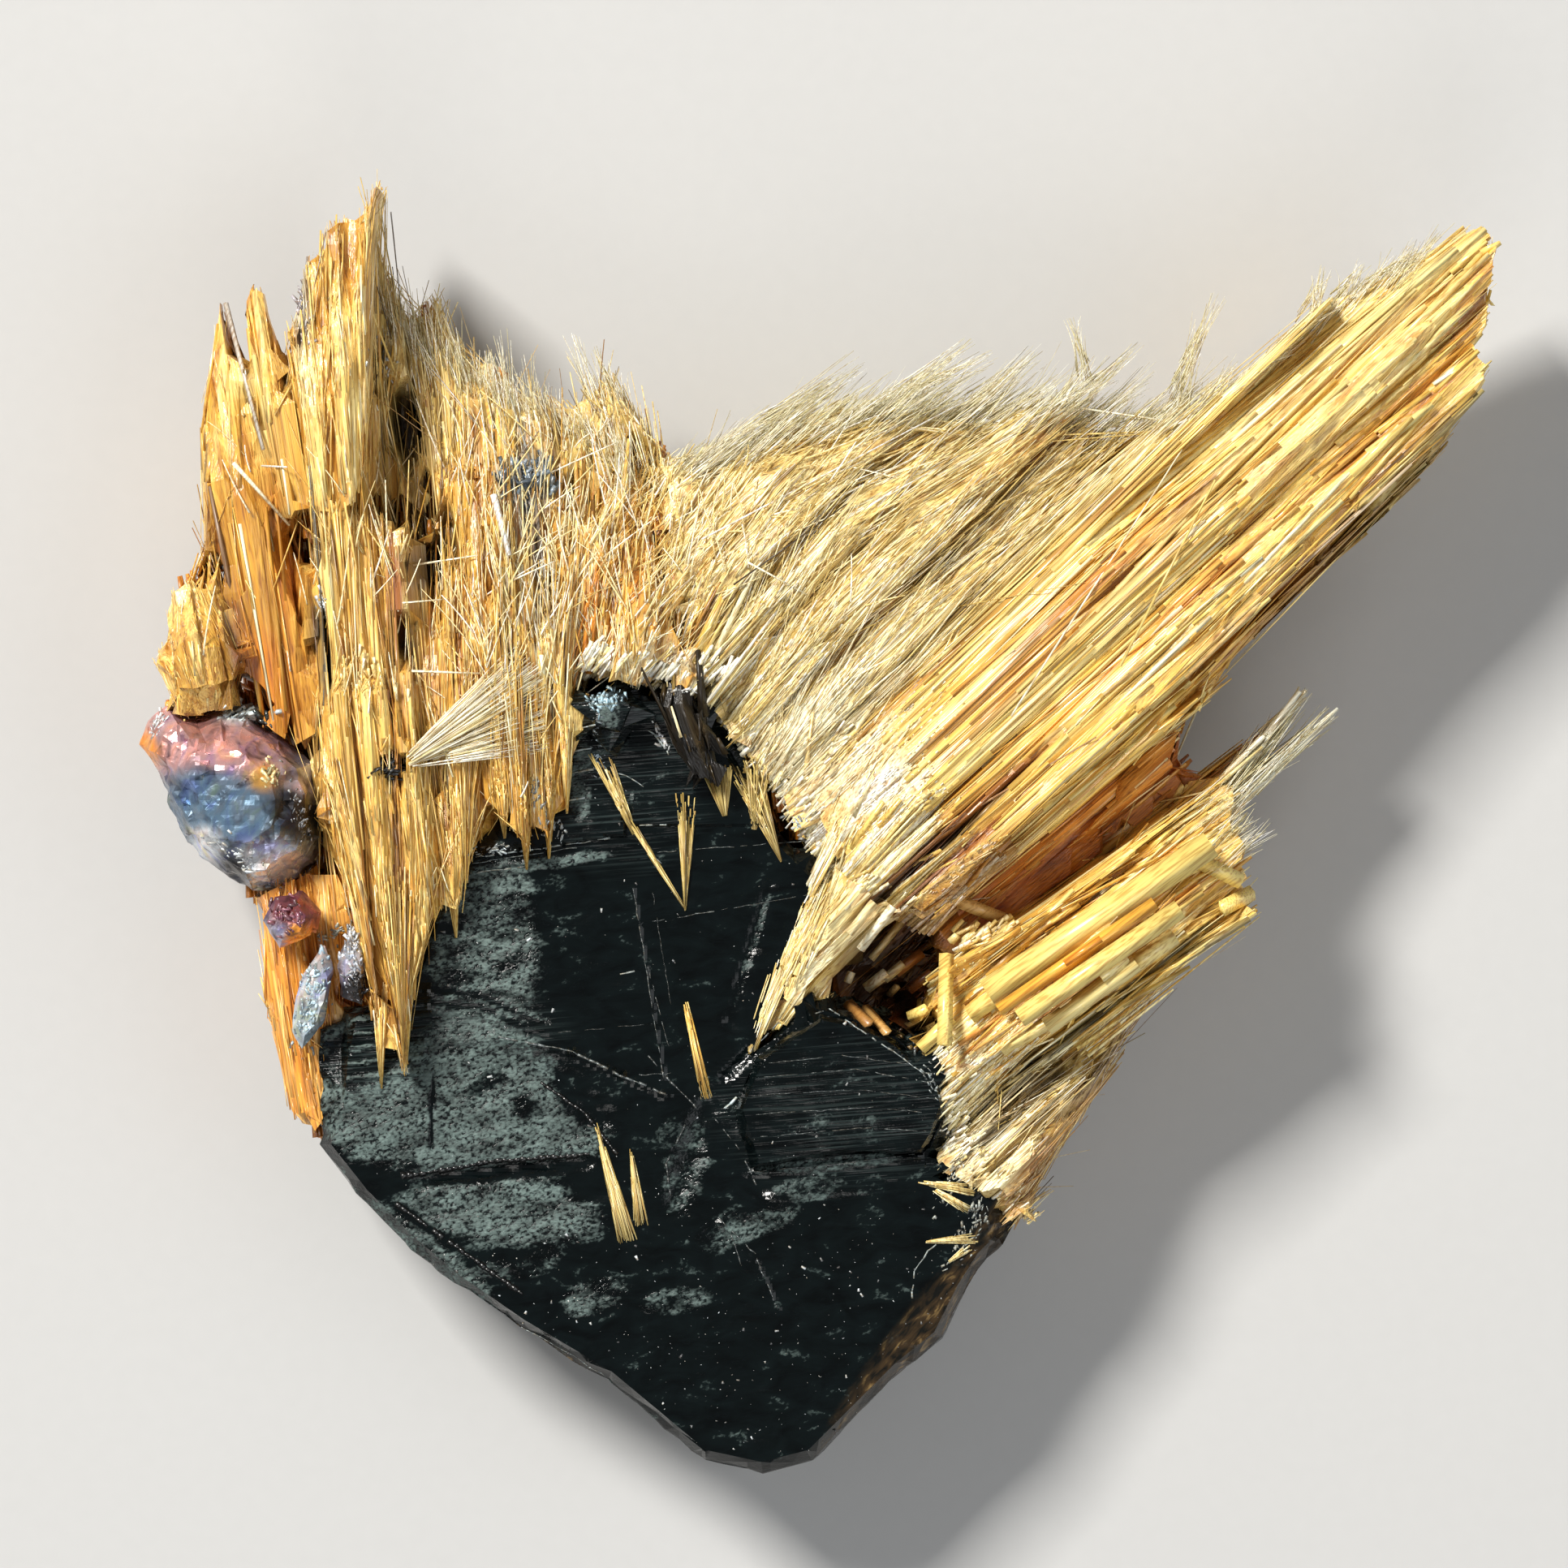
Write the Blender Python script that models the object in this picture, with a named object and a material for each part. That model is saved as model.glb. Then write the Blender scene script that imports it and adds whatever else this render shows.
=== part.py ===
"""Golden rutile sheaves grown around a black hematite crystal, lying on its back.

Outlines are plan views in millimetres: X runs to the right across the crystal's face,
Y runs up it, and Z is the height above the surface that the specimen lies on.
A sheaf is a fan of long laths that overlap and are joined in one solid.
"""

import math
import random
from dataclasses import dataclass

import bmesh
import bpy

# Real width of the specimen in metres, and the width that the outlines are drawn at
SPECIMEN_WIDTH = 0.03006
DRAWN_WIDTH = 30.06
METRES = SPECIMEN_WIDTH / DRAWN_WIDTH

# Heights and gaps, in millimetres
PLATE_TOP = 5.0
PLATE_BACK_BEVEL = 1.1
PLATE_BACK_SHARE = 0.92
PLATE_EDGE_BEVEL = 0.45
PLATE_FACE_SHARE = 0.97
LOBE_TOP = 5.45
PINNACLE_TOP = 5.95
GAP = 0.28
FACE_NEEDLE_BASE = PLATE_TOP + GAP
FACE_NEEDLE_TOP = 5.56

# How the laths of a sheaf vary, in millimetres and as shares of their width
LATH_OVERLAP = 0.16
LATH_RIDGE = 0.14
END_SCATTER = 0.35
HEIGHT_SCATTER = 0.28
CROWN_DROP = 0.7
CROWN_RISE = 0.9
EDGE_MARGIN = 0.02
FOOT_CLEARANCE = 0.15
THINNEST = 0.3
FULL_BULK = 3.0
MOST_CUT_RANGE = (0.08, 0.22)
WAIST_RANGE = (0.35, 0.6)
FACE_DROP_SHARE = 0.2
RIDGE_SHARE = 0.25
NEEDLE_END_SHARE = 0.3
FLOOR_MARGIN = 1.0

# Heights in millimetres, each with its share of the outline, and the lean of the top
LOBE_LEVELS = ((3.0, 0.9), (PLATE_TOP + 0.1, 1.0), (LOBE_TOP, 0.93))
PINNACLE_LEVELS = ((3.0, 0.9), (PLATE_TOP + 0.2, 1.0), (PINNACLE_TOP, 0.6))
KNOB_LEVELS = ((1.3, 0.45), (2.6, 0.88), (4.3, 1.0), (5.5, 0.8), (6.0, 0.5))
KNOB_TILT = (0.07, 0.06)
LUMP_LEVELS = ((5.1, 0.9), (5.6, 1.0), (6.0, 0.55))
LUMP_TILT = (0.1, 0.1)
FLAKE_LEVELS = ((5.1, 0.95), (5.35, 1.0), (5.55, 0.75))
FLAKE_TILT = (0.05, 0.02)
CHIP_LEVELS = ((5.35, 0.95), (5.7, 1.0), (5.95, 0.6))
CHIP_TILT = (0.08, 0.05)

# Colour, roughness and metallic value of each finish
FINISHES = {
    "hematite": ((0.014, 0.026, 0.028, 1.0), 0.24, 0.55),
    "iridescent_hematite": ((0.20, 0.27, 0.36, 1.0), 0.30, 0.70),
    "silver_hematite": ((0.42, 0.46, 0.48, 1.0), 0.28, 0.80),
    "golden_rutile": ((0.66, 0.36, 0.09, 1.0), 0.34, 0.0),
    "straw_rutile": ((0.76, 0.58, 0.26, 1.0), 0.36, 0.0),
    "orange_rutile": ((0.64, 0.25, 0.04, 1.0), 0.32, 0.0),
    "brown_rutile": ((0.26, 0.07, 0.015, 1.0), 0.30, 0.0),
}

PLATE_OUTLINE = (
    (-11.1, -7.0), (-10.26, -8.06), (-9.18, -9.14), (-8.1, -10.04), (-6.66, -11.03),
    (-4.68, -12.2), (-2.52, -14.0), (-1.26, -14.27), (-0.18, -14.0), (0.9, -12.92),
    (1.8, -12.02), (2.7, -11.3), (3.24, -10.22), (3.69, -9.5), (4.0, -9.2), (3.9, -8.75),
    (3.45, -8.1), (2.65, -7.75), (2.5, -7.4), (2.75, -6.8), (3.0, -6.1), (2.85, -5.6),
    (2.4, -5.15), (1.8, -4.55), (0.72, -4.1), (0.0, -3.92), (-1.53, -5.0), (0.0, -1.04),
    (-0.9, -0.14), (-2.7, 2.92), (-4.5, 3.28), (-5.22, 3.1), (-5.5, 1.6), (-6.3, 0.8),
    (-7.6, -0.4), (-8.6, -1.9), (-9.0, -3.0), (-9.8, -3.9), (-10.5, -4.1), (-10.7, -5.0),
    (-10.8, -6.2),
)
LOBE_OUTLINE = (
    (-1.4, -5.05), (0.0, -4.1), (0.72, -4.25), (1.7, -4.7), (2.3, -5.25), (2.7, -5.7),
    (2.8, -6.1), (2.55, -6.8), (2.3, -7.2), (0.5, -7.15), (-1.5, -7.5), (-1.9, -6.2),
)
PINNACLE_OUTLINE = (
    (-5.15, 2.95), (-5.2, 2.1), (-4.3, 1.95), (-3.95, 2.8), (-4.5, 3.15),
)
KNOB_OUTLINE = (
    (-15.03, 1.9), (-14.75, 1.5), (-14.4, 0.7), (-14.1, 0.1), (-13.7, -0.5), (-13.1, -1.0),
    (-12.6, -1.35), (-12.15, -1.25), (-11.75, -0.95), (-11.3, -0.7), (-11.1, -0.2),
    (-11.1, 0.5), (-11.35, 1.4), (-11.85, 1.85), (-12.3, 2.2), (-12.75, 2.6), (-13.3, 2.7),
    (-13.9, 2.45), (-14.5, 2.65), (-14.85, 2.35),
)
LUMP_OUTLINE = (
    (-12.2, -2.0), (-11.9, -2.5), (-11.4, -2.35), (-11.2, -1.85), (-11.5, -1.5),
    (-12.0, -1.55),
)
FLAKE_OUTLINE = (
    (-11.0, -2.7), (-10.85, -3.1), (-11.0, -3.8), (-11.15, -4.35), (-11.45, -4.75),
    (-11.6, -4.45), (-11.5, -3.7), (-11.3, -3.1),
)
CHIP_OUTLINE = (
    (-10.4, -2.3), (-10.15, -2.55), (-10.1, -3.2), (-10.2, -3.75), (-10.5, -3.6),
    (-10.55, -3.0),
)


@dataclass(frozen=True)
class Sheaf:
    """One bundle of rutile laths: heights are (root, middle, tip) along the fibres."""

    name: str
    finish: str
    outline: tuple
    angle: float
    laths: int
    low: tuple
    high: tuple
    seed: int
    rests: bool = False
    needles: tuple = ()
    clears_plate: bool = False


SHEAVES = (
    Sheaf(
        name="rutile_outer_blade", finish="golden_rutile", angle=98.0, laths=5, seed=3,
        low=(0.9, 0.0, 3.1), high=(5.1, 5.4, 4.5), rests=True,
        outline=(
            (-12.45, 3.1), (-12.1, 2.6), (-11.6, 2.25), (-11.3, 2.2), (-11.25, 4.0),
            (-11.4, 5.8), (-11.85, 6.5), (-12.05, 6.9), (-12.45, 8.5), (-12.75, 9.8),
            (-12.95, 10.9), (-13.1, 11.5), (-13.3, 11.95), (-13.42, 11.2), (-13.65, 10.2),
            (-13.78, 9.0), (-13.8, 8.0), (-13.68, 6.9), (-13.6, 6.0), (-13.3, 5.9),
            (-13.0, 5.2), (-12.7, 4.4), (-12.45, 3.6),
        ),
    ),
    Sheaf(
        name="rutile_inner_blade", finish="golden_rutile", angle=99.0, laths=3, seed=5,
        low=(2.6, 3.0, 3.9), high=(5.9, 5.9, 5.2),
        outline=(
            (-11.65, 6.75), (-11.45, 7.2), (-11.6, 8.4), (-11.75, 9.5), (-11.9, 10.4),
            (-12.0, 10.95), (-12.25, 11.6), (-12.4, 12.33), (-12.62, 12.33),
            (-12.8, 11.9), (-12.62, 10.8), (-12.45, 9.7), (-12.2, 8.6), (-11.95, 7.6),
        ),
    ),
    Sheaf(
        name="rutile_crest", finish="golden_rutile", angle=93.0, laths=6, seed=7,
        low=(1.5, 1.8, 3.2), high=(6.6, 6.9, 6.1),
        outline=(
            (-11.1, 7.0), (-11.25, 8.4), (-11.42, 9.5), (-11.62, 10.4), (-11.78, 11.0),
            (-11.7, 11.4), (-11.42, 11.8), (-11.42, 12.7), (-11.1, 12.9), (-10.85, 13.3),
            (-10.55, 13.52), (-10.2, 13.45), (-9.95, 13.75), (-9.76, 14.25),
            (-9.85, 13.5), (-9.95, 13.0), (-9.98, 11.0), (-10.02, 9.0), (-10.15, 7.4),
            (-10.6, 6.95),
        ),
    ),
    Sheaf(
        name="rutile_side_tuft", finish="straw_rutile", angle=101.0, laths=4, seed=11,
        low=(1.4, 1.8, 3.2), high=(5.8, 6.1, 5.3),
        outline=(
            (-12.9, 3.2), (-12.78, 3.8), (-13.05, 4.6), (-13.4, 5.3), (-13.64, 5.68),
            (-14.0, 5.45), (-14.3, 5.6), (-14.22, 5.1), (-14.46, 4.9), (-14.46, 4.5),
            (-14.72, 4.0), (-14.6, 3.5), (-14.5, 3.05), (-13.9, 2.85), (-13.3, 3.05),
        ),
    ),
    Sheaf(
        name="rutile_lower_left", finish="orange_rutile", angle=98.0, laths=5, seed=13,
        low=(1.8, 0.9, 1.0), high=(4.5, 4.7, 4.7), clears_plate=True,
        outline=(
            (-12.4, -1.8), (-12.4, -2.6), (-12.25, -4.0), (-12.0, -5.1), (-11.9, -6.1),
            (-11.45, -6.75), (-11.12, -6.1), (-11.0, -5.2), (-10.78, -4.2), (-10.7, -3.4),
            (-10.62, -2.2), (-10.85, -1.2), (-11.25, -1.2), (-11.7, -1.35),
            (-12.1, -1.6),
        ),
    ),
    Sheaf(
        name="rutile_left_sheaf", finish="golden_rutile", angle=95.0, laths=7, seed=17,
        low=(1.0, 0.6, 1.2), high=(5.75, 6.6, 6.3), clears_plate=True,
        outline=(
            (-9.65, -5.7), (-9.35, -5.0), (-9.05, -5.15), (-8.85, -4.0), (-8.6, -2.2),
            (-8.6, -1.1), (-9.1, 0.8), (-9.3, 1.4), (-9.2, 3.5), (-9.15, 5.5),
            (-9.2, 6.8), (-10.1, 6.85), (-10.95, 6.5), (-11.1, 5.6), (-10.95, 4.0),
            (-11.02, 2.4), (-10.9, 1.4), (-10.82, 0.3), (-10.65, -0.8), (-10.25, -1.9),
            (-9.75, -2.6), (-9.72, -4.0), (-9.85, -4.6),
        ),
    ),
    Sheaf(
        name="rutile_middle_sheaf", finish="golden_rutile", angle=94.0, laths=9, seed=19,
        low=(1.2, 0.7, 1.3), high=(5.7, 6.3, 5.5), clears_plate=True,
        outline=(
            (-8.32, -1.0), (-7.97, -2.1), (-7.65, -0.6), (-7.4, 0.6), (-6.95, -0.15),
            (-6.7, 0.6), (-6.45, -0.85), (-6.25, 0.2), (-6.0, -0.55), (-5.75, 0.7),
            (-5.5, 0.3), (-5.62, 1.4), (-5.5, 3.3), (-5.38, 5.0), (-5.4, 7.0),
            (-6.0, 7.9), (-7.0, 8.2), (-8.3, 7.8), (-8.8, 6.0), (-8.72, 3.5),
            (-8.65, 1.7), (-8.5, 0.9),
        ),
    ),
    Sheaf(
        name="rutile_back_sheaf", finish="straw_rutile", angle=97.0, laths=9, seed=23,
        low=(1.2, 1.5, 2.4), high=(4.7, 4.6, 3.6),
        outline=(
            (-9.65, 7.2), (-9.1, 7.2), (-8.75, 8.1), (-7.0, 8.5), (-6.0, 8.25),
            (-5.1, 7.75), (-4.5, 8.4), (-4.0, 8.5), (-4.0, 9.1), (-4.6, 10.2),
            (-4.9, 10.0), (-5.2, 9.5), (-5.9, 9.5), (-6.5, 9.8), (-7.0, 10.0),
            (-7.25, 10.6), (-8.0, 10.5), (-8.35, 11.2), (-8.62, 11.95), (-8.95, 11.0),
            (-9.3, 11.7), (-9.55, 12.4), (-9.7, 11.8),
        ),
    ),
    Sheaf(
        name="rutile_centre_tuft", finish="golden_rutile", angle=80.0, laths=5, seed=29,
        low=(1.0, 0.8, 1.6), high=(5.8, 6.1, 5.0),
        outline=(
            (-5.05, 3.65), (-4.2, 3.65), (-2.7, 3.35), (-3.1, 4.8), (-3.5, 6.4),
            (-3.95, 7.9), (-4.3, 8.05), (-4.9, 7.4), (-5.1, 6.6), (-5.1, 5.0),
        ),
    ),
    Sheaf(
        name="rutile_hair_sheaf", finish="straw_rutile", angle=44.0, laths=12, seed=31,
        low=(0.7, 0.7, 2.4), high=(6.1, 6.0, 4.5),
        outline=(
            (-0.75, 1.15), (7.85, 8.95), (6.6, 8.8), (5.55, 8.1), (5.95, 8.95),
            (5.3, 9.35), (3.6, 9.0), (2.0, 9.2), (0.6, 9.4), (-1.0, 8.7), (-2.5, 8.2),
            (-3.55, 8.1), (-3.2, 6.4), (-2.8, 4.8), (-2.35, 3.3), (-1.6, 2.3),
        ),
    ),
    Sheaf(
        name="rutile_main_blade", finish="golden_rutile", angle=42.5, laths=11, seed=37,
        low=(0.6, 0.0, 2.8), high=(6.6, 6.7, 5.4), rests=True,
        outline=(
            (-0.55, 0.85), (8.1, 8.7), (9.0, 9.2), (10.0, 10.3), (11.3, 11.75),
            (12.6, 12.2), (13.6, 12.6), (14.6, 13.35), (15.03, 13.0), (14.95, 12.1),
            (14.97, 11.4), (14.5, 10.7), (14.9, 10.35), (14.75, 9.95), (14.1, 9.1),
            (13.9, 8.6), (13.1, 7.6), (12.0, 6.5), (11.0, 5.7), (10.0, 4.9),
            (9.3, 4.2), (9.0, 3.5), (8.5, 2.85), (7.9, 2.4), (4.9, -0.05),
            (2.3, -2.15), (1.7, -1.7), (0.9, -1.1), (0.4, -0.8), (-0.1, 0.1),
        ),
    ),
    Sheaf(
        name="rutile_brown_step", finish="brown_rutile", angle=41.0, laths=3, seed=41,
        low=(1.2, 1.2, 2.0), high=(3.9, 4.4, 4.7),
        outline=(
            (7.75, 2.05), (8.2, 1.3), (7.0, 0.3), (5.8, -0.7), (4.3, -1.6),
            (2.6, -2.75), (2.4, -2.5), (4.95, -0.4),
        ),
    ),
    Sheaf(
        name="rutile_wedge", finish="straw_rutile", angle=44.0, laths=4, seed=43,
        low=(1.0, 0.9, 0.9), high=(5.2, 5.5, 5.6),
        outline=(
            (0.28, -1.25), (-1.0, -4.35), (-0.1, -3.65), (0.1, -3.15), (0.85, -2.75),
            (1.6, -2.0), (0.8, -1.45),
        ),
    ),
    Sheaf(
        name="rutile_hollow_floor", finish="brown_rutile", angle=44.0, laths=3, seed=47,
        low=(0.8, 0.8, 0.8), high=(3.0, 3.3, 3.2),
        outline=(
            (0.35, -3.5), (0.45, -3.2), (1.0, -2.9), (1.8, -2.3), (2.25, -2.9),
            (2.0, -3.7), (1.95, -4.1), (0.95, -3.75),
        ),
    ),
    Sheaf(
        name="rutile_lower_arm", finish="golden_rutile", angle=38.0, laths=8, seed=53,
        low=(1.0, 0.9, 2.4), high=(5.5, 6.1, 5.1),
        needles=(
            ((8.3, 0.1), (10.85, 3.1), 0.34, 3.3, 4.3),
            ((8.5, -0.2), (11.45, 2.6), 0.3, 3.0, 4.0),
            ((8.0, 0.2), (9.9, 2.1), 0.4, 3.1, 4.6),
        ),
        outline=(
            (2.3, -4.2), (2.4, -4.75), (2.75, -5.15), (3.25, -5.5), (3.95, -5.75),
            (5.0, -5.1), (6.3, -4.2), (7.3, -3.6), (8.3, -2.7), (9.2, -2.05),
            (9.65, -1.85), (9.72, -1.2), (9.35, -0.9), (9.5, -0.3), (9.15, 0.2),
            (9.3, 1.2), (8.7, 0.95), (7.4, 0.1), (6.1, -0.9), (4.5, -2.0),
            (3.0, -2.95), (2.6, -3.3),
        ),
    ),
    Sheaf(
        name="rutile_lower_fan", finish="golden_rutile", angle=43.0, laths=6, seed=59,
        low=(1.0, 0.8, 1.8), high=(5.0, 4.9, 3.7),
        outline=(
            (2.9, -7.2), (3.1, -6.6), (3.5, -6.15), (4.2, -6.05), (5.1, -5.45),
            (6.3, -4.65), (6.85, -4.35), (6.6, -5.0), (6.2, -5.8), (5.7, -6.5),
            (5.3, -7.1), (5.0, -7.8), (4.6, -8.3), (4.8, -8.7), (4.3, -8.45),
            (3.9, -7.95), (3.3, -7.6),
        ),
    ),
    Sheaf(
        name="rutile_dark_blade", finish="brown_rutile", angle=110.0, laths=3, seed=71,
        low=(FACE_NEEDLE_BASE,) * 3, high=(5.6, 5.9, 5.8),
        outline=(
            (-3.55, 2.8), (-2.65, 2.75), (-2.25, 2.0), (-2.45, 1.05), (-2.8, 1.1),
            (-3.25, 1.95),
        ),
    ),
    Sheaf(
        name="rutile_face_fan", finish="straw_rutile", angle=105.0, laths=3, seed=67,
        low=(FACE_NEEDLE_BASE,) * 3, high=(5.5, 5.7, 5.8),
        outline=(
            (-0.85, -0.8), (-1.1, -0.3), (-1.45, 0.1), (-1.95, 0.45), (-2.15, 0.75),
            (-2.0, 1.2), (-1.7, 1.6), (-1.35, 1.35), (-1.05, 0.7),
        ),
    ),
)

FACE_NEEDLES = (
    (
        "rutile_face_fork",
        (
            ((-4.8, 1.55), (-2.98, -1.8), 0.3, 0.12),
            ((-2.9, 0.75), (-3.0, -1.7), 0.42, 0.14),
        ),
    ),
    ("rutile_face_needle_upper", (((-2.95, -3.95), (-2.45, -5.95), 0.22, 0.3),)),
    ("rutile_face_needle_lower", (((-4.95, -6.4), (-4.05, -9.1), 0.14, 0.7),)),
    ("rutile_patch_upper", (((2.3, -7.95), (3.4, -8.3), 0.2, 0.45),)),
    ("rutile_patch_lower", (((2.45, -9.2), (3.5, -9.2), 0.25, 0.4),)),
)


def clear_scene():
    """Remove every object of the scene that is open."""
    for thing in list(bpy.data.objects):
        bpy.data.objects.remove(thing, do_unlink=True)


def make_material(name, finish):
    """Return a Principled material in one of the named finishes."""
    colour, roughness, metallic = FINISHES[finish]
    material = bpy.data.materials.new(name)
    material.use_nodes = True
    shader = material.node_tree.nodes["Principled BSDF"]
    shader.inputs["Base Color"].default_value = colour
    shader.inputs["Roughness"].default_value = roughness
    shader.inputs["Metallic"].default_value = metallic
    material.diffuse_color = colour
    return material


def make_object(name, shape, finish=None):
    """Turn a bmesh in millimetres into an object in metres, and free the bmesh."""
    bmesh.ops.triangulate(shape, faces=shape.faces)
    bmesh.ops.recalc_face_normals(shape, faces=shape.faces)
    bmesh.ops.scale(shape, vec=(METRES,) * 3, verts=shape.verts)
    mesh = bpy.data.meshes.new(name)
    shape.to_mesh(mesh)
    shape.free()
    thing = bpy.data.objects.new(name, mesh)
    bpy.context.scene.collection.objects.link(thing)
    if finish:
        mesh.materials.append(make_material(name + "_stone", finish))
    return thing


def mark_as_cutter(thing):
    """Show a helper as wire only and keep it out of the model."""
    thing.hide_render = True
    thing.display_type = "WIRE"


def join_or_cut(target, helper, operation):
    """Join a helper to the target, or cut it away, and remove the helper."""
    mark_as_cutter(helper)
    boolean = target.modifiers.new(operation.title(), "BOOLEAN")
    boolean.operation = operation
    boolean.solver = "EXACT"
    boolean.use_self = operation == "UNION"
    boolean.object = helper
    graph = bpy.context.evaluated_depsgraph_get()
    result = bpy.data.meshes.new_from_object(target.evaluated_get(graph))
    result.name = target.name
    target.modifiers.clear()
    target.data = result
    bpy.data.objects.remove(helper, do_unlink=True)


def grown(outline, distance):
    """Return the outline moved outwards by a distance, or inwards if it is negative."""
    moved = []
    count = len(outline)
    for index in range(count):
        before = outline[index - 1]
        here = outline[index]
        after = outline[(index + 1) % count]
        first = edge_normal(before, here)
        second = edge_normal(here, after)
        middle = (first[0] + second[0], first[1] + second[1])
        length = math.hypot(*middle)
        reach = distance / max(0.55, length / 2.0)
        moved.append((here[0] + middle[0] / length * reach, here[1] + middle[1] / length * reach))
    return moved


def edge_normal(start, end):
    """Return the outward unit normal of an outline's edge; outlines run anticlockwise."""
    across = (end[1] - start[1], start[0] - end[0])
    length = math.hypot(*across)
    return across[0] / length, across[1] / length


def shrunk(outline, share):
    """Return the outline drawn in towards its middle, to this share of its size."""
    middle_x = sum(x for x, _ in outline) / len(outline)
    middle_y = sum(y for _, y in outline) / len(outline)
    return [
        (middle_x + (x - middle_x) * share, middle_y + (y - middle_y) * share)
        for x, y in outline
    ]


def add_layered_block(shape, outline, levels):
    """Add a closed block that has this share of the outline at each (height, share)."""
    first_height, first_share = levels[0]
    ring = [shape.verts.new((x, y, first_height)) for x, y in shrunk(outline, first_share)]
    base = shape.faces.new(ring)
    face = base
    for height, share in levels[1:]:
        made = bmesh.ops.extrude_face_region(shape, geom=[face])
        if face.is_valid and face is not base:
            bmesh.ops.delete(shape, geom=[face], context="FACES_ONLY")
        face = next(item for item in made["geom"] if isinstance(item, bmesh.types.BMFace))
        raised = list(face.verts)
        ring = [min(raised, key=lambda item: (item.co - old.co).length) for old in ring]
        for corner, (x, y) in zip(ring, shrunk(outline, share)):
            corner.co = (x, y, height)


def make_block(name, finish, outline, levels, tilt):
    """Make a faceted block whose top leans by tilt, in millimetres of rise a millimetre."""
    shape = bmesh.new()
    add_layered_block(shape, outline, levels)
    middle_x = sum(x for x, _ in outline) / len(outline)
    middle_y = sum(y for _, y in outline) / len(outline)
    highest = levels[-1][0]
    lowest = levels[0][0]
    for corner in shape.verts:
        share = (corner.co.z - lowest) / (highest - lowest)
        lean = (corner.co.x - middle_x) * tilt[0] + (corner.co.y - middle_y) * tilt[1]
        corner.co.z += lean * share
    return make_object(name, shape, finish)


def along_across(point, angle):
    """Return a plan point's distance along and across the fibres."""
    cosine = math.cos(math.radians(angle))
    sine = math.sin(math.radians(angle))
    return point[0] * cosine + point[1] * sine, point[1] * cosine - point[0] * sine


def plan_point(along, across, angle):
    """Return the plan point at a distance along and across the fibres."""
    cosine = math.cos(math.radians(angle))
    sine = math.sin(math.radians(angle))
    return along * cosine - across * sine, along * sine + across * cosine


def fibre_span(sheaf, across):
    """Return where the fibre line at this offset enters and leaves the outline."""
    crossings = []
    corners = [along_across(point, sheaf.angle) for point in sheaf.outline]
    for start, end in zip(corners, corners[1:] + corners[:1]):
        if (start[1] - across) * (end[1] - across) < 0.0:
            share = (across - start[1]) / (end[1] - start[1])
            crossings.append(start[0] + (end[0] - start[0]) * share)
    return min(crossings), max(crossings)


def add_box_grid(shape):
    """Add a closed box of two by two cells, and return its bottom and top corners."""
    made = bmesh.ops.create_grid(shape, x_segments=2, y_segments=2, size=1.0)
    bottom = made["verts"]
    faces = list({face for corner in bottom for face in corner.link_faces})
    raised = bmesh.ops.extrude_face_region(shape, geom=faces)
    top = [item for item in raised["geom"] if isinstance(item, bmesh.types.BMVert)]
    return bottom, top


def add_lath(shape, sheaf, left, right, draw, foot):
    """Add one lath between two offsets across the sheaf."""
    all_across = [along_across(point, sheaf.angle)[1] for point in sheaf.outline]
    middle = (max(all_across) + min(all_across)) / 2.0
    half_width = (max(all_across) - min(all_across)) / 2.0
    side = ((left + right) / 2.0 - middle) / half_width
    root_cut = draw.uniform(0.0, END_SCATTER)
    tip_cut = draw.uniform(0.0, END_SCATTER)
    lift = draw.uniform(-HEIGHT_SCATTER, HEIGHT_SCATTER)
    drop = draw.uniform(FOOT_CLEARANCE, FOOT_CLEARANCE + HEIGHT_SCATTER)
    bulk = min(1.0, (max(sheaf.high) - min(sheaf.low)) / FULL_BULK)
    most_cut = draw.uniform(*MOST_CUT_RANGE)
    waist = draw.uniform(*WAIST_RANGE)
    lean = draw.uniform(-LATH_RIDGE, LATH_RIDGE)

    def underside(station):
        if foot and station < 2:
            return 0.0
        if min(sheaf.low) >= FACE_NEEDLE_BASE:
            return sheaf.low[station] + FACE_DROP_SHARE * drop
        return sheaf.low[station] + drop + CROWN_RISE * side * side

    def place(corner, is_top):
        share_across = corner.co.x
        station = round(corner.co.y) + 1
        across = left + (share_across + 1.0) / 2.0 * (right - left)
        start, end = fibre_span(sheaf, across)
        length = end - start
        start += min(root_cut, most_cut * length)
        end -= min(tip_cut, most_cut * length)
        along = (start, start + (end - start) * waist, end)[station]
        height = underside(station)
        if is_top:
            surface = sheaf.high[station] + (lift - CROWN_DROP * side * side) * bulk
            surface += LATH_RIDGE * (1.0 - abs(share_across)) + lean * share_across
            height = max(surface, height + THINNEST)
        x, y = plan_point(along, across, sheaf.angle)
        return x, y, height

    bottom, top = add_box_grid(shape)
    bottom_places = [place(corner, False) for corner in bottom]
    top_places = [place(corner, True) for corner in top]
    for corner, spot in zip(bottom + top, bottom_places + top_places):
        corner.co = spot


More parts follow.
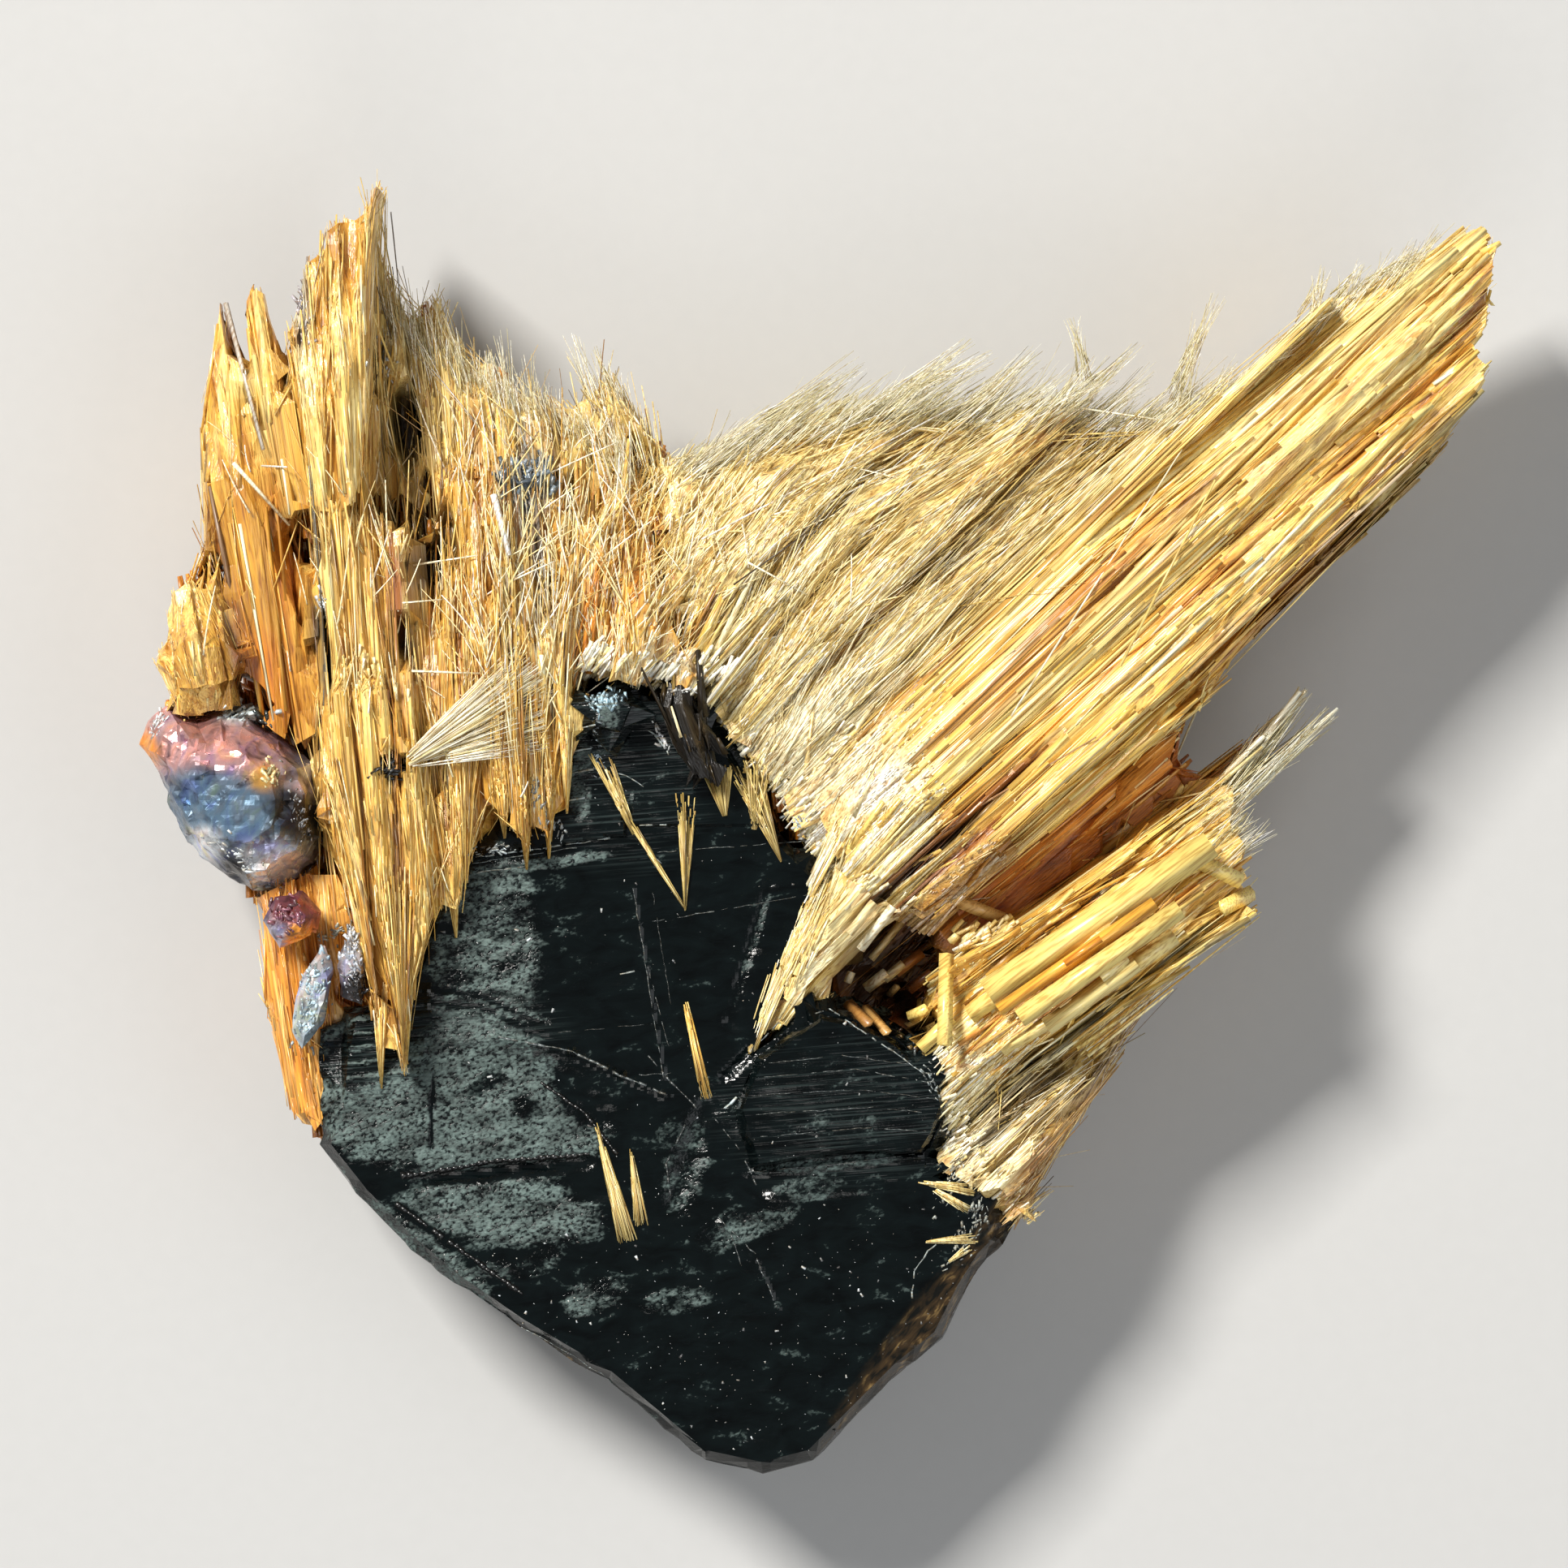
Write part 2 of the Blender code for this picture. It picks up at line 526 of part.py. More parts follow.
def add_needle(shape, start, end, start_width, end_width, low, high):
    """Add one straight needle with a ridge, from start to end."""
    length = math.hypot(end[0] - start[0], end[1] - start[1])
    direction = ((end[0] - start[0]) / length, (end[1] - start[1]) / length)
    bottom, top = add_box_grid(shape)
    spots = []
    for corner, height in [(c, low) for c in bottom] + [(c, high) for c in top]:
        share = (corner.co.y + 1.0) / 2.0
        half_width = (start_width + (end_width - start_width) * share) / 2.0
        offset = corner.co.x * half_width
        along = share * length
        ridge = RIDGE_SHARE * (high - low) * abs(corner.co.x) if height == high else 0.0
        x = start[0] + direction[0] * along - direction[1] * offset
        y = start[1] + direction[1] * along + direction[0] * offset
        spots.append((corner, (x, y, height - ridge)))
    for corner, spot in spots:
        corner.co = spot


def make_sheaf(sheaf):
    """Make a sheaf: laths side by side across its outline, joined in one solid."""
    draw = random.Random(sheaf.seed)
    all_across = [along_across(point, sheaf.angle)[1] for point in sheaf.outline]
    low_side = min(all_across) + EDGE_MARGIN
    high_side = max(all_across) - EDGE_MARGIN
    pitch = (high_side - low_side) / sheaf.laths
    first = bmesh.new()
    rest = bmesh.new()
    for index in range(sheaf.laths):
        left = max(low_side, low_side + (index - LATH_OVERLAP) * pitch)
        right = min(high_side, low_side + (index + 1 + LATH_OVERLAP) * pitch)
        foot = sheaf.rests and index == sheaf.laths // 2
        add_lath(rest if index else first, sheaf, left, right, draw, foot)
    for start, end, width, low, high in sheaf.needles:
        add_needle(rest, start, end, width, width * NEEDLE_END_SHARE, low, high)
    body = make_object(sheaf.name, first, sheaf.finish)
    join_or_cut(body, make_object(sheaf.name + "_rest", rest), "UNION")
    if sheaf.clears_plate:
        clearance = bmesh.new()
        levels = ((-FLOOR_MARGIN, 1.0), (PLATE_TOP + GAP, 1.0))
        add_layered_block(clearance, grown(PLATE_OUTLINE, GAP), levels)
        join_or_cut(body, make_object("plate_clearance", clearance), "DIFFERENCE")
    return body


def make_face_needles(name, needles):
    """Make a thin blade, or a pair joined at the tip, that lies on the hematite face."""
    shapes = [bmesh.new() for _ in needles]
    for shape, (start, end, start_width, end_width) in zip(shapes, needles):
        add_needle(shape, start, end, start_width, end_width, FACE_NEEDLE_BASE, FACE_NEEDLE_TOP)
    body = make_object(name, shapes[0], "straw_rutile")
    for shape in shapes[1:]:
        join_or_cut(body, make_object(name + "_arm", shape), "UNION")
    return body


def make_hematite():
    """Make the main crystal: a thick plate with a raised lobe and a pinnacle on it."""
    plate = bmesh.new()
    plate_levels = (
        (0.0, PLATE_BACK_SHARE),
        (PLATE_BACK_BEVEL, 1.0),
        (PLATE_TOP - PLATE_EDGE_BEVEL, 1.0),
        (PLATE_TOP, PLATE_FACE_SHARE),
    )
    add_layered_block(plate, PLATE_OUTLINE, plate_levels)
    body = make_object("hematite_crystal", plate, "hematite")
    lobe = bmesh.new()
    add_layered_block(lobe, LOBE_OUTLINE, LOBE_LEVELS)
    join_or_cut(body, make_object("lobe", lobe), "UNION")
    pinnacle = bmesh.new()
    add_layered_block(pinnacle, PINNACLE_OUTLINE, PINNACLE_LEVELS)
    join_or_cut(body, make_object("pinnacle", pinnacle), "UNION")
    return body


def make_small_hematite():
    """Make the loose-looking hematite pieces grown into the left side."""
    make_block("hematite_knob", "iridescent_hematite", KNOB_OUTLINE, KNOB_LEVELS, KNOB_TILT)
    make_block("hematite_lump", "iridescent_hematite", LUMP_OUTLINE, LUMP_LEVELS, LUMP_TILT)
    make_block("hematite_flake", "silver_hematite", FLAKE_OUTLINE, FLAKE_LEVELS, FLAKE_TILT)
    make_block("hematite_chip", "silver_hematite", CHIP_OUTLINE, CHIP_LEVELS, CHIP_TILT)


def build_specimen():
    """Build every piece of the specimen."""
    clear_scene()
    make_hematite()
    make_small_hematite()
    for sheaf in SHEAVES:
        make_sheaf(sheaf)
    for name, needles in FACE_NEEDLES:
        make_face_needles(name, needles)


build_specimen()
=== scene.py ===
"""Golden rutile needles grown around a black hematite plate, lying on its back.

All shapes are drawn in millimetres in the frame's own axes and made metres when their mesh
is finished. Each sheaf is a ribbed body with thousands of needles laid along its surface.
"""

import logging
import math
from dataclasses import dataclass, field
from enum import Enum

import bmesh
import bpy
import numpy as np
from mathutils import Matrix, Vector, noise
from mathutils.bvhtree import BVHTree


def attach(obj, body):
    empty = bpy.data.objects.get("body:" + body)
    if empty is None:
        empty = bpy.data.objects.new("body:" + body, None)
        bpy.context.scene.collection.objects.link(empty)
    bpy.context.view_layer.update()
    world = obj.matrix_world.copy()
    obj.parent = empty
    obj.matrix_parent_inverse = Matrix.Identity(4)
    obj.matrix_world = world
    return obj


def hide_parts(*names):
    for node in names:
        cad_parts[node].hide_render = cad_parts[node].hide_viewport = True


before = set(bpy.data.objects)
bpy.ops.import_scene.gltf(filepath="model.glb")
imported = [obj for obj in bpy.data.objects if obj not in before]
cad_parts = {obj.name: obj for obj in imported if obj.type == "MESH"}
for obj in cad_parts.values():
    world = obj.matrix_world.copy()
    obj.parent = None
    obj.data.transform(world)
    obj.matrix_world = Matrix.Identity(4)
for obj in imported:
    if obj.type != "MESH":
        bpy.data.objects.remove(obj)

log = logging.getLogger("rutile_on_hematite")

Colour = tuple[float, float, float]
Place = tuple[float, float, float]
Flat = tuple[float, float]

METRES = 0.001
FRAME_WIDTH = 34.78
FRAME_CENTRE = (-0.79, 1.01)
RIGHT = Vector((1.0, 0.0, 0.0))
AHEAD = Vector((0.0, 1.0, 0.0))
UP = Vector((0.0, 0.0, 1.0))
SKY = 20.0
MERGE_GAP = 0.0005
TINY = 1e-6


def table(kind: type, pairs: int, *rows: tuple) -> tuple:
    """Make a thing of one kind from each row of numbers.

    Args:
        kind: What is made.
        pairs: How many pairs of x and y, or of two sizes, each row starts with.
        rows: The rows, with the thing's other fields after its pairs.

    Returns:
        The things, in the order of their rows.
    """
    made = []
    for row in rows:
        places = [row[2 * i:2 * i + 2] for i in range(pairs)]
        made.append(kind(*places, *row[2 * pairs:]))
    return tuple(made)


class Slot(Enum):
    """The record's material slots."""

    HEMATITE = "hematite"
    IRIDESCENT = "iridescent_hematite"
    SILVER = "silver_hematite"
    GOLDEN = "golden_rutile"
    STRAW = "straw_rutile"
    ORANGE = "orange_rutile"
    BROWN = "brown_rutile"


@dataclass(frozen=True)
class Palette:
    """Linear colours of one kind of rutile: painted crack shade, its own colour, painted glints."""

    crack: Colour
    deep: Colour
    middle: Colour
    pale: Colour
    glint: Colour

    def at(self, tones: np.ndarray) -> np.ndarray:
        """Mix the five colours.

        Args:
            tones: One value a needle, 0 for painted crack shade and 1 for a painted glint.

        Returns:
            One row of red, green and blue for each tone.
        """
        stops = np.array([self.crack, self.deep, self.middle, self.pale, self.glint])
        places = np.linspace(0.0, 1.0, len(stops))
        tones = np.clip(tones, 0.0, 1.0)
        return np.stack([np.interp(tones, places, stops[:, i]) for i in range(3)], axis=1)


GOLD = Palette(
    crack=(0.11, 0.042, 0.006), deep=(0.47, 0.22, 0.028), middle=(0.80, 0.48, 0.09),
    pale=(0.92, 0.70, 0.24), glint=(0.99, 0.93, 0.62),
)
# A lighter copy of GOLD: painted light on the main blade, whose far end slopes away from the key
# light; the lower arm uses it too.
SUNNY = Palette(
    crack=(0.17, 0.062, 0.008), deep=(0.62, 0.30, 0.04), middle=(0.93, 0.61, 0.13),
    pale=(0.98, 0.80, 0.30), glint=(1.0, 0.96, 0.66),
)
STRAW = Palette(
    crack=(0.10, 0.06, 0.014), deep=(0.48, 0.31, 0.07), middle=(0.86, 0.65, 0.22),
    pale=(0.96, 0.84, 0.45), glint=(1.0, 0.98, 0.84),
)
ORANGE = Palette(
    crack=(0.14, 0.035, 0.004), deep=(0.52, 0.18, 0.018), middle=(0.82, 0.36, 0.045),
    pale=(0.92, 0.56, 0.14), glint=(0.98, 0.86, 0.5),
)
# Made lighter for the brown step: painted light where the main blade's shadow falls on it.
BROWN = Palette(
    crack=(0.05, 0.015, 0.004), deep=(0.30, 0.080, 0.012), middle=(0.64, 0.24, 0.034),
    pale=(0.88, 0.50, 0.12), glint=(0.96, 0.80, 0.44),
)
DARK = Palette(
    crack=(0.006, 0.006, 0.006), deep=(0.012, 0.011, 0.010), middle=(0.06, 0.04, 0.015),
    pale=(0.60, 0.42, 0.13), glint=(0.92, 0.82, 0.5),
)
HAIR = Palette(
    crack=(0.16, 0.13, 0.05), deep=(0.38, 0.32, 0.13), middle=(0.66, 0.58, 0.30),
    pale=(0.84, 0.80, 0.58), glint=(0.97, 0.96, 0.88),
)
OLIVE = Palette(
    crack=(0.10, 0.065, 0.016), deep=(0.40, 0.28, 0.07), middle=(0.72, 0.54, 0.18),
    pale=(0.90, 0.76, 0.36), glint=(0.98, 0.94, 0.72),
)


@dataclass(frozen=True)
class StainOrPaintedLight:
    """A soft-edged oval of another colour on the face; some give the rutile's own colour, others
    paint shade and highlights.
    """

    centre: Flat
    radii: Flat
    turn: float
    colour: Colour
    strength: float
    depth: float = 0.0
    rim: float = 1.35
    fade: float = 0.6

    def weight(self, places: np.ndarray) -> np.ndarray:
        """Tell how strongly the oval colours each place.

        Args:
            places: Rows that start with x and y in millimetres.

        Returns:
            One value a row, from 0 outside the oval to the strength at its middle.
        """
        angle = math.radians(self.turn)
        x = places[:, 0] - self.centre[0]
        y = places[:, 1] - self.centre[1]
        along = (x * math.cos(angle) + y * math.sin(angle)) / self.radii[0]
        across = (y * math.cos(angle) - x * math.sin(angle)) / self.radii[1]
        reach = np.clip(self.rim - np.hypot(along, across), 0.0, self.fade) / self.fade
        return self.strength * reach


DEEP_ORANGE = (0.84, 0.32, 0.035)
RED_BROWN = (0.30, 0.065, 0.012)
SHADOW = (0.05, 0.028, 0.012)
CREAM = (0.95, 0.90, 0.66)
YELLOW = (0.88, 0.66, 0.20)
STEEL = (0.30, 0.36, 0.40)
AMBER = (0.76, 0.42, 0.10)
LEMON = (0.96, 0.72, 0.20)
WHITE = (0.96, 0.95, 0.88)

# Ovals of the rutile's own colours with painted light among them: the SHADOW ovals and the rows
# marked below paint shade and highlights.
STAINS_AND_PAINTED_LIGHT = table(
    StainOrPaintedLight, 2,
    (-12.2, 3.3, 1.1, 0.6, 98.0, DEEP_ORANGE, 0.7),
    # Painted cast shadow of the side tuft on the outer blade, together with the SHADOW oval at
    # (-13.0, 4.2).
    (-12.9, 4.4, 0.9, 0.22, 98.0, RED_BROWN, 0.7),
    (-12.72, 9.6, 2.2, 0.10, 101.0, SHADOW, 0.85, 0.5),
    (-11.75, 9.4, 2.6, 0.10, 96.0, SHADOW, 0.8, 0.5),
    (-11.45, 11.4, 0.9, 0.22, 95.0, STEEL, 0.6),
    (-9.2, 9.0, 0.75, 0.3, 95.0, SHADOW, 0.95, 1.3),
    (-8.7, 5.9, 0.6, 0.4, 80.0, SHADOW, 0.9, 1.0),
    (-9.15, 4.2, 0.5, 0.26, 95.0, SHADOW, 0.9, 0.9),
    (-9.4, 5.3, 0.95, 0.22, 92.0, RED_BROWN, 0.85),
    (-8.6, 3.3, 1.1, 0.35, 20.0, RED_BROWN, 0.45),
    (-11.0, 4.1, 1.2, 0.16, 96.0, (0.06, 0.07, 0.07), 0.95, 0.9),
    (-6.5, 7.6, 0.8, 0.5, 95.0, STEEL, 0.75),
    # Near-black: painted shade in the hole beside the pale fan, where the face also sinks.
    (-9.4, 1.45, 0.26, 0.2, 0.0, (0.01, 0.01, 0.01), 1.0, 1.2),
    (-7.9, 1.9, 1.2, 0.5, 35.0, YELLOW, 0.5),
    (-10.8, -4.0, 1.4, 0.16, 96.0, RED_BROWN, 0.5),
    (-7.0, 10.1, 0.5, 0.4, 95.0, AMBER, 0.5),
    (5.4, 4.8, 1.6, 0.34, 42.0, RED_BROWN, 0.7),
    (6.6, 6.0, 1.5, 0.2, 42.0, DEEP_ORANGE, 0.6),
    (8.0, 5.0, 2.6, 0.16, 43.0, DEEP_ORANGE, 0.6),
    (11.2, 9.2, 3.2, 0.18, 44.0, DEEP_ORANGE, 0.4),
    (4.6, 3.3, 3.2, 0.12, 43.0, RED_BROWN, 0.55),
    (9.5, 8.4, 3.4, 0.1, 43.0, RED_BROWN, 0.5),
    (13.0, 7.9, 2.4, 0.5, 50.0, SHADOW, 0.45),
    (10.6, 5.4, 1.8, 0.5, 42.0, RED_BROWN, 0.5),
    (5.0, 8.7, 1.2, 0.3, 45.0, DEEP_ORANGE, 0.35),
    (3.2, -1.2, 2.2, 0.5, 42.0, RED_BROWN, 0.45),
    # Near-black: painted shade in the hollow beside the wedge.
    (1.5, -3.1, 1.3, 0.9, 40.0, (0.03, 0.015, 0.006), 0.9),
    (2.1, -5.2, 0.6, 0.35, 40.0, SHADOW, 0.7),
    (7.2, -2.3, 2.4, 0.4, 36.0, YELLOW, 0.7),
    (6.2, -3.0, 2.2, 0.22, 36.0, DEEP_ORANGE, 0.5),
    # Cream ovals from here to the one at (-3.6, 3.65): painted glints of broken needle ends along
    # the roots.
    (0.5, 1.6, 1.4, 1.4, 0.0, CREAM, 0.55),
    (-0.6, 2.4, 1.2, 0.7, 0.0, CREAM, 0.5),
    (1.5, 0.9, 0.8, 0.5, 40.0, CREAM, 0.7),
    (3.0, -5.6, 1.0, 0.6, 40.0, CREAM, 0.5),
    (3.6, -7.2, 1.0, 0.7, 43.0, CREAM, 0.45),
    (-3.6, 3.65, 1.3, 0.28, 6.0, CREAM, 0.6),
    (-10.35, 3.75, 0.55, 0.2, 100.0, RED_BROWN, 0.8),
    (-9.0, 7.0, 0.35, 0.9, 95.0, SHADOW, 0.5, 0.5),
    (-7.6, 8.3, 1.3, 0.16, 95.0, RED_BROWN, 0.5, 0.3),
    (-6.9, 4.6, 0.9, 0.12, 95.0, SHADOW, 0.6, 0.4),
    (-7.9, 4.2, 0.8, 0.12, 95.0, RED_BROWN, 0.6, 0.3),
    (-5.2, 4.5, 0.9, 0.14, 80.0, DEEP_ORANGE, 0.7, 0.2),
    (-3.9, 6.0, 0.9, 0.14, 75.0, DEEP_ORANGE, 0.6, 0.2),
    (-13.0, 4.2, 1.4, 0.2, 96.0, SHADOW, 0.5),
    (10.6, 2.4, 1.9, 0.8, 50.0, (0.80, 0.80, 0.66), 0.95),
    (-10.05, -0.6, 3.0, 0.07, 94.0, RED_BROWN, 0.6, 0.15),
    (-9.3, -0.9, 2.2, 0.07, 93.0, RED_BROWN, 0.6, 0.15),
    (-10.3, -3.0, 1.3, 0.10, 96.0, SHADOW, 0.8, 0.4),
    (7.5, 3.9, 1.6, 0.08, 43.0, SHADOW, 0.6, 0.3),
    (3.2, 0.1, 2.4, 0.09, 42.0, SHADOW, 0.7, 0.4),
    (5.6, -2.9, 2.6, 0.10, 37.0, DEEP_ORANGE, 0.8),
    (6.0, -4.3, 2.2, 0.14, 40.0, SHADOW, 0.7, 0.4),
    (4.4, -6.3, 1.6, 0.10, 43.0, SHADOW, 0.7, 0.4),
    (5.2, -7.0, 1.4, 0.12, 45.0, AMBER, 0.6),
    # Near-black: painted shade deeper in the same hollow, where the face also sinks.
    (2.2, -4.35, 1.0, 0.36, -52.0, (0.05, 0.025, 0.01), 0.95, 0.9),
    (3.42, 0.49, 2.2, 0.13, 41.0, RED_BROWN, 0.8, 0.2),
    (2.2, -0.75, 1.5, 0.13, 39.0, SHADOW, 0.8, 0.35),
    (3.3, -0.35, 1.8, 0.10, 40.0, RED_BROWN, 0.8, 0.2),
    (2.9, 3.9, 2.0, 0.10, 42.0, RED_BROWN, 0.6),
    (0.9, 4.3, 1.6, 0.09, 44.0, AMBER, 0.7),
    (4.3, 3.4, 1.5, 0.30, 42.0, (0.84, 0.42, 0.07), 0.5),
    # White: a painted glint of broken needle ends.
    (1.3, 0.95, 0.55, 0.35, 40.0, WHITE, 0.9),
    # Lighter yellow: painted light on the main blade's far end, which slopes away from the key
    # light.
    (11.2, 10.0, 3.4, 1.1, 43.0, (1.0, 0.82, 0.34), 0.60),
    (-6.2, 5.6, 0.9, 0.12, 95.0, SHADOW, 0.8, 0.6),
    (-5.5, 6.9, 0.8, 0.12, 88.0, SHADOW, 0.7, 0.5),
    (-7.3, 5.9, 0.7, 0.15, 92.0, RED_BROWN, 0.8, 0.6),
    (-8.2, 6.4, 0.6, 0.2, 95.0, SHADOW, 0.8, 0.7),
    (-4.5, 5.3, 0.8, 0.10, 80.0, RED_BROWN, 0.7, 0.4),
    (-6.6, 3.3, 0.9, 0.09, 95.0, RED_BROWN, 0.7, 0.3),
    (-5.9, 2.6, 0.9, 0.08, 95.0, SHADOW, 0.6, 0.3),
    (-7.4, 2.6, 1.2, 0.09, 95.0, RED_BROWN, 0.6, 0.3),
    (-8.2, 0.6, 1.0, 0.07, 95.0, RED_BROWN, 0.7, 0.3),
    (-12.6, 7.0, 2.4, 0.16, 97.0, (0.88, 0.45, 0.06), 0.4),
    (-11.9, 6.0, 1.6, 0.3, 98.0, DEEP_ORANGE, 0.45),
    (4.7, -7.7, 1.1, 0.32, 52.0, (0.46, 0.22, 0.05), 0.75),
    (6.3, -5.5, 1.5, 0.26, 44.0, (0.36, 0.20, 0.07), 0.6),
    (3.9, -5.9, 1.5, 0.08, 43.0, SHADOW, 0.7, 0.3),
    (4.9, -5.6, 1.4, 0.08, 42.0, (0.30, 0.17, 0.05), 0.7, 0.3),
    (3.6, -6.9, 1.0, 0.07, 44.0, SHADOW, 0.6, 0.2),
)


@dataclass(frozen=True)
class Zone:
    """A polygon on the face of the specimen, and what it means for one sheaf."""

    outline: tuple[Flat, ...]
    owner: str
    rise: float = 0.0

    def holds(self, places: np.ndarray) -> np.ndarray:
        """Tell which places lie inside the polygon.

        Args:
            places: Rows that start with x and y in millimetres.

        Returns:
            One truth value a row.
        """
        inside = np.zeros(len(places), dtype=bool)
        x, y = places[:, 0], places[:, 1]
        for (ax, ay), (bx, by) in zip(self.outline, self.outline[1:] + self.outline[:1]):
            if ay != by:
                cut = (bx - ax) * (y - ay) / (by - ay) + ax
                inside ^= ((ay > y) != (by > y)) & (x < cut)
        return inside


ROOT_LINE = (
    (-4.6, 3.5), (-3.3, 3.3), (-1.8, 2.6), (-0.9, 1.2), (-0.3, 0.2), (0.0, -0.6),
    (0.5, -1.2), (2.4, -2.4),
)


def line_gap(x: float, y: float, start: Flat, end: Flat) -> float:
    """Tell how far a place is from a straight line.

    Args:
        x: Place across, in millimetres.
        y: Place up the face.
        start: The line's first end.
        end: Its other end.

    Returns:
        The distance.
    """
    ax, ay = start
    dx, dy = end[0] - ax, end[1] - ay
    share = ((x - ax) * dx + (y - ay) * dy) / (dx * dx + dy * dy)
    share = min(1.0, max(0.0, share))
    return math.hypot(x - ax - dx * share, y - ay - dy * share)


def root_gap(x: float, y: float) -> float:
    """Tell how far a place is from the line where the right sheaves leave the hematite."""
    return min(line_gap(x, y, *ends) for ends in zip(ROOT_LINE, ROOT_LINE[1:]))


CLEAR_ZONES = (
    Zone(
        (
            (-5.18, 3.24), (-4.72, 3.37), (-3.96, 3.06), (-3.56, 2.56), (-3.06, 1.66),
            (-2.61, 0.40), (-2.34, 0.22), (-0.09, -0.68), (0.0, -1.13), (-0.63, -2.66),
            (-1.53, -5.0), (-5.58, -5.0), (-7.38, -0.86), (-6.3, -0.59), (-5.76, 0.67),
            (-5.49, 1.66),
        ),
        "hematite",
    ),
    Zone(
        (
            (-3.78, 3.0), (-3.06, 3.1), (-2.34, 2.95), (-1.98, 2.56), (-2.16, 1.66),
            (-2.56, 0.49), (-2.97, 1.48), (-3.51, 2.47),
        ),
        "dark_blade",
    ),
    Zone(
        (
            (0.09, -2.84), (0.9, -1.5), (1.98, -1.94), (2.52, -2.3), (3.06, -3.2),
            (2.34, -4.82), (1.62, -4.46), (0.54, -3.92),
        ),
        "hollow_floor",
    ),
)
TERRACES = (
    Zone(
        (
            (-11.43, 3.0), (-10.98, 3.31), (-10.6, 3.0), (-10.26, 3.15), (-9.72, 3.4),
            (-9.36, 3.0), (-9.18, 2.1), (-8.82, 1.1), (-8.37, 0.04), (-8.46, -2.84),
            (-8.91, -4.64), (-9.36, -5.5), (-10.26, -3.2), (-10.98, -1.4), (-11.25, 0.4),
        ),
        "left_sheaf", 0.3,
    ),
    Zone(
        ((-9.2, 4.0), (-8.4, 4.3), (-8.4, 6.6), (-9.1, 6.7)), "middle_sheaf", -0.5,
    ),
    Zone(
        ((6.4, -3.6), (9.4, -1.5), (9.4, -4.0), (5.0, -6.0), (4.2, -5.2)), "lower_arm", -0.35,
    ),
    Zone(
        ((7.9, 2.4), (11.6, 6.4), (13.4, 8.2), (14.4, 7.4), (11.0, 3.0)), "main_blade", -0.35,
    ),
    Zone(
        ((10.6, 6.3), (11.6, 7.2), (12.2, 6.6), (11.2, 5.6)), "main_blade", -0.3,
    ),
)


def with_tints_and_painted_light(colours: np.ndarray, places: np.ndarray) -> np.ndarray:
    """Lay the ovals of own colour and painted light over colours.

    Args:
        colours: One row of red, green and blue for each place.
        places: Rows that start with x and y in millimetres.

    Returns:
        The colours with every oval mixed in.
    """
    result = colours.copy()
    for tint_oval in STAINS_AND_PAINTED_LIGHT:
        weight = tint_oval.weight(places)[:, None]
        result = result * (1.0 - weight) + np.array(tint_oval.colour) * weight
    return result


@dataclass(frozen=True)
class FlowField:
    """Directions of growth: marks of x, y and degrees above the X axis."""

    marks: tuple[tuple[float, float, float], ...]
    softness: float = 0.2

    def turns(self, places: np.ndarray) -> np.ndarray:
        """Mix the directions of the nearest marks.

        Args:
            places: Rows that start with x and y in millimetres.

        Returns:
            One angle in radians a row.
        """
        marks = np.array(self.marks)
        gaps = places[:, None, :2] - marks[None, :, :2]
        weights = 1.0 / (np.sum(gaps**2, axis=2) + self.softness) ** 2
        angles = np.sum(weights * marks[None, :, 2], axis=1) / np.sum(weights, axis=1)
        return np.radians(angles)


FLOW = FlowField((
    (-13.4, 9.0, 98.0), (-12.2, 9.5, 99.0), (-10.7, 11.5, 93.0), (-10.8, 8.0, 96.0),
    (-14.0, 4.2, 101.0), (-11.6, -3.5, 98.0), (-10.2, 0.0, 95.0), (-9.9, 4.5, 94.0),
    (-9.4, -4.6, 99.0), (-8.2, 1.0, 96.0), (-7.4, 4.0, 93.0), (-7.6, 9.6, 96.0),
    (-6.2, 1.2, 94.0), (-6.0, 6.0, 86.0), (-4.4, 5.2, 80.0), (-4.9, 9.4, 109.0),
    (-2.6, 7.2, 56.0), (-2.2, 4.6, 62.0), (-1.2, 2.6, 54.0), (-1.0, 8.2, 38.0),
    (1.5, 8.6, 36.0), (4.5, 9.0, 40.0), (2.0, 5.6, 44.0), (0.4, 1.4, 45.0),
    (5.6, 8.0, 45.0), (8.0, 7.0, 43.0), (13.0, 11.0, 41.0), (12.0, 8.0, 42.0),
    (5.0, 1.5, 41.5), (2.0, -1.0, 43.0), (7.0, 0.8, 41.0), (1.0, -3.0, 44.0),
    (-0.6, -2.8, 62.0), (4.5, -3.2, 40.0), (8.4, -1.6, 36.0), (9.0, 1.0, 46.0),
    (3.4, -6.6, 45.0), (5.8, -5.4, 41.0), (-3.0, 2.0, 110.0), (-1.6, 0.4, 106.0),
))


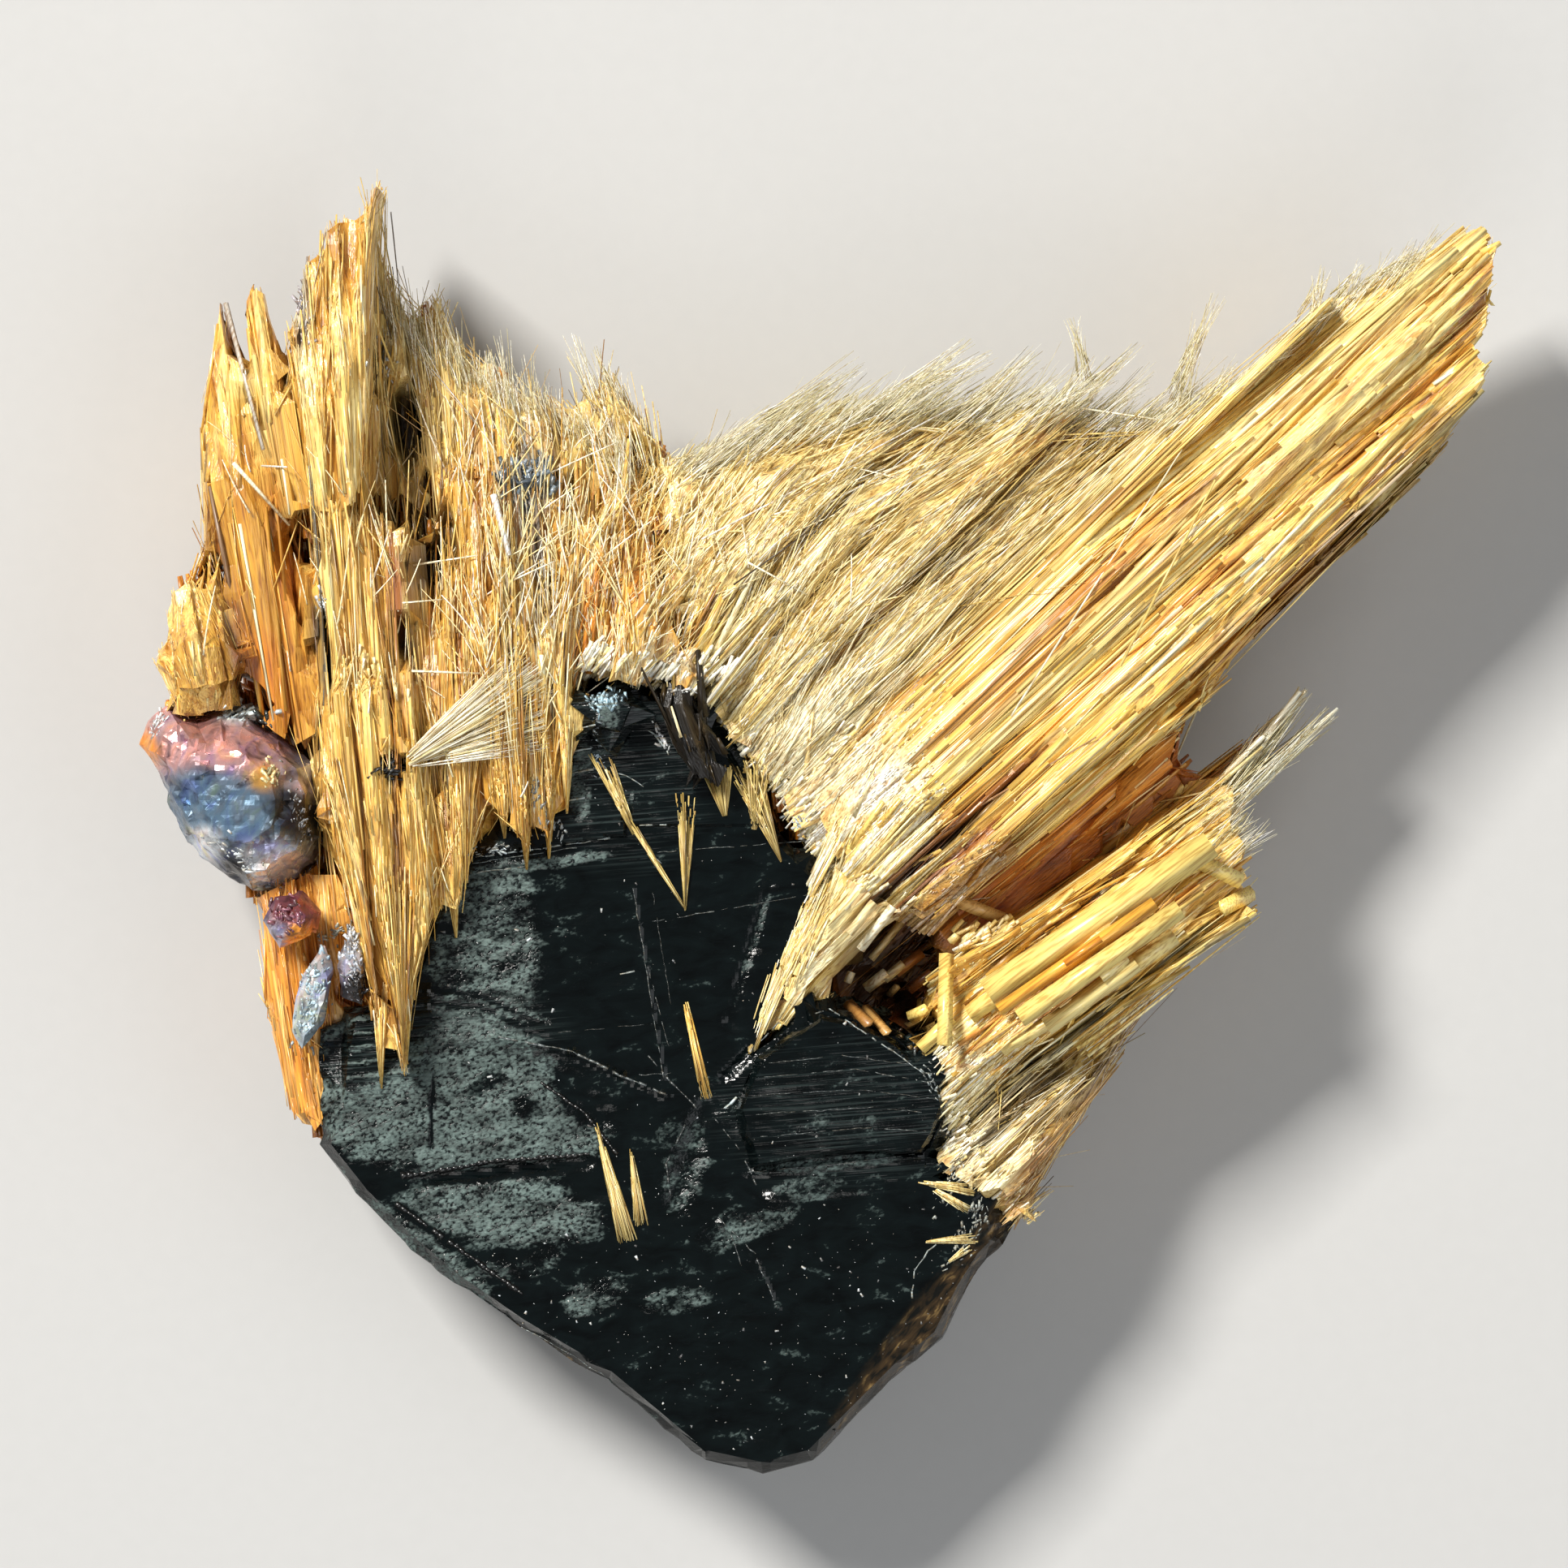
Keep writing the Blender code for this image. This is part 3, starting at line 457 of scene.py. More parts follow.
class Shader:
    """A Principled material being made, with a short call for each kind of node."""

    def __init__(self, name: str) -> None:
        """Start a material.

        Args:
            name: The material's name.
        """
        self.material = bpy.data.materials.new(name)
        self.material.use_nodes = True
        self.nodes = self.material.node_tree.nodes
        self.links = self.material.node_tree.links
        self.principled = self.nodes["Principled BSDF"]

    def set(self, **values: float | Colour) -> None:
        """Set sockets of the Principled node, spaces written as underscores."""
        for name, value in values.items():
            self.principled.inputs[name.replace("_", " ")].default_value = value

    def feed(self, socket: str, output: bpy.types.NodeSocket) -> None:
        """Link an output to a socket of the Principled node."""
        self.links.new(output, self.principled.inputs[socket])

    def node(self, kind: str, feeds: dict, **settings: object) -> bpy.types.Node:
        """Add a node.

        Args:
            kind: The node's type, without the words ShaderNode.
            feeds: Values or outputs for its inputs, by name or number.
            settings: The node's own properties.

        Returns:
            The new node.
        """
        made = self.nodes.new("ShaderNode" + kind)
        for name, value in settings.items():
            setattr(made, name, value)
        for name, value in feeds.items():
            if isinstance(value, bpy.types.NodeSocket):
                self.links.new(value, made.inputs[name])
            else:
                made.inputs[name].default_value = value
        return made

    def places(self, turn: float, grain: Place) -> bpy.types.NodeSocket:
        """Give Object coordinates turned along a direction and counted in grains.

        Args:
            turn: Degrees above the X axis of the long side of the grains.
            grain: Size of a grain along, across and up, in millimetres.

        Returns:
            The vector output.
        """
        coordinates = self.node("TexCoord", {})
        mapping = self.node(
            "Mapping",
            {
                "Vector": coordinates.outputs["Object"],
                "Rotation": (0.0, 0.0, math.radians(turn)),
                "Scale": tuple(size * METRES for size in grain),
            },
            vector_type="TEXTURE",
        )
        return mapping.outputs[0]

    def clouds(
        self, vector: bpy.types.NodeSocket, detail: float = 3.0, twist: float = 0.0
    ) -> bpy.types.NodeSocket:
        """Give a noise of one grain to the unit.

        Args:
            vector: Where the noise is read.
            detail: Layers of finer noise.
            twist: How much the noise is bent.

        Returns:
            The grey value output.
        """
        feeds = {"Vector": vector, "Scale": 1.0, "Detail": detail, "Distortion": twist}
        return self.node("TexNoise", feeds).outputs[0]

    def ramp(
        self, value: bpy.types.NodeSocket, stops: tuple[tuple[float, Colour], ...]
    ) -> bpy.types.NodeSocket:
        """Turn a value into colours.

        Args:
            value: The grey value.
            stops: Pairs of place and colour, in rising order.

        Returns:
            The colour output.
        """
        made = self.node("ValToRGB", {0: value})
        elements = made.color_ramp.elements
        elements[0].position, elements[1].position = stops[0][0], stops[-1][0]
        elements[0].color = (*stops[0][1], 1.0)
        elements[1].color = (*stops[-1][1], 1.0)
        for place, colour in stops[1:-1]:
            elements.new(place).color = (*colour, 1.0)
        return made.outputs[0]

    def levels(
        self, value: bpy.types.NodeSocket, before: Flat, after: Flat
    ) -> bpy.types.NodeSocket:
        """Stretch a value from one range to another and keep it inside.

        Args:
            value: The grey value.
            before: Lowest and highest value that counts.
            after: What these two become.

        Returns:
            The new value.
        """
        feeds = {0: value, 1: before[0], 2: before[1], 3: after[0], 4: after[1]}
        return self.node("MapRange", feeds).outputs[0]

    def count(
        self, operation: str, first: bpy.types.NodeSocket, second: object
    ) -> bpy.types.NodeSocket:
        """Work out one number from two, with one of the Math node's operations."""
        return self.node("Math", {0: first, 1: second}, operation=operation).outputs[0]

    def mix(
        self,
        share: object,
        first: object,
        second: object,
        blend: str = "MIX",
    ) -> bpy.types.NodeSocket:
        """Mix two colours.

        Args:
            share: How much of the second shows.
            first: The colour below.
            second: The colour on top.
            blend: How the second is laid on the first.

        Returns:
            The colour output.
        """
        made = self.node("Mix", {0: share}, data_type="RGBA", blend_type=blend)
        for socket, value in ((made.inputs[6], first), (made.inputs[7], second)):
            if isinstance(value, bpy.types.NodeSocket):
                self.links.new(value, socket)
            else:
                socket.default_value = (*value, 1.0)
        return made.outputs[2]

    def painted(self, name: str) -> bpy.types.Node:
        """Read a colour or value that is stored on the mesh."""
        return self.node("Attribute", {}, attribute_name=name)

    def relief(
        self, height: bpy.types.NodeSocket, depth: float, strength: float = 1.0,
        below: bpy.types.NodeSocket | None = None,
    ) -> bpy.types.NodeSocket:
        """Add bump.

        Args:
            height: The grey height.
            depth: Its full depth in millimetres.
            strength: How much of it shows.
            below: A coarser bump that this one lies on.

        Returns:
            The normal output.
        """
        feeds = {"Height": height, "Distance": depth * METRES, "Strength": strength}
        if below is not None:
            feeds["Normal"] = below
        return self.node("Bump", feeds).outputs[0]


@dataclass(frozen=True)
class RutileFinish:
    """Rutile coloured on the mesh; fibre stripes go from painted shade to painted glints."""

    name: str
    turn: float
    roughness: float = 0.34
    depth: float = 0.03
    ior: float = 1.75

    def material(self) -> bpy.types.Material:
        """Make the material and return it."""
        shader = Shader(self.name)
        fine = shader.clouds(shader.places(self.turn, (2.6, 0.045, 0.045)), 2.0)
        broad = shader.clouds(shader.places(self.turn, (6.0, 0.22, 0.22)), 1.0)
        grain_shade_and_glints = shader.ramp(
            fine,
            (
                (0.30, (0.50, 0.36, 0.26)),
                (0.44, (0.90, 0.84, 0.74)),
                (0.58, (1.04, 1.03, 1.0)),
                (0.74, (1.24, 1.34, 1.60)),
            ),
        )
        bands = shader.ramp(
            broad,
            ((0.30, (0.72, 0.55, 0.38)), (0.48, (1.0, 0.97, 0.92)), (0.68, (1.10, 1.14, 1.2))),
        )
        colour = shader.mix(1.0, shader.painted("tint").outputs["Color"], grain_shade_and_glints, "MULTIPLY")
        shader.feed("Base Color", shader.mix(1.0, colour, bands, "MULTIPLY"))
        rough = (self.roughness + 0.14, self.roughness - 0.08)
        shader.feed("Roughness", shader.levels(fine, (0.3, 0.7), rough))
        shader.feed("Normal", shader.relief(fine, self.depth, 0.9))
        shader.set(IOR=self.ior)
        return shader.material


@dataclass(frozen=True)
class NeedleFinish:
    """A needle's own colour, with short darker stretches and bluish painted sheen."""

    name: str
    turn: float
    roughness: float = 0.3
    ior: float = 1.8

    def material(self) -> bpy.types.Material:
        """Make the material and return it."""
        shader = Shader(self.name)
        grain = shader.clouds(shader.places(self.turn, (0.9, 0.05, 0.05)), 1.0)
        shades = shader.ramp(
            grain, ((0.34, (0.70, 0.58, 0.46)), (0.5, (1.0, 1.0, 1.0)), (0.68, (1.16, 1.2, 1.3)))
        )
        tint = shader.painted("tint").outputs["Color"]
        shader.feed("Base Color", shader.mix(1.0, tint, shades, "MULTIPLY"))
        shader.feed("Roughness", shader.levels(grain, (0.3, 0.7), (0.42, self.roughness - 0.06)))
        shader.set(IOR=self.ior)
        return shader.material


@dataclass(frozen=True)
class HematiteFinish:
    """Black hematite: glossy where it is fresh and matte grey-green where it is etched."""

    name: str = "hematite_face"

    def material(self) -> bpy.types.Material:
        """Make the material and return it."""
        shader = Shader(self.name)
        etch = shader.painted("etch").outputs["Fac"]
        rust = shader.painted("rust").outputs["Fac"]
        grooved = shader.painted("groove").outputs["Fac"]
        grains = shader.clouds(shader.places(20.0, (0.10, 0.07, 0.08)), 3.0, 0.4)
        mottle = shader.clouds(shader.places(5.0, (0.8, 0.42, 0.5)), 4.0, 0.7)
        lines = shader.clouds(shader.places(4.5, (3.2, 0.05, 0.4)), 2.0)
        cracks = shader.clouds(shader.places(8.0, (1.3, 0.22, 0.4)), 3.0, 1.6)
        speckle = shader.levels(grains, (0.3, 0.7), (-0.11, 0.11))
        ragged = shader.count("ADD", etch, shader.levels(mottle, (0.3, 0.7), (-0.34, 0.34)))
        ragged = shader.count("ADD", ragged, speckle)
        matte = shader.levels(ragged, (0.26, 0.72), (0.0, 1.0))
        pits = shader.levels(grains, (0.38, 0.50), (0.0, 1.0))
        matte = shader.count("MULTIPLY", matte, shader.levels(pits, (0.0, 1.0), (0.2, 1.0)))
        line_mask = shader.count(
            "MULTIPLY", grooved, shader.levels(lines, (0.52, 0.66), (0.0, 1.0))
        )
        fresh = shader.ramp(
            mottle, ((0.3, (0.0006, 0.0013, 0.0014)), (0.7, (0.0028, 0.0056, 0.0060)))
        )
        chalky = shader.ramp(
            grains,
            (
                (0.34, (0.006, 0.010, 0.010)),
                (0.45, (0.055, 0.078, 0.073)),
                (0.70, (0.125, 0.170, 0.158)),
            ),
        )
        blotch = shader.ramp(mottle, ((0.32, (0.5, 0.5, 0.5)), (0.66, (1.35, 1.35, 1.35))))
        chalky = shader.mix(1.0, chalky, blotch, "MULTIPLY")
        colour = shader.mix(matte, fresh, chalky)
        colour = shader.mix(shader.count("MULTIPLY", line_mask, 0.5), colour, (0.05, 0.07, 0.068))
        seam = shader.levels(cracks, (0.485, 0.5), (0.0, 1.0))
        seam = shader.count("MULTIPLY", seam, shader.levels(cracks, (0.5, 0.515), (1.0, 0.0)))
        colour = shader.mix(shader.count("MULTIPLY", seam, 0.5), colour, (0.003, 0.005, 0.006))
        earthy = shader.ramp(
            shader.clouds(shader.places(50.0, (0.5, 0.16, 0.2)), 3.0, 0.5),
            (
                (0.38, (0.006, 0.006, 0.005)),
                (0.58, (0.04, 0.025, 0.012)),
                (0.72, (0.20, 0.13, 0.05)),
            ),
        )
        shader.feed("Base Color", shader.mix(rust, colour, earthy))
        shader.feed("Roughness", shader.levels(matte, (0.0, 1.0), (0.13, 0.62)))
        rough_part = shader.levels(etch, (-0.1, 0.5), (0.0, 0.9))
        normal = shader.relief(shader.count("MULTIPLY", lines, grooved), 0.05, 0.8)
        normal = shader.relief(shader.count("MULTIPLY", grains, rough_part), 0.035, 0.8, normal)
        shader.feed("Normal", normal)
        shader.set(IOR=1.36)
        return shader.material


@dataclass(frozen=True)
class IridescentFinish:
    """Tarnished hematite whose metal shines in the colours stored on the mesh."""

    name: str
    metal: float = 0.6
    grain: float = 0.35

    def material(self) -> bpy.types.Material:
        """Make the material and return it."""
        shader = Shader(self.name)
        fine = shader.clouds(shader.places(30.0, (self.grain,) * 3), 5.0, 0.6)
        broad = shader.clouds(shader.places(70.0, (0.9, 0.5, 0.6)), 3.0, 0.8)
        tint = shader.painted("tint").outputs["Color"]
        shades = shader.ramp(
            fine, ((0.30, (0.30, 0.28, 0.30)), (0.46, (0.95, 0.96, 0.98)), (0.70, (1.3, 1.3, 1.3)))
        )
        flush = shader.ramp(
            broad,
            (
                (0.36, (0.75, 0.72, 1.05)),
                (0.48, (1.0, 1.0, 1.0)),
                (0.58, (1.15, 0.95, 0.9)),
                (0.66, (1.2, 1.05, 0.7)),
            ),
        )
        colour = shader.mix(1.0, tint, shades, "MULTIPLY")
        shader.feed("Base Color", shader.mix(1.0, colour, flush, "MULTIPLY"))
        shader.feed("Roughness", shader.levels(fine, (0.3, 0.7), (0.42, 0.2)))
        shader.feed("Normal", shader.relief(fine, 0.02, 0.5, shader.relief(broad, 0.08, 0.4)))
        shader.set(Metallic=self.metal)
        return shader.material


@dataclass(frozen=True)
class FloorFinish:
    """Pale matte studio floor with a barely visible tooth."""

    colour: Colour = (0.50, 0.50, 0.495)

    def material(self) -> bpy.types.Material:
        """Make the material and return it."""
        shader = Shader("pale_floor")
        tooth = shader.clouds(shader.places(0.0, (0.4, 0.4, 0.4)), 2.0)
        low = tuple(part * 0.985 for part in self.colour)
        shader.feed("Base Color", shader.ramp(tooth, ((0.3, low), (0.7, self.colour))))
        shader.set(Roughness=0.75)
        return shader.material


def make_piece(
    name: str, mesh: bpy.types.Mesh, materials: list, nodes: tuple[str, ...] = ()
) -> bpy.types.Object:
    """Put a finished mesh in the scene as a piece of the specimen.

    Args:
        name: The piece's name.
        mesh: Its mesh, in metres.
        materials: Its materials, in the order of their numbers.
        nodes: CAD nodes that it stands for.

    Returns:
        The new object.
    """
    for material in materials:
        mesh.materials.append(material)
    piece = bpy.data.objects.new(name, mesh)
    bpy.context.scene.collection.objects.link(piece)
    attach(piece, "root")
    if nodes:
        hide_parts(*nodes)
    mesh.calc_loop_triangles()
    log.info("%s: %d triangles", name, len(mesh.loop_triangles))
    return piece


def node_shape(node: str) -> bmesh.types.BMesh:
    """Copy a CAD node's mesh.

    Args:
        node: The node's name.

    Returns:
        A merged copy in millimetres.
    """
    shape = bmesh.new()
    shape.from_mesh(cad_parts[node].data)
    bmesh.ops.scale(shape, vec=(1.0 / METRES,) * 3, verts=shape.verts)
    bmesh.ops.remove_doubles(shape, verts=shape.verts, dist=MERGE_GAP)
    shape.normal_update()
    return shape


def swell(shape: bmesh.types.BMesh, distance: float, stretch: float = 1.6) -> None:
    """Move every corner outwards, so that neighbours touch.

    Args:
        shape: The closed shape to change.
        distance: How far its faces move, in millimetres.
        stretch: How much further than its faces a sharp corner may move.
    """
    shape.normal_update()
    moves = [v.normal * distance * min(v.calc_shell_factor(), stretch) for v in shape.verts]
    for vert, move in zip(shape.verts, moves):
        vert.co += move


def slice_shape(shape: bmesh.types.BMesh, axis: Vector, gaps: tuple[float, ...]) -> None:
    """Cut a shape by parallel planes, for corners that relief can move.

    Args:
        shape: The shape to cut.
        axis: The planes' normal.
        gaps: Distances between planes, used in turn.
    """
    reach = [v.co.dot(axis) for v in shape.verts]
    place = min(reach) + gaps[0]
    turn = 0
    while place < max(reach):
        geometry = [*shape.verts, *shape.edges, *shape.faces]
        bmesh.ops.bisect_plane(
            shape, geom=geometry, dist=MERGE_GAP, plane_co=axis * place, plane_no=axis
        )
        turn += 1
        place += gaps[turn % len(gaps)]


def metric_mesh(shape: bmesh.types.BMesh, name: str) -> bpy.types.Mesh:
    """Turn a shape in millimetres into a mesh in metres, and free the shape.

    Args:
        shape: The finished shape.
        name: The mesh's name.

    Returns:
        The new mesh.
    """
    for vert in shape.verts:
        vert.co.z = max(vert.co.z, 0.0)
    bmesh.ops.triangulate(shape, faces=[f for f in shape.faces if len(f.verts) > 4])
    bmesh.ops.scale(shape, vec=(METRES,) * 3, verts=shape.verts)
    mesh = bpy.data.meshes.new(name)
    shape.to_mesh(mesh)
    shape.free()
    return mesh


def corners(mesh: bpy.types.Mesh) -> np.ndarray:
    """Read a mesh's corners.

    Args:
        mesh: The mesh, in metres.

    Returns:
        One row of x, y and z in millimetres for each corner.
    """
    flat = np.empty(len(mesh.vertices) * 3, dtype=np.float32)
    mesh.vertices.foreach_get("co", flat)
    return flat.reshape(-1, 3).astype(float) / METRES


def paint(mesh: bpy.types.Mesh, name: str, values: np.ndarray) -> None:
    """Store a colour or a value on each corner of a mesh.

    Args:
        mesh: The mesh.
        name: The attribute's name.
        values: One number or one colour a corner.
    """
    if values.ndim == 1:
        layer = mesh.attributes.new(name, "FLOAT", "POINT")
        layer.data.foreach_set("value", values.astype(np.float32))
        return
    layer = mesh.attributes.new(name, "FLOAT_COLOR", "POINT")
    full = np.concatenate([values, np.ones((len(values), 1))], axis=1)
    layer.data.foreach_set("color", full.astype(np.float32).ravel())


def headings(turns: np.ndarray, climb: np.ndarray) -> np.ndarray:
    """Turn angles into directions.

    Args:
        turns: Radians above the X axis.
        climb: How far each direction rises.

    Returns:
        One row of x, y and z for each angle.
    """
    return np.stack([np.cos(turns), np.sin(turns), climb], axis=1)


def rolled(count: int, roll: float, rng: np.random.Generator) -> np.ndarray:
    """Draw directions near straight up, for the flat sides of needles.

    Args:
        count: How many.
        roll: How far they stray from straight up.
        rng: The seeded random numbers.

    Returns:
        One row of x, y and z for each needle.
    """
    return rng.normal(0.0, roll, (count, 3)) + np.array(UP)


class NeedleShape:
    """A four-sided needle of unit length, repeated for every needle of a bundle."""

    def __init__(self, rings: int) -> None:
        """Model the needle once.

        Args:
            rings: Cuts between its ends, where it can bend.
        """
        shape = bmesh.new()
        bmesh.ops.create_cone(
            shape, cap_ends=True, segments=4, radius1=0.5, radius2=0.5, depth=1.0
        )
        bmesh.ops.translate(shape, vec=(0.0, 0.0, 0.5), verts=shape.verts)
        for ring in range(rings):
            geometry = [*shape.verts, *shape.edges, *shape.faces]
            bmesh.ops.bisect_plane(
                shape, geom=geometry, plane_co=UP * (ring + 1) / (rings + 1), plane_no=UP
            )
        shape.verts.index_update()
        self.verts = np.array([tuple(v.co) for v in shape.verts])
        self.quads = np.array([[v.index for v in f.verts] for f in shape.faces])
        shape.free()


STRAIGHT = NeedleShape(0)
BENT = NeedleShape(3)


@dataclass
class Bundle:
    """Needles gathered as rows of numbers, to be made one mesh."""

    shape: NeedleShape
    parts: list = field(default_factory=list)

    def add(
        self,
        starts: np.ndarray,
        ends: np.ndarray,
        widths: np.ndarray,
        colours: np.ndarray,
        ups: np.ndarray,
        flat: float = 1.0,
        tip: float = 0.5,
        bends: np.ndarray | None = None,
        taper_power: float = 1.5,
    ) -> None:
        """Add needles.

        Args:
            starts: Where each needle begins, in millimetres.
            ends: Where it ends.
            widths: Its width.
            colours: Its colour.
            ups: A direction across it that its flat side faces.
            flat: Its thickness as a share of its width.
            tip: Its width at the end as a share of the width at the start.
            bends: How far its end is bent aside.
            taper_power: How late along the needle it gets thinner.
        """
        if not len(starts):
            return
        lengths = np.linalg.norm(ends - starts, axis=1, keepdims=True)
        along = (ends - starts) / np.maximum(lengths, TINY)
        side = np.cross(along, ups)
        side /= np.maximum(np.linalg.norm(side, axis=1, keepdims=True), TINY)
        up = np.cross(side, along)
        unit = self.shape.verts
        reach = unit[:, 2]
        taper = 1.0 + (tip - 1.0) * reach**taper_power
        places = (
            starts[:, None, :]
            + (ends - starts)[:, None, :] * reach[None, :, None]
            + side[:, None, :] * (widths[:, None] * unit[:, 0] * taper)[:, :, None]
            + up[:, None, :] * (widths[:, None] * flat * unit[:, 1] * taper)[:, :, None]
        )
        if bends is not None:
            places += bends[:, None, :] * (reach**2)[None, :, None]
        shades = np.repeat(colours[:, None, :], len(unit), axis=1)
        self.parts.append((places.reshape(-1, 3), shades.reshape(-1, 3)))

    def mesh(self, name: str) -> bpy.types.Mesh:
        """Join the needles.

        Args:
            name: The mesh's name.

        Returns:
            One mesh in metres with the needles' colours on it.
        """
        places = np.concatenate([part[0] for part in self.parts])
        shades = np.concatenate([part[1] for part in self.parts])
        places[:, 2] = np.maximum(places[:, 2], 0.0)
        count = len(places) // len(self.shape.verts)
        offsets = np.arange(count)[:, None, None] * len(self.shape.verts)
        quads = (self.shape.quads[None, :, :] + offsets).reshape(-1, 4)
        made = bpy.data.meshes.new(name)
        made.vertices.add(len(places))
        made.vertices.foreach_set("co", (places * METRES).astype(np.float32).ravel())
        made.loops.add(quads.size)
        made.loops.foreach_set("vertex_index", quads.astype(np.int32).ravel())
        made.polygons.add(len(quads))
        starts = np.arange(0, quads.size, 4, dtype=np.int32)
        made.polygons.foreach_set("loop_start", starts)
        made.update(calc_edges=True)
        paint(made, "tint", shades)
        return made

    def place(
        self, name: str, finish: NeedleFinish, slot: Slot, nodes: tuple[str, ...] = ()
    ) -> None:
        """Put the needles in the scene as one piece.

        Args:
            name: The piece's name.
            finish: What the needles look like.
            slot: A slot of the record for the piece; not used.
            nodes: CAD nodes that it stands for.
        """
        make_piece(name, self.mesh(name), [finish.material()], nodes)


def surface(meshes: list) -> BVHTree:
    """Join meshes in metres into one surface in millimetres that can be searched.

    Args:
        meshes: The meshes.

    Returns:
        The surface, its faces in the order of the meshes.
    """
    places, faces = [], []
    for mesh in meshes:
        start = len(places)
        places.extend(map(tuple, corners(mesh)))
        faces.extend([start + i for i in p.vertices] for p in mesh.polygons)
    return BVHTree.FromPolygons(places, faces)


class Ground:
    """The finished bodies as one surface that needles are tested against."""

    def __init__(self, meshes: list) -> None:
        """Gather the surfaces.

        Args:
            meshes: Meshes in metres.
        """
        self.tree = surface(meshes)

    def distance(self, place: Vector) -> float:
        """Tell how far a place is from the surface, on either side.

        Args:
            place: The place in millimetres.

        Returns:
            The distance.
        """
        return self.tree.find_nearest(place)[3]

    def top(self, x: float, y: float, missing: float = 4.0) -> float:
        """Find the height of the topmost surface.

        Args:
            x: Place across, in millimetres.
            y: Place up the face.
            missing: The answer where there is no surface.

        Returns:
            The height.
        """
        hit, _, _, _ = self.tree.ray_cast(Vector((x, y, SKY)), -UP)
        return missing if hit is None else hit.z


@dataclass(frozen=True)
class HabitRule:
    """How needles lie: sizes in millimetres, stray and rise in degrees."""

    width: Flat
    length: Flat
    stray: float
    rise: float
    overhang: float
    stub: float
    flat: float
    crack: float


class Habit(Enum):
    """The ways in which the sheaves' needles lie."""

    BLADE = HabitRule((0.06, 0.30), (2.5, 8.0), 0.5, 0.3, 0.04, 0.03, 0.3, 0.7)
    GRAIN = HabitRule((0.035, 0.12), (1.0, 4.5), 0.7, 0.4, 0.05, 0.05, 0.4, 0.7)
    SPLINTER = HabitRule((0.04, 0.16), (1.2, 4.5), 1.2, 0.9, 0.08, 0.08, 0.5, 0.8)
    HAIR = HabitRule((0.028, 0.07), (1.4, 5.0), 2.4, 1.6, 0.22, 0.2, 0.8, 0.5)
    CHIP = HabitRule((0.05, 0.16), (0.3, 1.1), 4.0, 4.0, 0.04, 0.1, 0.6, 0.8)
    PLANK = HabitRule((0.07, 0.30), (1.5, 5.0), 0.8, 0.4, 0.05, 0.05, 0.35, 1.0)
    TANGLE = HabitRule((0.026, 0.065), (0.7, 2.8), 5.5, 3.0, 0.12, 0.12, 0.9, 0.5)


OPEN_AIR = (
    (-12.3, 12.0, 1.7), (10.6, 2.2, 2.0), (14.6, 11.5, 1.2), (-14.6, 4.5, 0.7),
)


def in_open_air(x: float, y: float) -> bool:
    """Tell whether a gap at this place stays open."""
    return any(math.hypot(x - px, y - py) < reach for px, py, reach in OPEN_AIR)


@dataclass
class Neighbours:
    """The CAD solids, for closing the narrow gaps between them."""

    level: float = 0.85
    shrink: float = 0.03
    share: float = 0.55
    overlap: float = 0.06
    swelling: float = 0.02
    clearance: float = 0.01

    def __post_init__(self) -> None:
        """Gather the solids' faces and remember whose they are."""
        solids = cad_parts
        self.tree = surface([thing.data for thing in solids.values()])
        self.owners = [name for name, thing in solids.items() for _ in thing.data.polygons]

    def gap(self, owner: str, place: Vector, heading: Vector, limit: float) -> float:
        """Measure the gap to the next solid.

        Args:
            owner: The CAD node that the place belongs to.
            place: A place on its surface, in millimetres.
            heading: The direction to look in.
            limit: The widest gap that counts.

        Returns:
            The gap, or 0 where no other solid is that near.
        """
        start = place + heading * self.clearance
        _, _, index, distance = self.tree.ray_cast(start, heading, limit)
        if index is None or self.owners[index] == owner:
            return 0.0
        return distance

    def closing(self, owner: str, vert: bmesh.types.BMVert, limit: float) -> Vector:
        """Find the move that takes a corner to the middle of a narrow gap beside it.

        Args:
            owner: The CAD node that the corner belongs to.
            vert: The corner, with its normal.
            limit: The widest gap that is closed.

        Returns:
            The move, in millimetres.
        """
        if in_open_air(vert.co.x, vert.co.y):
            return vert.normal * -self.shrink
        heading = vert.normal.copy()
        if abs(heading.z) < self.level:
            heading.z = 0.0
            heading.normalize()
        gap = self.gap(owner, vert.co, heading, limit)
        return heading * (gap * self.share + self.overlap if gap else self.swelling)


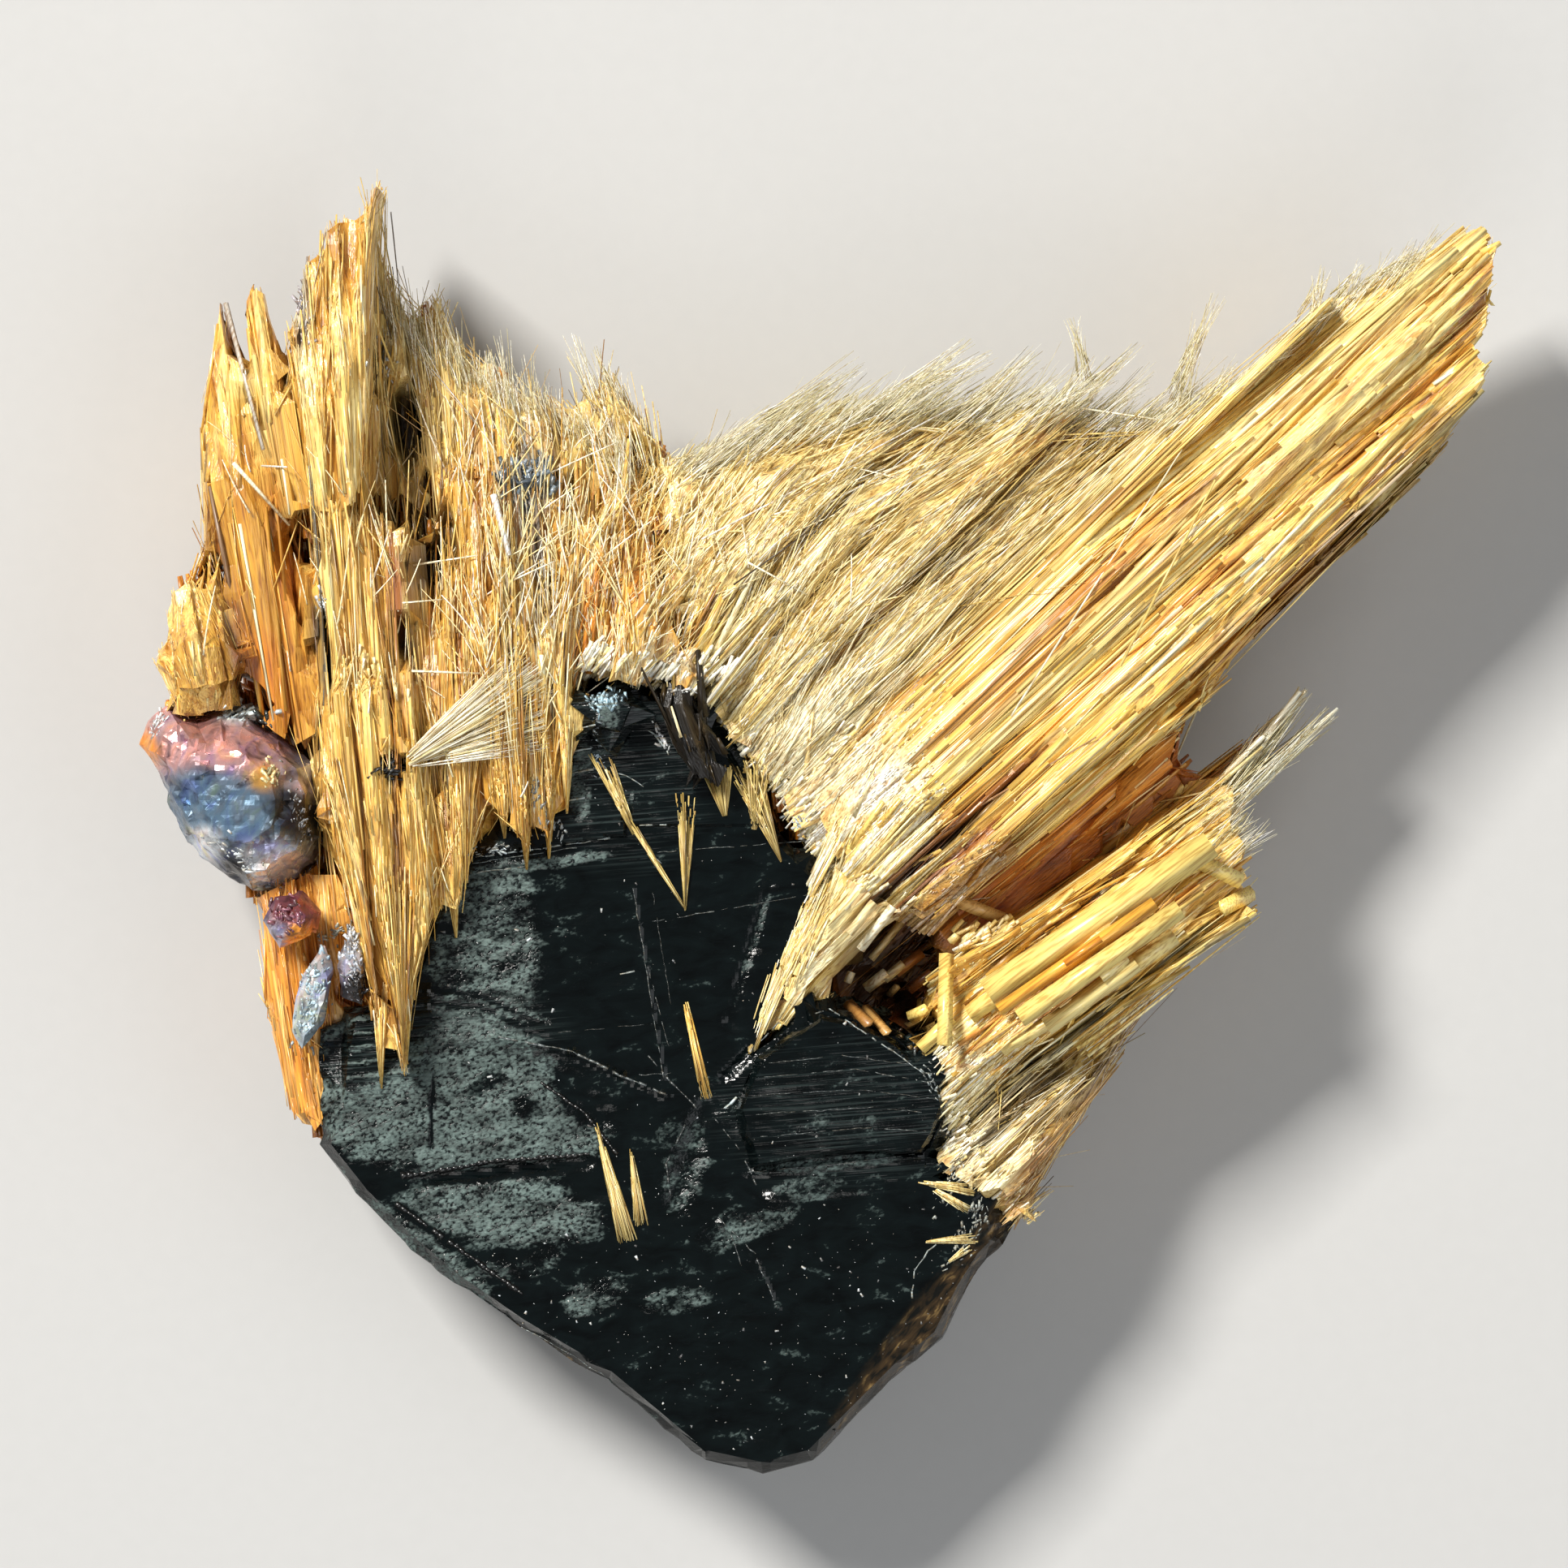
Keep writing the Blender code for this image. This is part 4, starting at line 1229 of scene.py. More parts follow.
@dataclass(frozen=True)
class Growth:
    """What all sheaves have in common: sizes in millimetres, shares and leans of faces."""

    cuts_across: tuple[float, ...] = (0.09, 0.14, 0.11, 0.18)
    cuts_along: tuple[float, ...] = (0.35, 0.6, 0.45)
    cuts_up: tuple[float, ...] = (0.35, 0.5)
    end_lean: float = 0.6
    end_gap: float = 1.1
    side_gap: float = 0.6
    end_relief: float = 0.3
    ramp_reach: float = 2.6
    stub_lean: float = 0.72
    shortest_stub: float = 0.04
    root_stub: float = 0.03
    stub_root: float = 0.2
    sunk: float = 0.3
    slack: float = 0.07
    root_slack: float = 0.01
    middle: float = 0.6
    middle_slack: float = 0.1
    tries: int = 7
    shorten: float = 0.7
    band_share: float = 0.65
    glints: Flat = (0.04, 0.97)
    roll: float = 0.35
    seed_step: float = 3.7
    broad_grain: Flat = (0.10, 1.7)
    fine_grain: Flat = (0.22, 5.5)
    crack_grain: Place = (0.09, 3.3, 2.6)
    crack_start: float = 0.28
    crack_depth: float = 3.0
    band_light: Place = (0.36, 0.22, 0.5)
    band_relief: Flat = (0.9, 0.7)
    body_shade: float = 0.05
    sharpest: float = 0.04
    upper_lean: float = 0.25
    upper_height: float = 2.0
    lowest_top: float = 0.3
    ramp_start: float = 0.04
    ramp_power: float = 0.8
    top_lean: float = 0.3
    under_lean: float = -0.5
    side_share: float = 0.6
    under_share: float = 0.25
    hole_depth: float = 0.8
    hole_luck: Flat = (0.6, 0.25)
    tested: tuple[float, ...] = (0.0, 0.3, 0.6, 1.0)


GROW = Growth()


@dataclass
class Sheaf:
    """One sheaf of rutile: a ribbed body and the needles that cover it."""

    name: str
    slot: Slot
    palette: Palette
    turn: float
    habit: Habit
    cover: float
    seed: int
    tone: float = 0.52
    spread: float = 0.12
    rib: float = 0.10
    spears: tuple[tuple[float, float, float, float], ...] = ()
    ramp: float = 0.0
    ior: float = 1.8
    body: bpy.types.Mesh | None = None

    @property
    def node(self) -> str:
        """The CAD node that the sheaf stands for."""
        return "rutile_" + self.name

    def axes(self) -> tuple[Vector, Vector]:
        """Return the directions along and across the fibres."""
        angle = math.radians(self.turn)
        along = Vector((math.cos(angle), math.sin(angle), 0.0))
        return along, Vector((-along.y, along.x, 0.0))

    def streak(self, u: float, v: float, z: float) -> tuple[float, float]:
        """Find the band that a place lies in.

        Args:
            u: Place along the fibres, in millimetres.
            v: Place across them.
            z: Height.

        Returns:
            How much lighter the band is, darker in its cracks as painted shade, and how much it
            stands out, from -1 to 1.
        """
        shift = self.seed * GROW.seed_step
        (long, wide), (short, thin) = GROW.broad_grain, GROW.fine_grain
        run, across, up = GROW.crack_grain
        broad = noise.noise(Vector((u * long, v * wide + shift, z * wide)))
        fine = noise.noise(Vector((u * short, v * thin, z * thin + shift)))
        crack = noise.noise(Vector((u * run + shift, v * across, z * up)))
        deep = max(0.0, crack - GROW.crack_start) * GROW.crack_depth * self.habit.value.crack
        light, relief = GROW.band_light, GROW.band_relief
        # The cracks are also made darker: painted shade in them.
        lighter = broad * light[0] + fine * light[1] - deep * light[2]
        return lighter, broad * relief[0] + fine * relief[1] - deep

    def pinch(self, place: Vector) -> None:
        """Draw a place in towards the axis of the spear that it belongs to.

        Args:
            place: The place to move, in millimetres.
        """
        for axis, reach, top, tip in self.spears:
            if abs(place.x - axis) < reach and (place.y - top) * (tip - top) > 0.0:
                share = max(GROW.sharpest, (place.y - tip) / (top - tip))
                place.x = axis + (place.x - axis) * share

    def build_body(self, neighbours: Neighbours) -> bpy.types.Mesh:
        """Rib the CAD solid along its fibres, close its gaps and colour it.

        Args:
            neighbours: The solids that it grows towards.

        Returns:
            The body's mesh.
        """
        along, across = self.axes()
        shape = node_shape(self.node)
        slice_shape(shape, across, GROW.cuts_across)
        slice_shape(shape, along, GROW.cuts_along)
        slice_shape(shape, UP, GROW.cuts_up)
        shape.normal_update()
        tones = []
        for vert in shape.verts:
            u, v, z = vert.co.dot(along), vert.co.dot(across), vert.co.z
            tone, height = self.streak(u, v, z)
            tones.append(tone)
            ending = abs(vert.normal.dot(along)) > GROW.end_lean
            limit, relief = (GROW.end_gap, GROW.end_relief) if ending else (GROW.side_gap, 1.0)
            vert.co += neighbours.closing(self.node, vert, limit)
            vert.co += vert.normal * (height * self.rib * relief)
            self.pinch(vert.co)
        self.carve(shape)
        mesh = metric_mesh(shape, self.name)
        places = corners(mesh)
        shades = self.palette.at(self.tone - GROW.body_shade + np.array(tones))
        paint(mesh, "tint", with_tints_and_painted_light(shades, places))
        self.body = mesh
        finish = RutileFinish(self.name + "_body", self.turn, ior=self.ior)
        make_piece(self.name, mesh, [finish.material()], (self.node,))
        return mesh

    def carve(self, shape: bmesh.types.BMesh) -> None:
        """Sink the upper face into its holes and raise it to its terraces.

        Args:
            shape: The body to change.
        """
        lean, height = GROW.upper_lean, GROW.upper_height
        upper = [v for v in shape.verts if v.normal.z > lean and v.co.z > height]
        places = np.array([tuple(v.co) for v in upper])
        move = np.zeros(len(upper))
        for tint_oval in STAINS_AND_PAINTED_LIGHT:
            if tint_oval.depth:
                move -= tint_oval.depth * tint_oval.weight(places)
        for zone in TERRACES:
            if zone.owner == self.name:
                move += zone.rise * zone.holds(places)
        for vert, rise in zip(upper, move):
            vert.co.z = max(vert.co.z + rise, GROW.lowest_top)
        if self.ramp:
            for vert in shape.verts:
                if vert.co.z > self.ramp:
                    gap = root_gap(vert.co.x, vert.co.y) / GROW.ramp_reach
                    share = min(1.0, (gap + GROW.ramp_start) ** GROW.ramp_power)
                    vert.co.z = self.ramp + (vert.co.z - self.ramp) * share

    def surface_points(
        self, count: int, rng: np.random.Generator
    ) -> tuple[np.ndarray, np.ndarray]:
        """Scatter points over the body.

        Args:
            count: How many.
            rng: The seeded random numbers.

        Returns:
            The points, in millimetres, and the body's normals there.
        """
        self.body.calc_loop_triangles()
        rows = np.empty(len(self.body.loop_triangles) * 3, dtype=np.int32)
        self.body.loop_triangles.foreach_get("vertices", rows)
        corner = corners(self.body)[rows.reshape(-1, 3)]
        cross = np.cross(corner[:, 1] - corner[:, 0], corner[:, 2] - corner[:, 0])
        areas = np.linalg.norm(cross, axis=1)
        lean = cross[:, 2] / np.maximum(areas, 1e-9)
        low = np.where(lean < GROW.under_lean, GROW.under_share, GROW.side_share)
        shares = areas * np.where(lean > GROW.top_lean, 1.0, low)
        chosen = rng.choice(len(areas), count, p=shares / shares.sum())
        mix = np.sort(rng.random((count, 2)), axis=1)
        weights = np.stack([mix[:, 0], mix[:, 1] - mix[:, 0], 1.0 - mix[:, 1]], axis=1)
        points = np.einsum("nk,nkj->nj", weights, corner[chosen])
        normals = cross[chosen] / np.maximum(areas[chosen, None], 1e-9)
        return points, normals

    def hindered(
        self, starts: np.ndarray, ends: np.ndarray, rng: np.random.Generator
    ) -> np.ndarray:
        """Find the needles that would cross a hole or another crystal's face.

        Args:
            starts: Where each needle begins, in millimetres.
            ends: Where it ends.
            rng: The seeded random numbers.

        Returns:
            One truth value a needle.
        """
        luck = rng.random(len(starts)) * GROW.hole_luck[0] + GROW.hole_luck[1]
        result = np.zeros(len(starts), dtype=bool)
        for share in GROW.tested:
            places = starts * (1.0 - share) + ends * share
            for zone in CLEAR_ZONES:
                if zone.owner != self.name:
                    result |= zone.holds(places)
            for tint_oval in STAINS_AND_PAINTED_LIGHT:
                if tint_oval.depth > GROW.hole_depth and 0.0 < share < 1.0:
                    result |= tint_oval.weight(places) > luck
        return result

    def dress(self, ground: Ground) -> None:
        """Cover the body with needles.

        Args:
            ground: All bodies, which the needles may not leave.
        """
        rng = np.random.default_rng(self.seed)
        rule = self.habit.value
        area = sum(p.area for p in self.body.polygons) / METRES**2
        count = int(area * self.cover)
        points, normals = self.surface_points(count, rng)
        turns = FLOW.turns(points) + np.radians(rng.normal(0.0, rule.stray, count))
        rise = np.radians(np.abs(rng.normal(0.0, rule.rise, count)))
        course = headings(turns, np.zeros(count))
        facing = np.sum(course * normals, axis=1)
        ended = np.abs(facing) > GROW.stub_lean
        lying = course - facing[:, None] * normals
        lying /= np.maximum(np.linalg.norm(lying, axis=1, keepdims=True), 0.05)
        way = np.where(rng.random(count) < 0.5, -1.0, 1.0)
        leaving = lying * (way * np.cos(rise))[:, None] + normals * np.sin(rise)[:, None]
        leaving = np.where(ended[:, None], course * np.sign(facing)[:, None], leaving)
        width = rule.width[0] + (rule.width[1] - rule.width[0]) * rng.random(count) ** 2.0
        length = rng.uniform(*rule.length, count)
        stub = rng.exponential(np.where(facing > 0, rule.stub, GROW.root_stub))
        stub = GROW.shortest_stub + stub
        length = np.where(ended, stub, length)
        starts = points - normals * (width * rule.flat * GROW.sunk)[:, None]
        starts = np.where(ended[:, None], points - leaving * GROW.stub_root, starts)
        slack = rng.exponential(np.where(way > 0, rule.overhang, GROW.root_slack))
        slack = GROW.slack + slack
        keep = np.ones(count, dtype=bool)
        for i in np.nonzero(~ended)[0]:
            for _ in range(GROW.tries):
                reach, climb = leaving[i] * length[i], length[i] * math.sin(rise[i])
                end, middle = Vector(starts[i] + reach), Vector(starts[i] + reach * GROW.middle)
                near = ground.distance(end) < slack[i] + climb
                if near and ground.distance(middle) < GROW.middle_slack + climb:
                    break
                length[i] *= GROW.shorten
            else:
                keep[i] = False
        ends = starts + leaving * length[:, None]
        keep &= ~self.hindered(starts, ends, rng)
        along, across = self.axes()
        bands = np.array([
            self.streak(p.dot(along), p.dot(across), p.z)[0] for p in map(Vector, points)
        ])
        tones = rng.normal(self.tone + bands * GROW.band_share, self.spread)
        tones = np.where(rng.random(count) < GROW.glints[0], GROW.glints[1], tones)
        colours = with_tints_and_painted_light(self.palette.at(tones), points)
        roll = rng.normal(0.0, GROW.roll, (count, 3))
        bundle = Bundle(STRAIGHT)
        bundle.add(
            starts[keep], ends[keep], width[keep], colours[keep], (normals + roll)[keep],
            flat=rule.flat, tip=0.5,
        )
        finish = NeedleFinish(self.name + "_needle", self.turn, ior=self.ior)
        bundle.place(self.name + "_needles", finish, self.slot)


SHEAVES = (
    Sheaf(
        "outer_blade", Slot.GOLDEN, GOLD, 98.0, Habit.BLADE, 1.5, 3, 0.51, 0.08, 0.05,
        spears=((-13.32, 0.45, 10.6, 12.2),),
    ),
    Sheaf("inner_blade", Slot.GOLDEN, GOLD, 99.0, Habit.BLADE, 1.5, 5, 0.60, 0.08, 0.05),
    Sheaf("crest", Slot.GOLDEN, GOLD, 93.0, Habit.GRAIN, 13.0, 7, 0.64, 0.10),
    Sheaf("side_tuft", Slot.STRAW, GOLD, 101.0, Habit.GRAIN, 11.0, 11, 0.56, 0.12, 0.09),
    Sheaf("lower_left", Slot.ORANGE, ORANGE, 98.0, Habit.GRAIN, 9.0, 13, 0.58),
    Sheaf(
        "left_sheaf", Slot.GOLDEN, GOLD, 95.0, Habit.GRAIN, 13.0, 17, 0.60, 0.10,
        spears=((-9.18, 0.62, -1.9, -5.3), (-9.72, 0.2, -3.9, -5.9)),
    ),
    Sheaf(
        "middle_sheaf", Slot.GOLDEN, GOLD, 94.0, Habit.HAIR, 16.0, 19, 0.54, 0.2,
        spears=(
            (-8.05, 0.45, 0.2, -2.4), (-6.95, 0.4, 0.9, -0.25), (-6.48, 0.25, 0.6, -0.95),
            (-6.0, 0.25, 0.9, -0.7), (-5.58, 0.2, 1.3, 0.2),
        ),
    ),
    Sheaf("back_sheaf", Slot.STRAW, STRAW, 97.0, Habit.HAIR, 20.0, 23, 0.46, 0.17),
    Sheaf("centre_tuft", Slot.GOLDEN, GOLD, 80.0, Habit.TANGLE, 26.0, 29, 0.55, 0.25),
    Sheaf("hair_sheaf", Slot.STRAW, STRAW, 44.0, Habit.HAIR, 28.0, 31, 0.60, 0.17, ramp=4.9),
    Sheaf("main_blade", Slot.GOLDEN, SUNNY, 42.5, Habit.BLADE, 3.6, 37, 0.61, 0.10, 0.09, ramp=4.9),
    Sheaf("brown_step", Slot.BROWN, BROWN, 41.0, Habit.BLADE, 4.0, 41, 0.60),
    Sheaf("wedge", Slot.STRAW, STRAW, 50.0, Habit.GRAIN, 18.0, 43, 0.64, 0.10, 0.03),
    # The hollow's floor gets a dark tone: painted shade in the cavity.
    Sheaf("hollow_floor", Slot.BROWN, BROWN, 44.0, Habit.CHIP, 14.0, 47, 0.27),
    Sheaf("lower_arm", Slot.GOLDEN, SUNNY, 38.0, Habit.PLANK, 6.0, 53, 0.60),
    Sheaf("lower_fan", Slot.GOLDEN, STRAW, 43.0, Habit.HAIR, 20.0, 59, 0.5, 0.3),
    Sheaf("dark_blade", Slot.BROWN, DARK, 110.0, Habit.PLANK, 8.0, 71, 0.30, 0.22, ior=1.4),
)


@dataclass(frozen=True)
class Tuft:
    """Hairs that stand out of a sheaf's edge and lean together at their tips."""

    tip: Flat
    turn: float
    length: float
    width: float
    count: int
    height: float = 4.5
    gather: float = 0.25
    shortest: float = 0.55
    drop: float = 0.6
    drop_power: float = 1.6
    least: Flat = (0.25, 0.5)
    depth: float = 0.8
    rise: float = 0.3
    bend: float = 0.12
    roll: float = 0.4
    tone: float = 0.62
    spread: float = 0.2
    hair_width: Flat = (0.018, 0.036)

    def hairs(self, bundle: Bundle, ground: Ground, rng: np.random.Generator) -> None:
        """Add the tuft's hairs to a bundle.

        Args:
            bundle: The bundle that they join.
            ground: The bodies that they grow from.
            rng: The seeded random numbers.
        """
        angle = math.radians(self.turn)
        along = np.array([math.cos(angle), math.sin(angle), 0.0])
        across = np.array([-math.sin(angle), math.cos(angle), 0.0])
        aside = rng.uniform(-0.5, 0.5, self.count) * self.width
        back = self.length * rng.uniform(self.shortest, 1.0, self.count)
        tip = np.array([*self.tip, self.height])
        drop = rng.random(self.count) ** self.drop_power * self.length * self.drop
        ends = tip - along * drop[:, None]
        ends += across * (aside * self.gather)[:, None]
        starts = tip - along * back[:, None] + across * aside[:, None]
        long = np.sum((ends - starts) * along, axis=1) > self.least[0]
        starts = np.where(long[:, None], starts, ends - along * self.least[1])
        for i in range(self.count):
            x, y = starts[i, :2]
            starts[i, 2] = ground.top(x, y, self.height) - rng.random() * self.depth
        ends[:, 2] += rng.normal(0.0, self.rise, self.count)
        bends = across * rng.normal(0.0, self.bend, self.count)[:, None]
        colours = HAIR.at(rng.normal(self.tone, self.spread, self.count))
        widths = rng.uniform(*self.hair_width, self.count)
        ups = rolled(self.count, self.roll, rng)
        bundle.add(starts, ends, widths, colours, ups, tip=0.3, bends=bends)


TUFTS = table(
    Tuft, 1,
    (-9.76, 14.25, 72.0, 1.6, 0.35, 14, 5.6),
    (-9.55, 12.4, 97.0, 2.2, 0.5, 30, 3.6),
    (-8.95, 11.7, 96.0, 1.8, 0.5, 26, 3.5),
    (-8.65, 12.0, 99.0, 2.4, 0.4, 24, 3.3),
    (-7.3, 10.7, 95.0, 1.4, 0.7, 26, 3.9),
    (-5.55, 11.2, 109.0, 2.8, 0.5, 26, 3.4),
    (-5.0, 10.8, 106.0, 2.6, 0.6, 28, 3.5),
    (-4.6, 10.2, 104.0, 2.2, 0.7, 30, 3.5),
    (-4.1, 9.3, 100.0, 1.8, 0.7, 28, 3.7),
    (1.0, 10.4, 35.0, 4.6, 0.9, 70, 4.2),
    (0.2, 9.9, 35.0, 4.0, 0.8, 50, 4.0),
    (2.7, 10.2, 34.0, 3.4, 0.9, 50, 4.2),
    (3.4, 10.9, 38.0, 3.2, 0.6, 40, 4.0),
    (3.9, 10.6, 30.0, 2.4, 0.6, 26, 4.4),
    (4.85, 10.65, 40.0, 3.0, 0.7, 44, 4.0),
    (5.6, 11.4, 104.0, 1.5, 0.35, 22, 4.2),
    (6.0, 10.6, 62.0, 2.4, 0.7, 34, 4.4),
    (7.1, 10.9, 45.0, 2.4, 0.5, 28, 4.2),
    (6.6, 10.3, 38.0, 2.2, 0.6, 24, 4.5),
    (8.9, 11.9, 66.0, 2.8, 0.4, 26, 4.4),
    (8.4, 10.6, 74.0, 1.6, 0.4, 20, 4.6),
    (9.2, 10.4, 55.0, 1.8, 0.5, 24, 4.8),
    (11.2, 12.5, 72.0, 1.4, 0.5, 30, 5.0),
    (12.1, 12.6, 60.0, 1.4, 0.6, 30, 5.0),
    (13.3, 12.85, 40.0, 1.6, 0.6, 26, 5.0),
    (10.9, 3.1, 52.0, 3.4, 0.6, 90, 3.9),
    (11.45, 2.65, 42.0, 3.6, 0.6, 90, 3.7),
    (10.1, 2.5, 55.0, 2.4, 0.5, 26, 4.2),
    (9.6, 0.3, 30.0, 1.4, 0.6, 24, 4.0),
)


@dataclass(frozen=True)
class Fringe:
    """Fine hairs along a sheaf's edge, longer in some clumps than in others."""

    line: tuple[Flat, ...]
    turn: float
    count: int
    reach: Flat
    height: float
    stray: float = 5.0
    clump_rate: float = 3.1
    clump: Flat = (0.45, 1.6)
    thinnest: float = 0.05
    back: Flat = (0.3, 1.6)
    depth: float = 0.9
    rise: float = 0.15
    lift: float = 0.1
    bend: float = 0.12
    roll: float = 0.4
    tone: float = 0.6
    spread: float = 0.22
    hair_width: Flat = (0.016, 0.034)

    def hairs(self, bundle: Bundle, ground: Ground, rng: np.random.Generator) -> None:
        """Add the hairs to a bundle.

        Args:
            bundle: The bundle that they join.
            ground: The bodies that they grow from.
            rng: The seeded random numbers.
        """
        count = self.count
        line = np.array(self.line)
        spot = rng.random(count) * (len(line) - 1)
        edge = np.stack([np.interp(spot, range(len(line)), line[:, i]) for i in (0, 1)], axis=1)
        rate = self.clump_rate
        clump = np.array([noise.noise(Vector((v * rate, self.turn, 0.0))) for v in spot])
        clump = np.clip(self.clump[0] + clump * self.clump[1], self.thinnest, 1.0)
        turns = np.radians(self.turn + rng.normal(0.0, self.stray, count))
        along = np.stack([np.cos(turns), np.sin(turns)], axis=1)
        far = self.reach[0] + (self.reach[1] - self.reach[0]) * clump * rng.random(count)
        near = rng.uniform(*self.back, count)
        heights = np.empty((count, 1))
        for i in range(count):
            root = edge[i] - along[i] * near[i]
            heights[i] = ground.top(*root, self.height) - rng.random() * self.depth
        starts = np.concatenate([edge - along * near[:, None], heights], axis=1)
        ends = np.concatenate([edge + along * far[:, None], heights], axis=1)
        ends[:, 2] += rng.normal(0.0, self.rise, count) + self.lift
        colours = HAIR.at(rng.normal(self.tone, self.spread, count))
        widths = rng.uniform(*self.hair_width, count)
        ups = rolled(count, self.roll, rng)
        bends = rng.normal(0.0, self.bend, (count, 3))
        bundle.add(starts, ends, widths, colours, ups, tip=0.3, bends=bends)


FRINGES = (
    Fringe(
        (
            (-3.6, 7.9), (-2.4, 8.3), (-0.6, 8.9), (0.6, 9.2), (1.6, 9.4), (3.0, 9.5),
            (4.6, 9.5), (6.0, 9.4), (7.4, 9.2), (8.6, 9.4), (9.8, 10.2),
        ),
        39.0, 1500, (0.1, 2.0), 4.0,
    ),
    Fringe(
        ((9.6, 10.0), (10.8, 11.2), (11.8, 11.9), (12.8, 12.5), (13.6, 12.9)),
        50.0, 320, (0.05, 0.9), 4.9,
    ),
    Fringe(
        (
            (-9.9, 12.0), (-9.3, 11.2), (-8.6, 10.9), (-8.0, 10.3), (-7.2, 9.9),
            (-6.4, 9.4), (-5.6, 9.0), (-4.8, 8.7), (-4.2, 8.2),
        ),
        101.0, 700, (0.05, 1.5), 3.6,
    ),
    Fringe(((8.6, 0.9), (9.3, 0.2), (9.4, -0.6)), 40.0, 160, (0.1, 1.0), 4.0),
)


@dataclass(frozen=True)
class Stray:
    """One loose or crossing needle that lies on the specimen."""

    start: Flat
    end: Flat
    width: float
    colour: Colour
    lift: float = 0.08

    def heights(self, ground: Ground) -> tuple[float, float]:
        """Find heights at which the whole needle lies on the ground.

        Args:
            ground: The bodies that it lies on.

        Returns:
            The heights of its two ends.
        """
        first, last = ground.top(*self.start), ground.top(*self.end)
        lack = 0.0
        for share in (0.2, 0.4, 0.6, 0.8):
            x = self.start[0] * (1.0 - share) + self.end[0] * share
            y = self.start[1] * (1.0 - share) + self.end[1] * share
            lack = max(lack, ground.top(x, y, 0.0) - first * (1.0 - share) - last * share)
        return first + lack + self.lift, last + lack + self.lift


LOOSE = table(
    Stray, 2,
    (-7.2, 7.4, -6.85, 6.05, 0.16, WHITE, 0.25),
    (-12.95, 8.1, -11.75, 6.75, 0.10, CREAM, 0.12),
    (-12.35, 8.05, -11.75, 8.0, 0.05, WHITE, 0.1),
    (-13.2, 11.7, -12.3, 8.4, 0.12, (0.55, 0.5, 0.42), 0.05),
    (-9.0, 3.5, -7.5, 3.45, 0.06, CREAM, 0.15),
    (-9.0, 5.85, -7.6, 6.05, 0.05, CREAM, 0.15),
    (-9.2, 5.0, -8.2, 5.1, 0.04, CREAM, 0.12),
    (-2.6, 6.4, 3.4, 9.6, 0.04, WHITE, 0.2),
    (5.6, 9.4, 8.3, 9.0, 0.05, CREAM, 0.3),
    (6.6, 3.6, 8.7, 7.7, 0.07, YELLOW, 0.12),
    (4.2, 2.5, 8.0, 8.4, 0.05, CREAM, 0.1),
    (-1.9, 5.4, 0.6, 7.2, 0.04, SHADOW, 0.15),
    (-1.6, 5.9, -0.3, 5.2, 0.05, CREAM, 0.12),
)
BLOCKS = table(
    Stray, 2,
    (2.81, -2.75, 2.75, -4.75, 0.34, LEMON, 0.25),
    (2.23, -4.85, 2.93, -4.16, 0.30, LEMON, 0.2),
    (2.0, -4.2, 2.4, -4.0, 0.30, LEMON, 0.2),
    (3.69, -3.6, 8.64, -0.32, 0.62, LEMON, 0.16),
    (3.3, -4.1, 4.6, -3.2, 0.40, LEMON, 0.24),
    (3.95, -3.98, 7.4, -1.62, 0.30, (0.88, 0.46, 0.06), 0.12),
    (4.4, -4.15, 7.95, -1.75, 0.44, LEMON, 0.16),
    (5.0, -4.35, 7.0, -2.95, 0.40, (0.96, 0.76, 0.28), 0.16),
    (7.0, -2.95, 7.85, -2.35, 0.40, (0.96, 0.76, 0.28), 0.28),
    (6.2, -3.25, 6.8, -2.85, 0.26, (0.98, 0.80, 0.34), 0.36),
    (5.3, -4.75, 6.7, -3.75, 0.34, LEMON, 0.12),
    (4.0, -4.85, 5.8, -3.85, 0.32, (0.96, 0.76, 0.28), 0.12),
    (5.4, -2.95, 6.2, -2.4, 0.16, (0.80, 0.30, 0.03), 0.32),
    (8.4, -0.7, 9.35, -1.15, 0.36, LEMON, 0.1),
    (8.9, -1.75, 9.62, -1.40, 0.36, LEMON, 0.1),
    (0.9, -2.66, 1.62, -1.7, 0.20, CREAM, 0.35),
    (1.15, -2.9, 1.85, -2.05, 0.17, (0.80, 0.66, 0.34), 0.3),
    (0.65, -2.3, 1.2, -1.6, 0.2, (0.85, 0.70, 0.36), 0.3),
    (1.04, -3.56, 1.5, -3.2, 0.26, CREAM, 0.5),
    (1.45, -3.35, 1.87, -2.99, 0.20, (0.80, 0.72, 0.46), 0.42),
    (0.62, -3.42, 0.72, -3.18, 0.18, CREAM, 0.45),
    (1.55, -3.72, 1.75, -3.5, 0.16, (0.80, 0.62, 0.30), 0.4),
    (0.62, -3.86, 1.1, -4.3, 0.26, (0.42, 0.20, 0.05), 0.35),
    (1.0, -3.95, 1.5, -4.5, 0.22, (0.60, 0.34, 0.10), 0.35),
    (1.7, -3.2, 2.3, -2.75, 0.24, (0.34, 0.13, 0.03), 0.4),
    (2.0, -3.6, 2.5, -3.2, 0.22, (0.20, 0.07, 0.02), 0.3),
    (3.1, -1.6, 4.1, -2.0, 0.3, (0.82, 0.58, 0.22), 0.2),
)


@dataclass(frozen=True)
class Prong:
    """One flat fan of fine needles on the hematite's face."""

    top: Flat
    bottom: Flat
    top_width: float
    bottom_width: float
    count: int
    ragged: float = 0.3


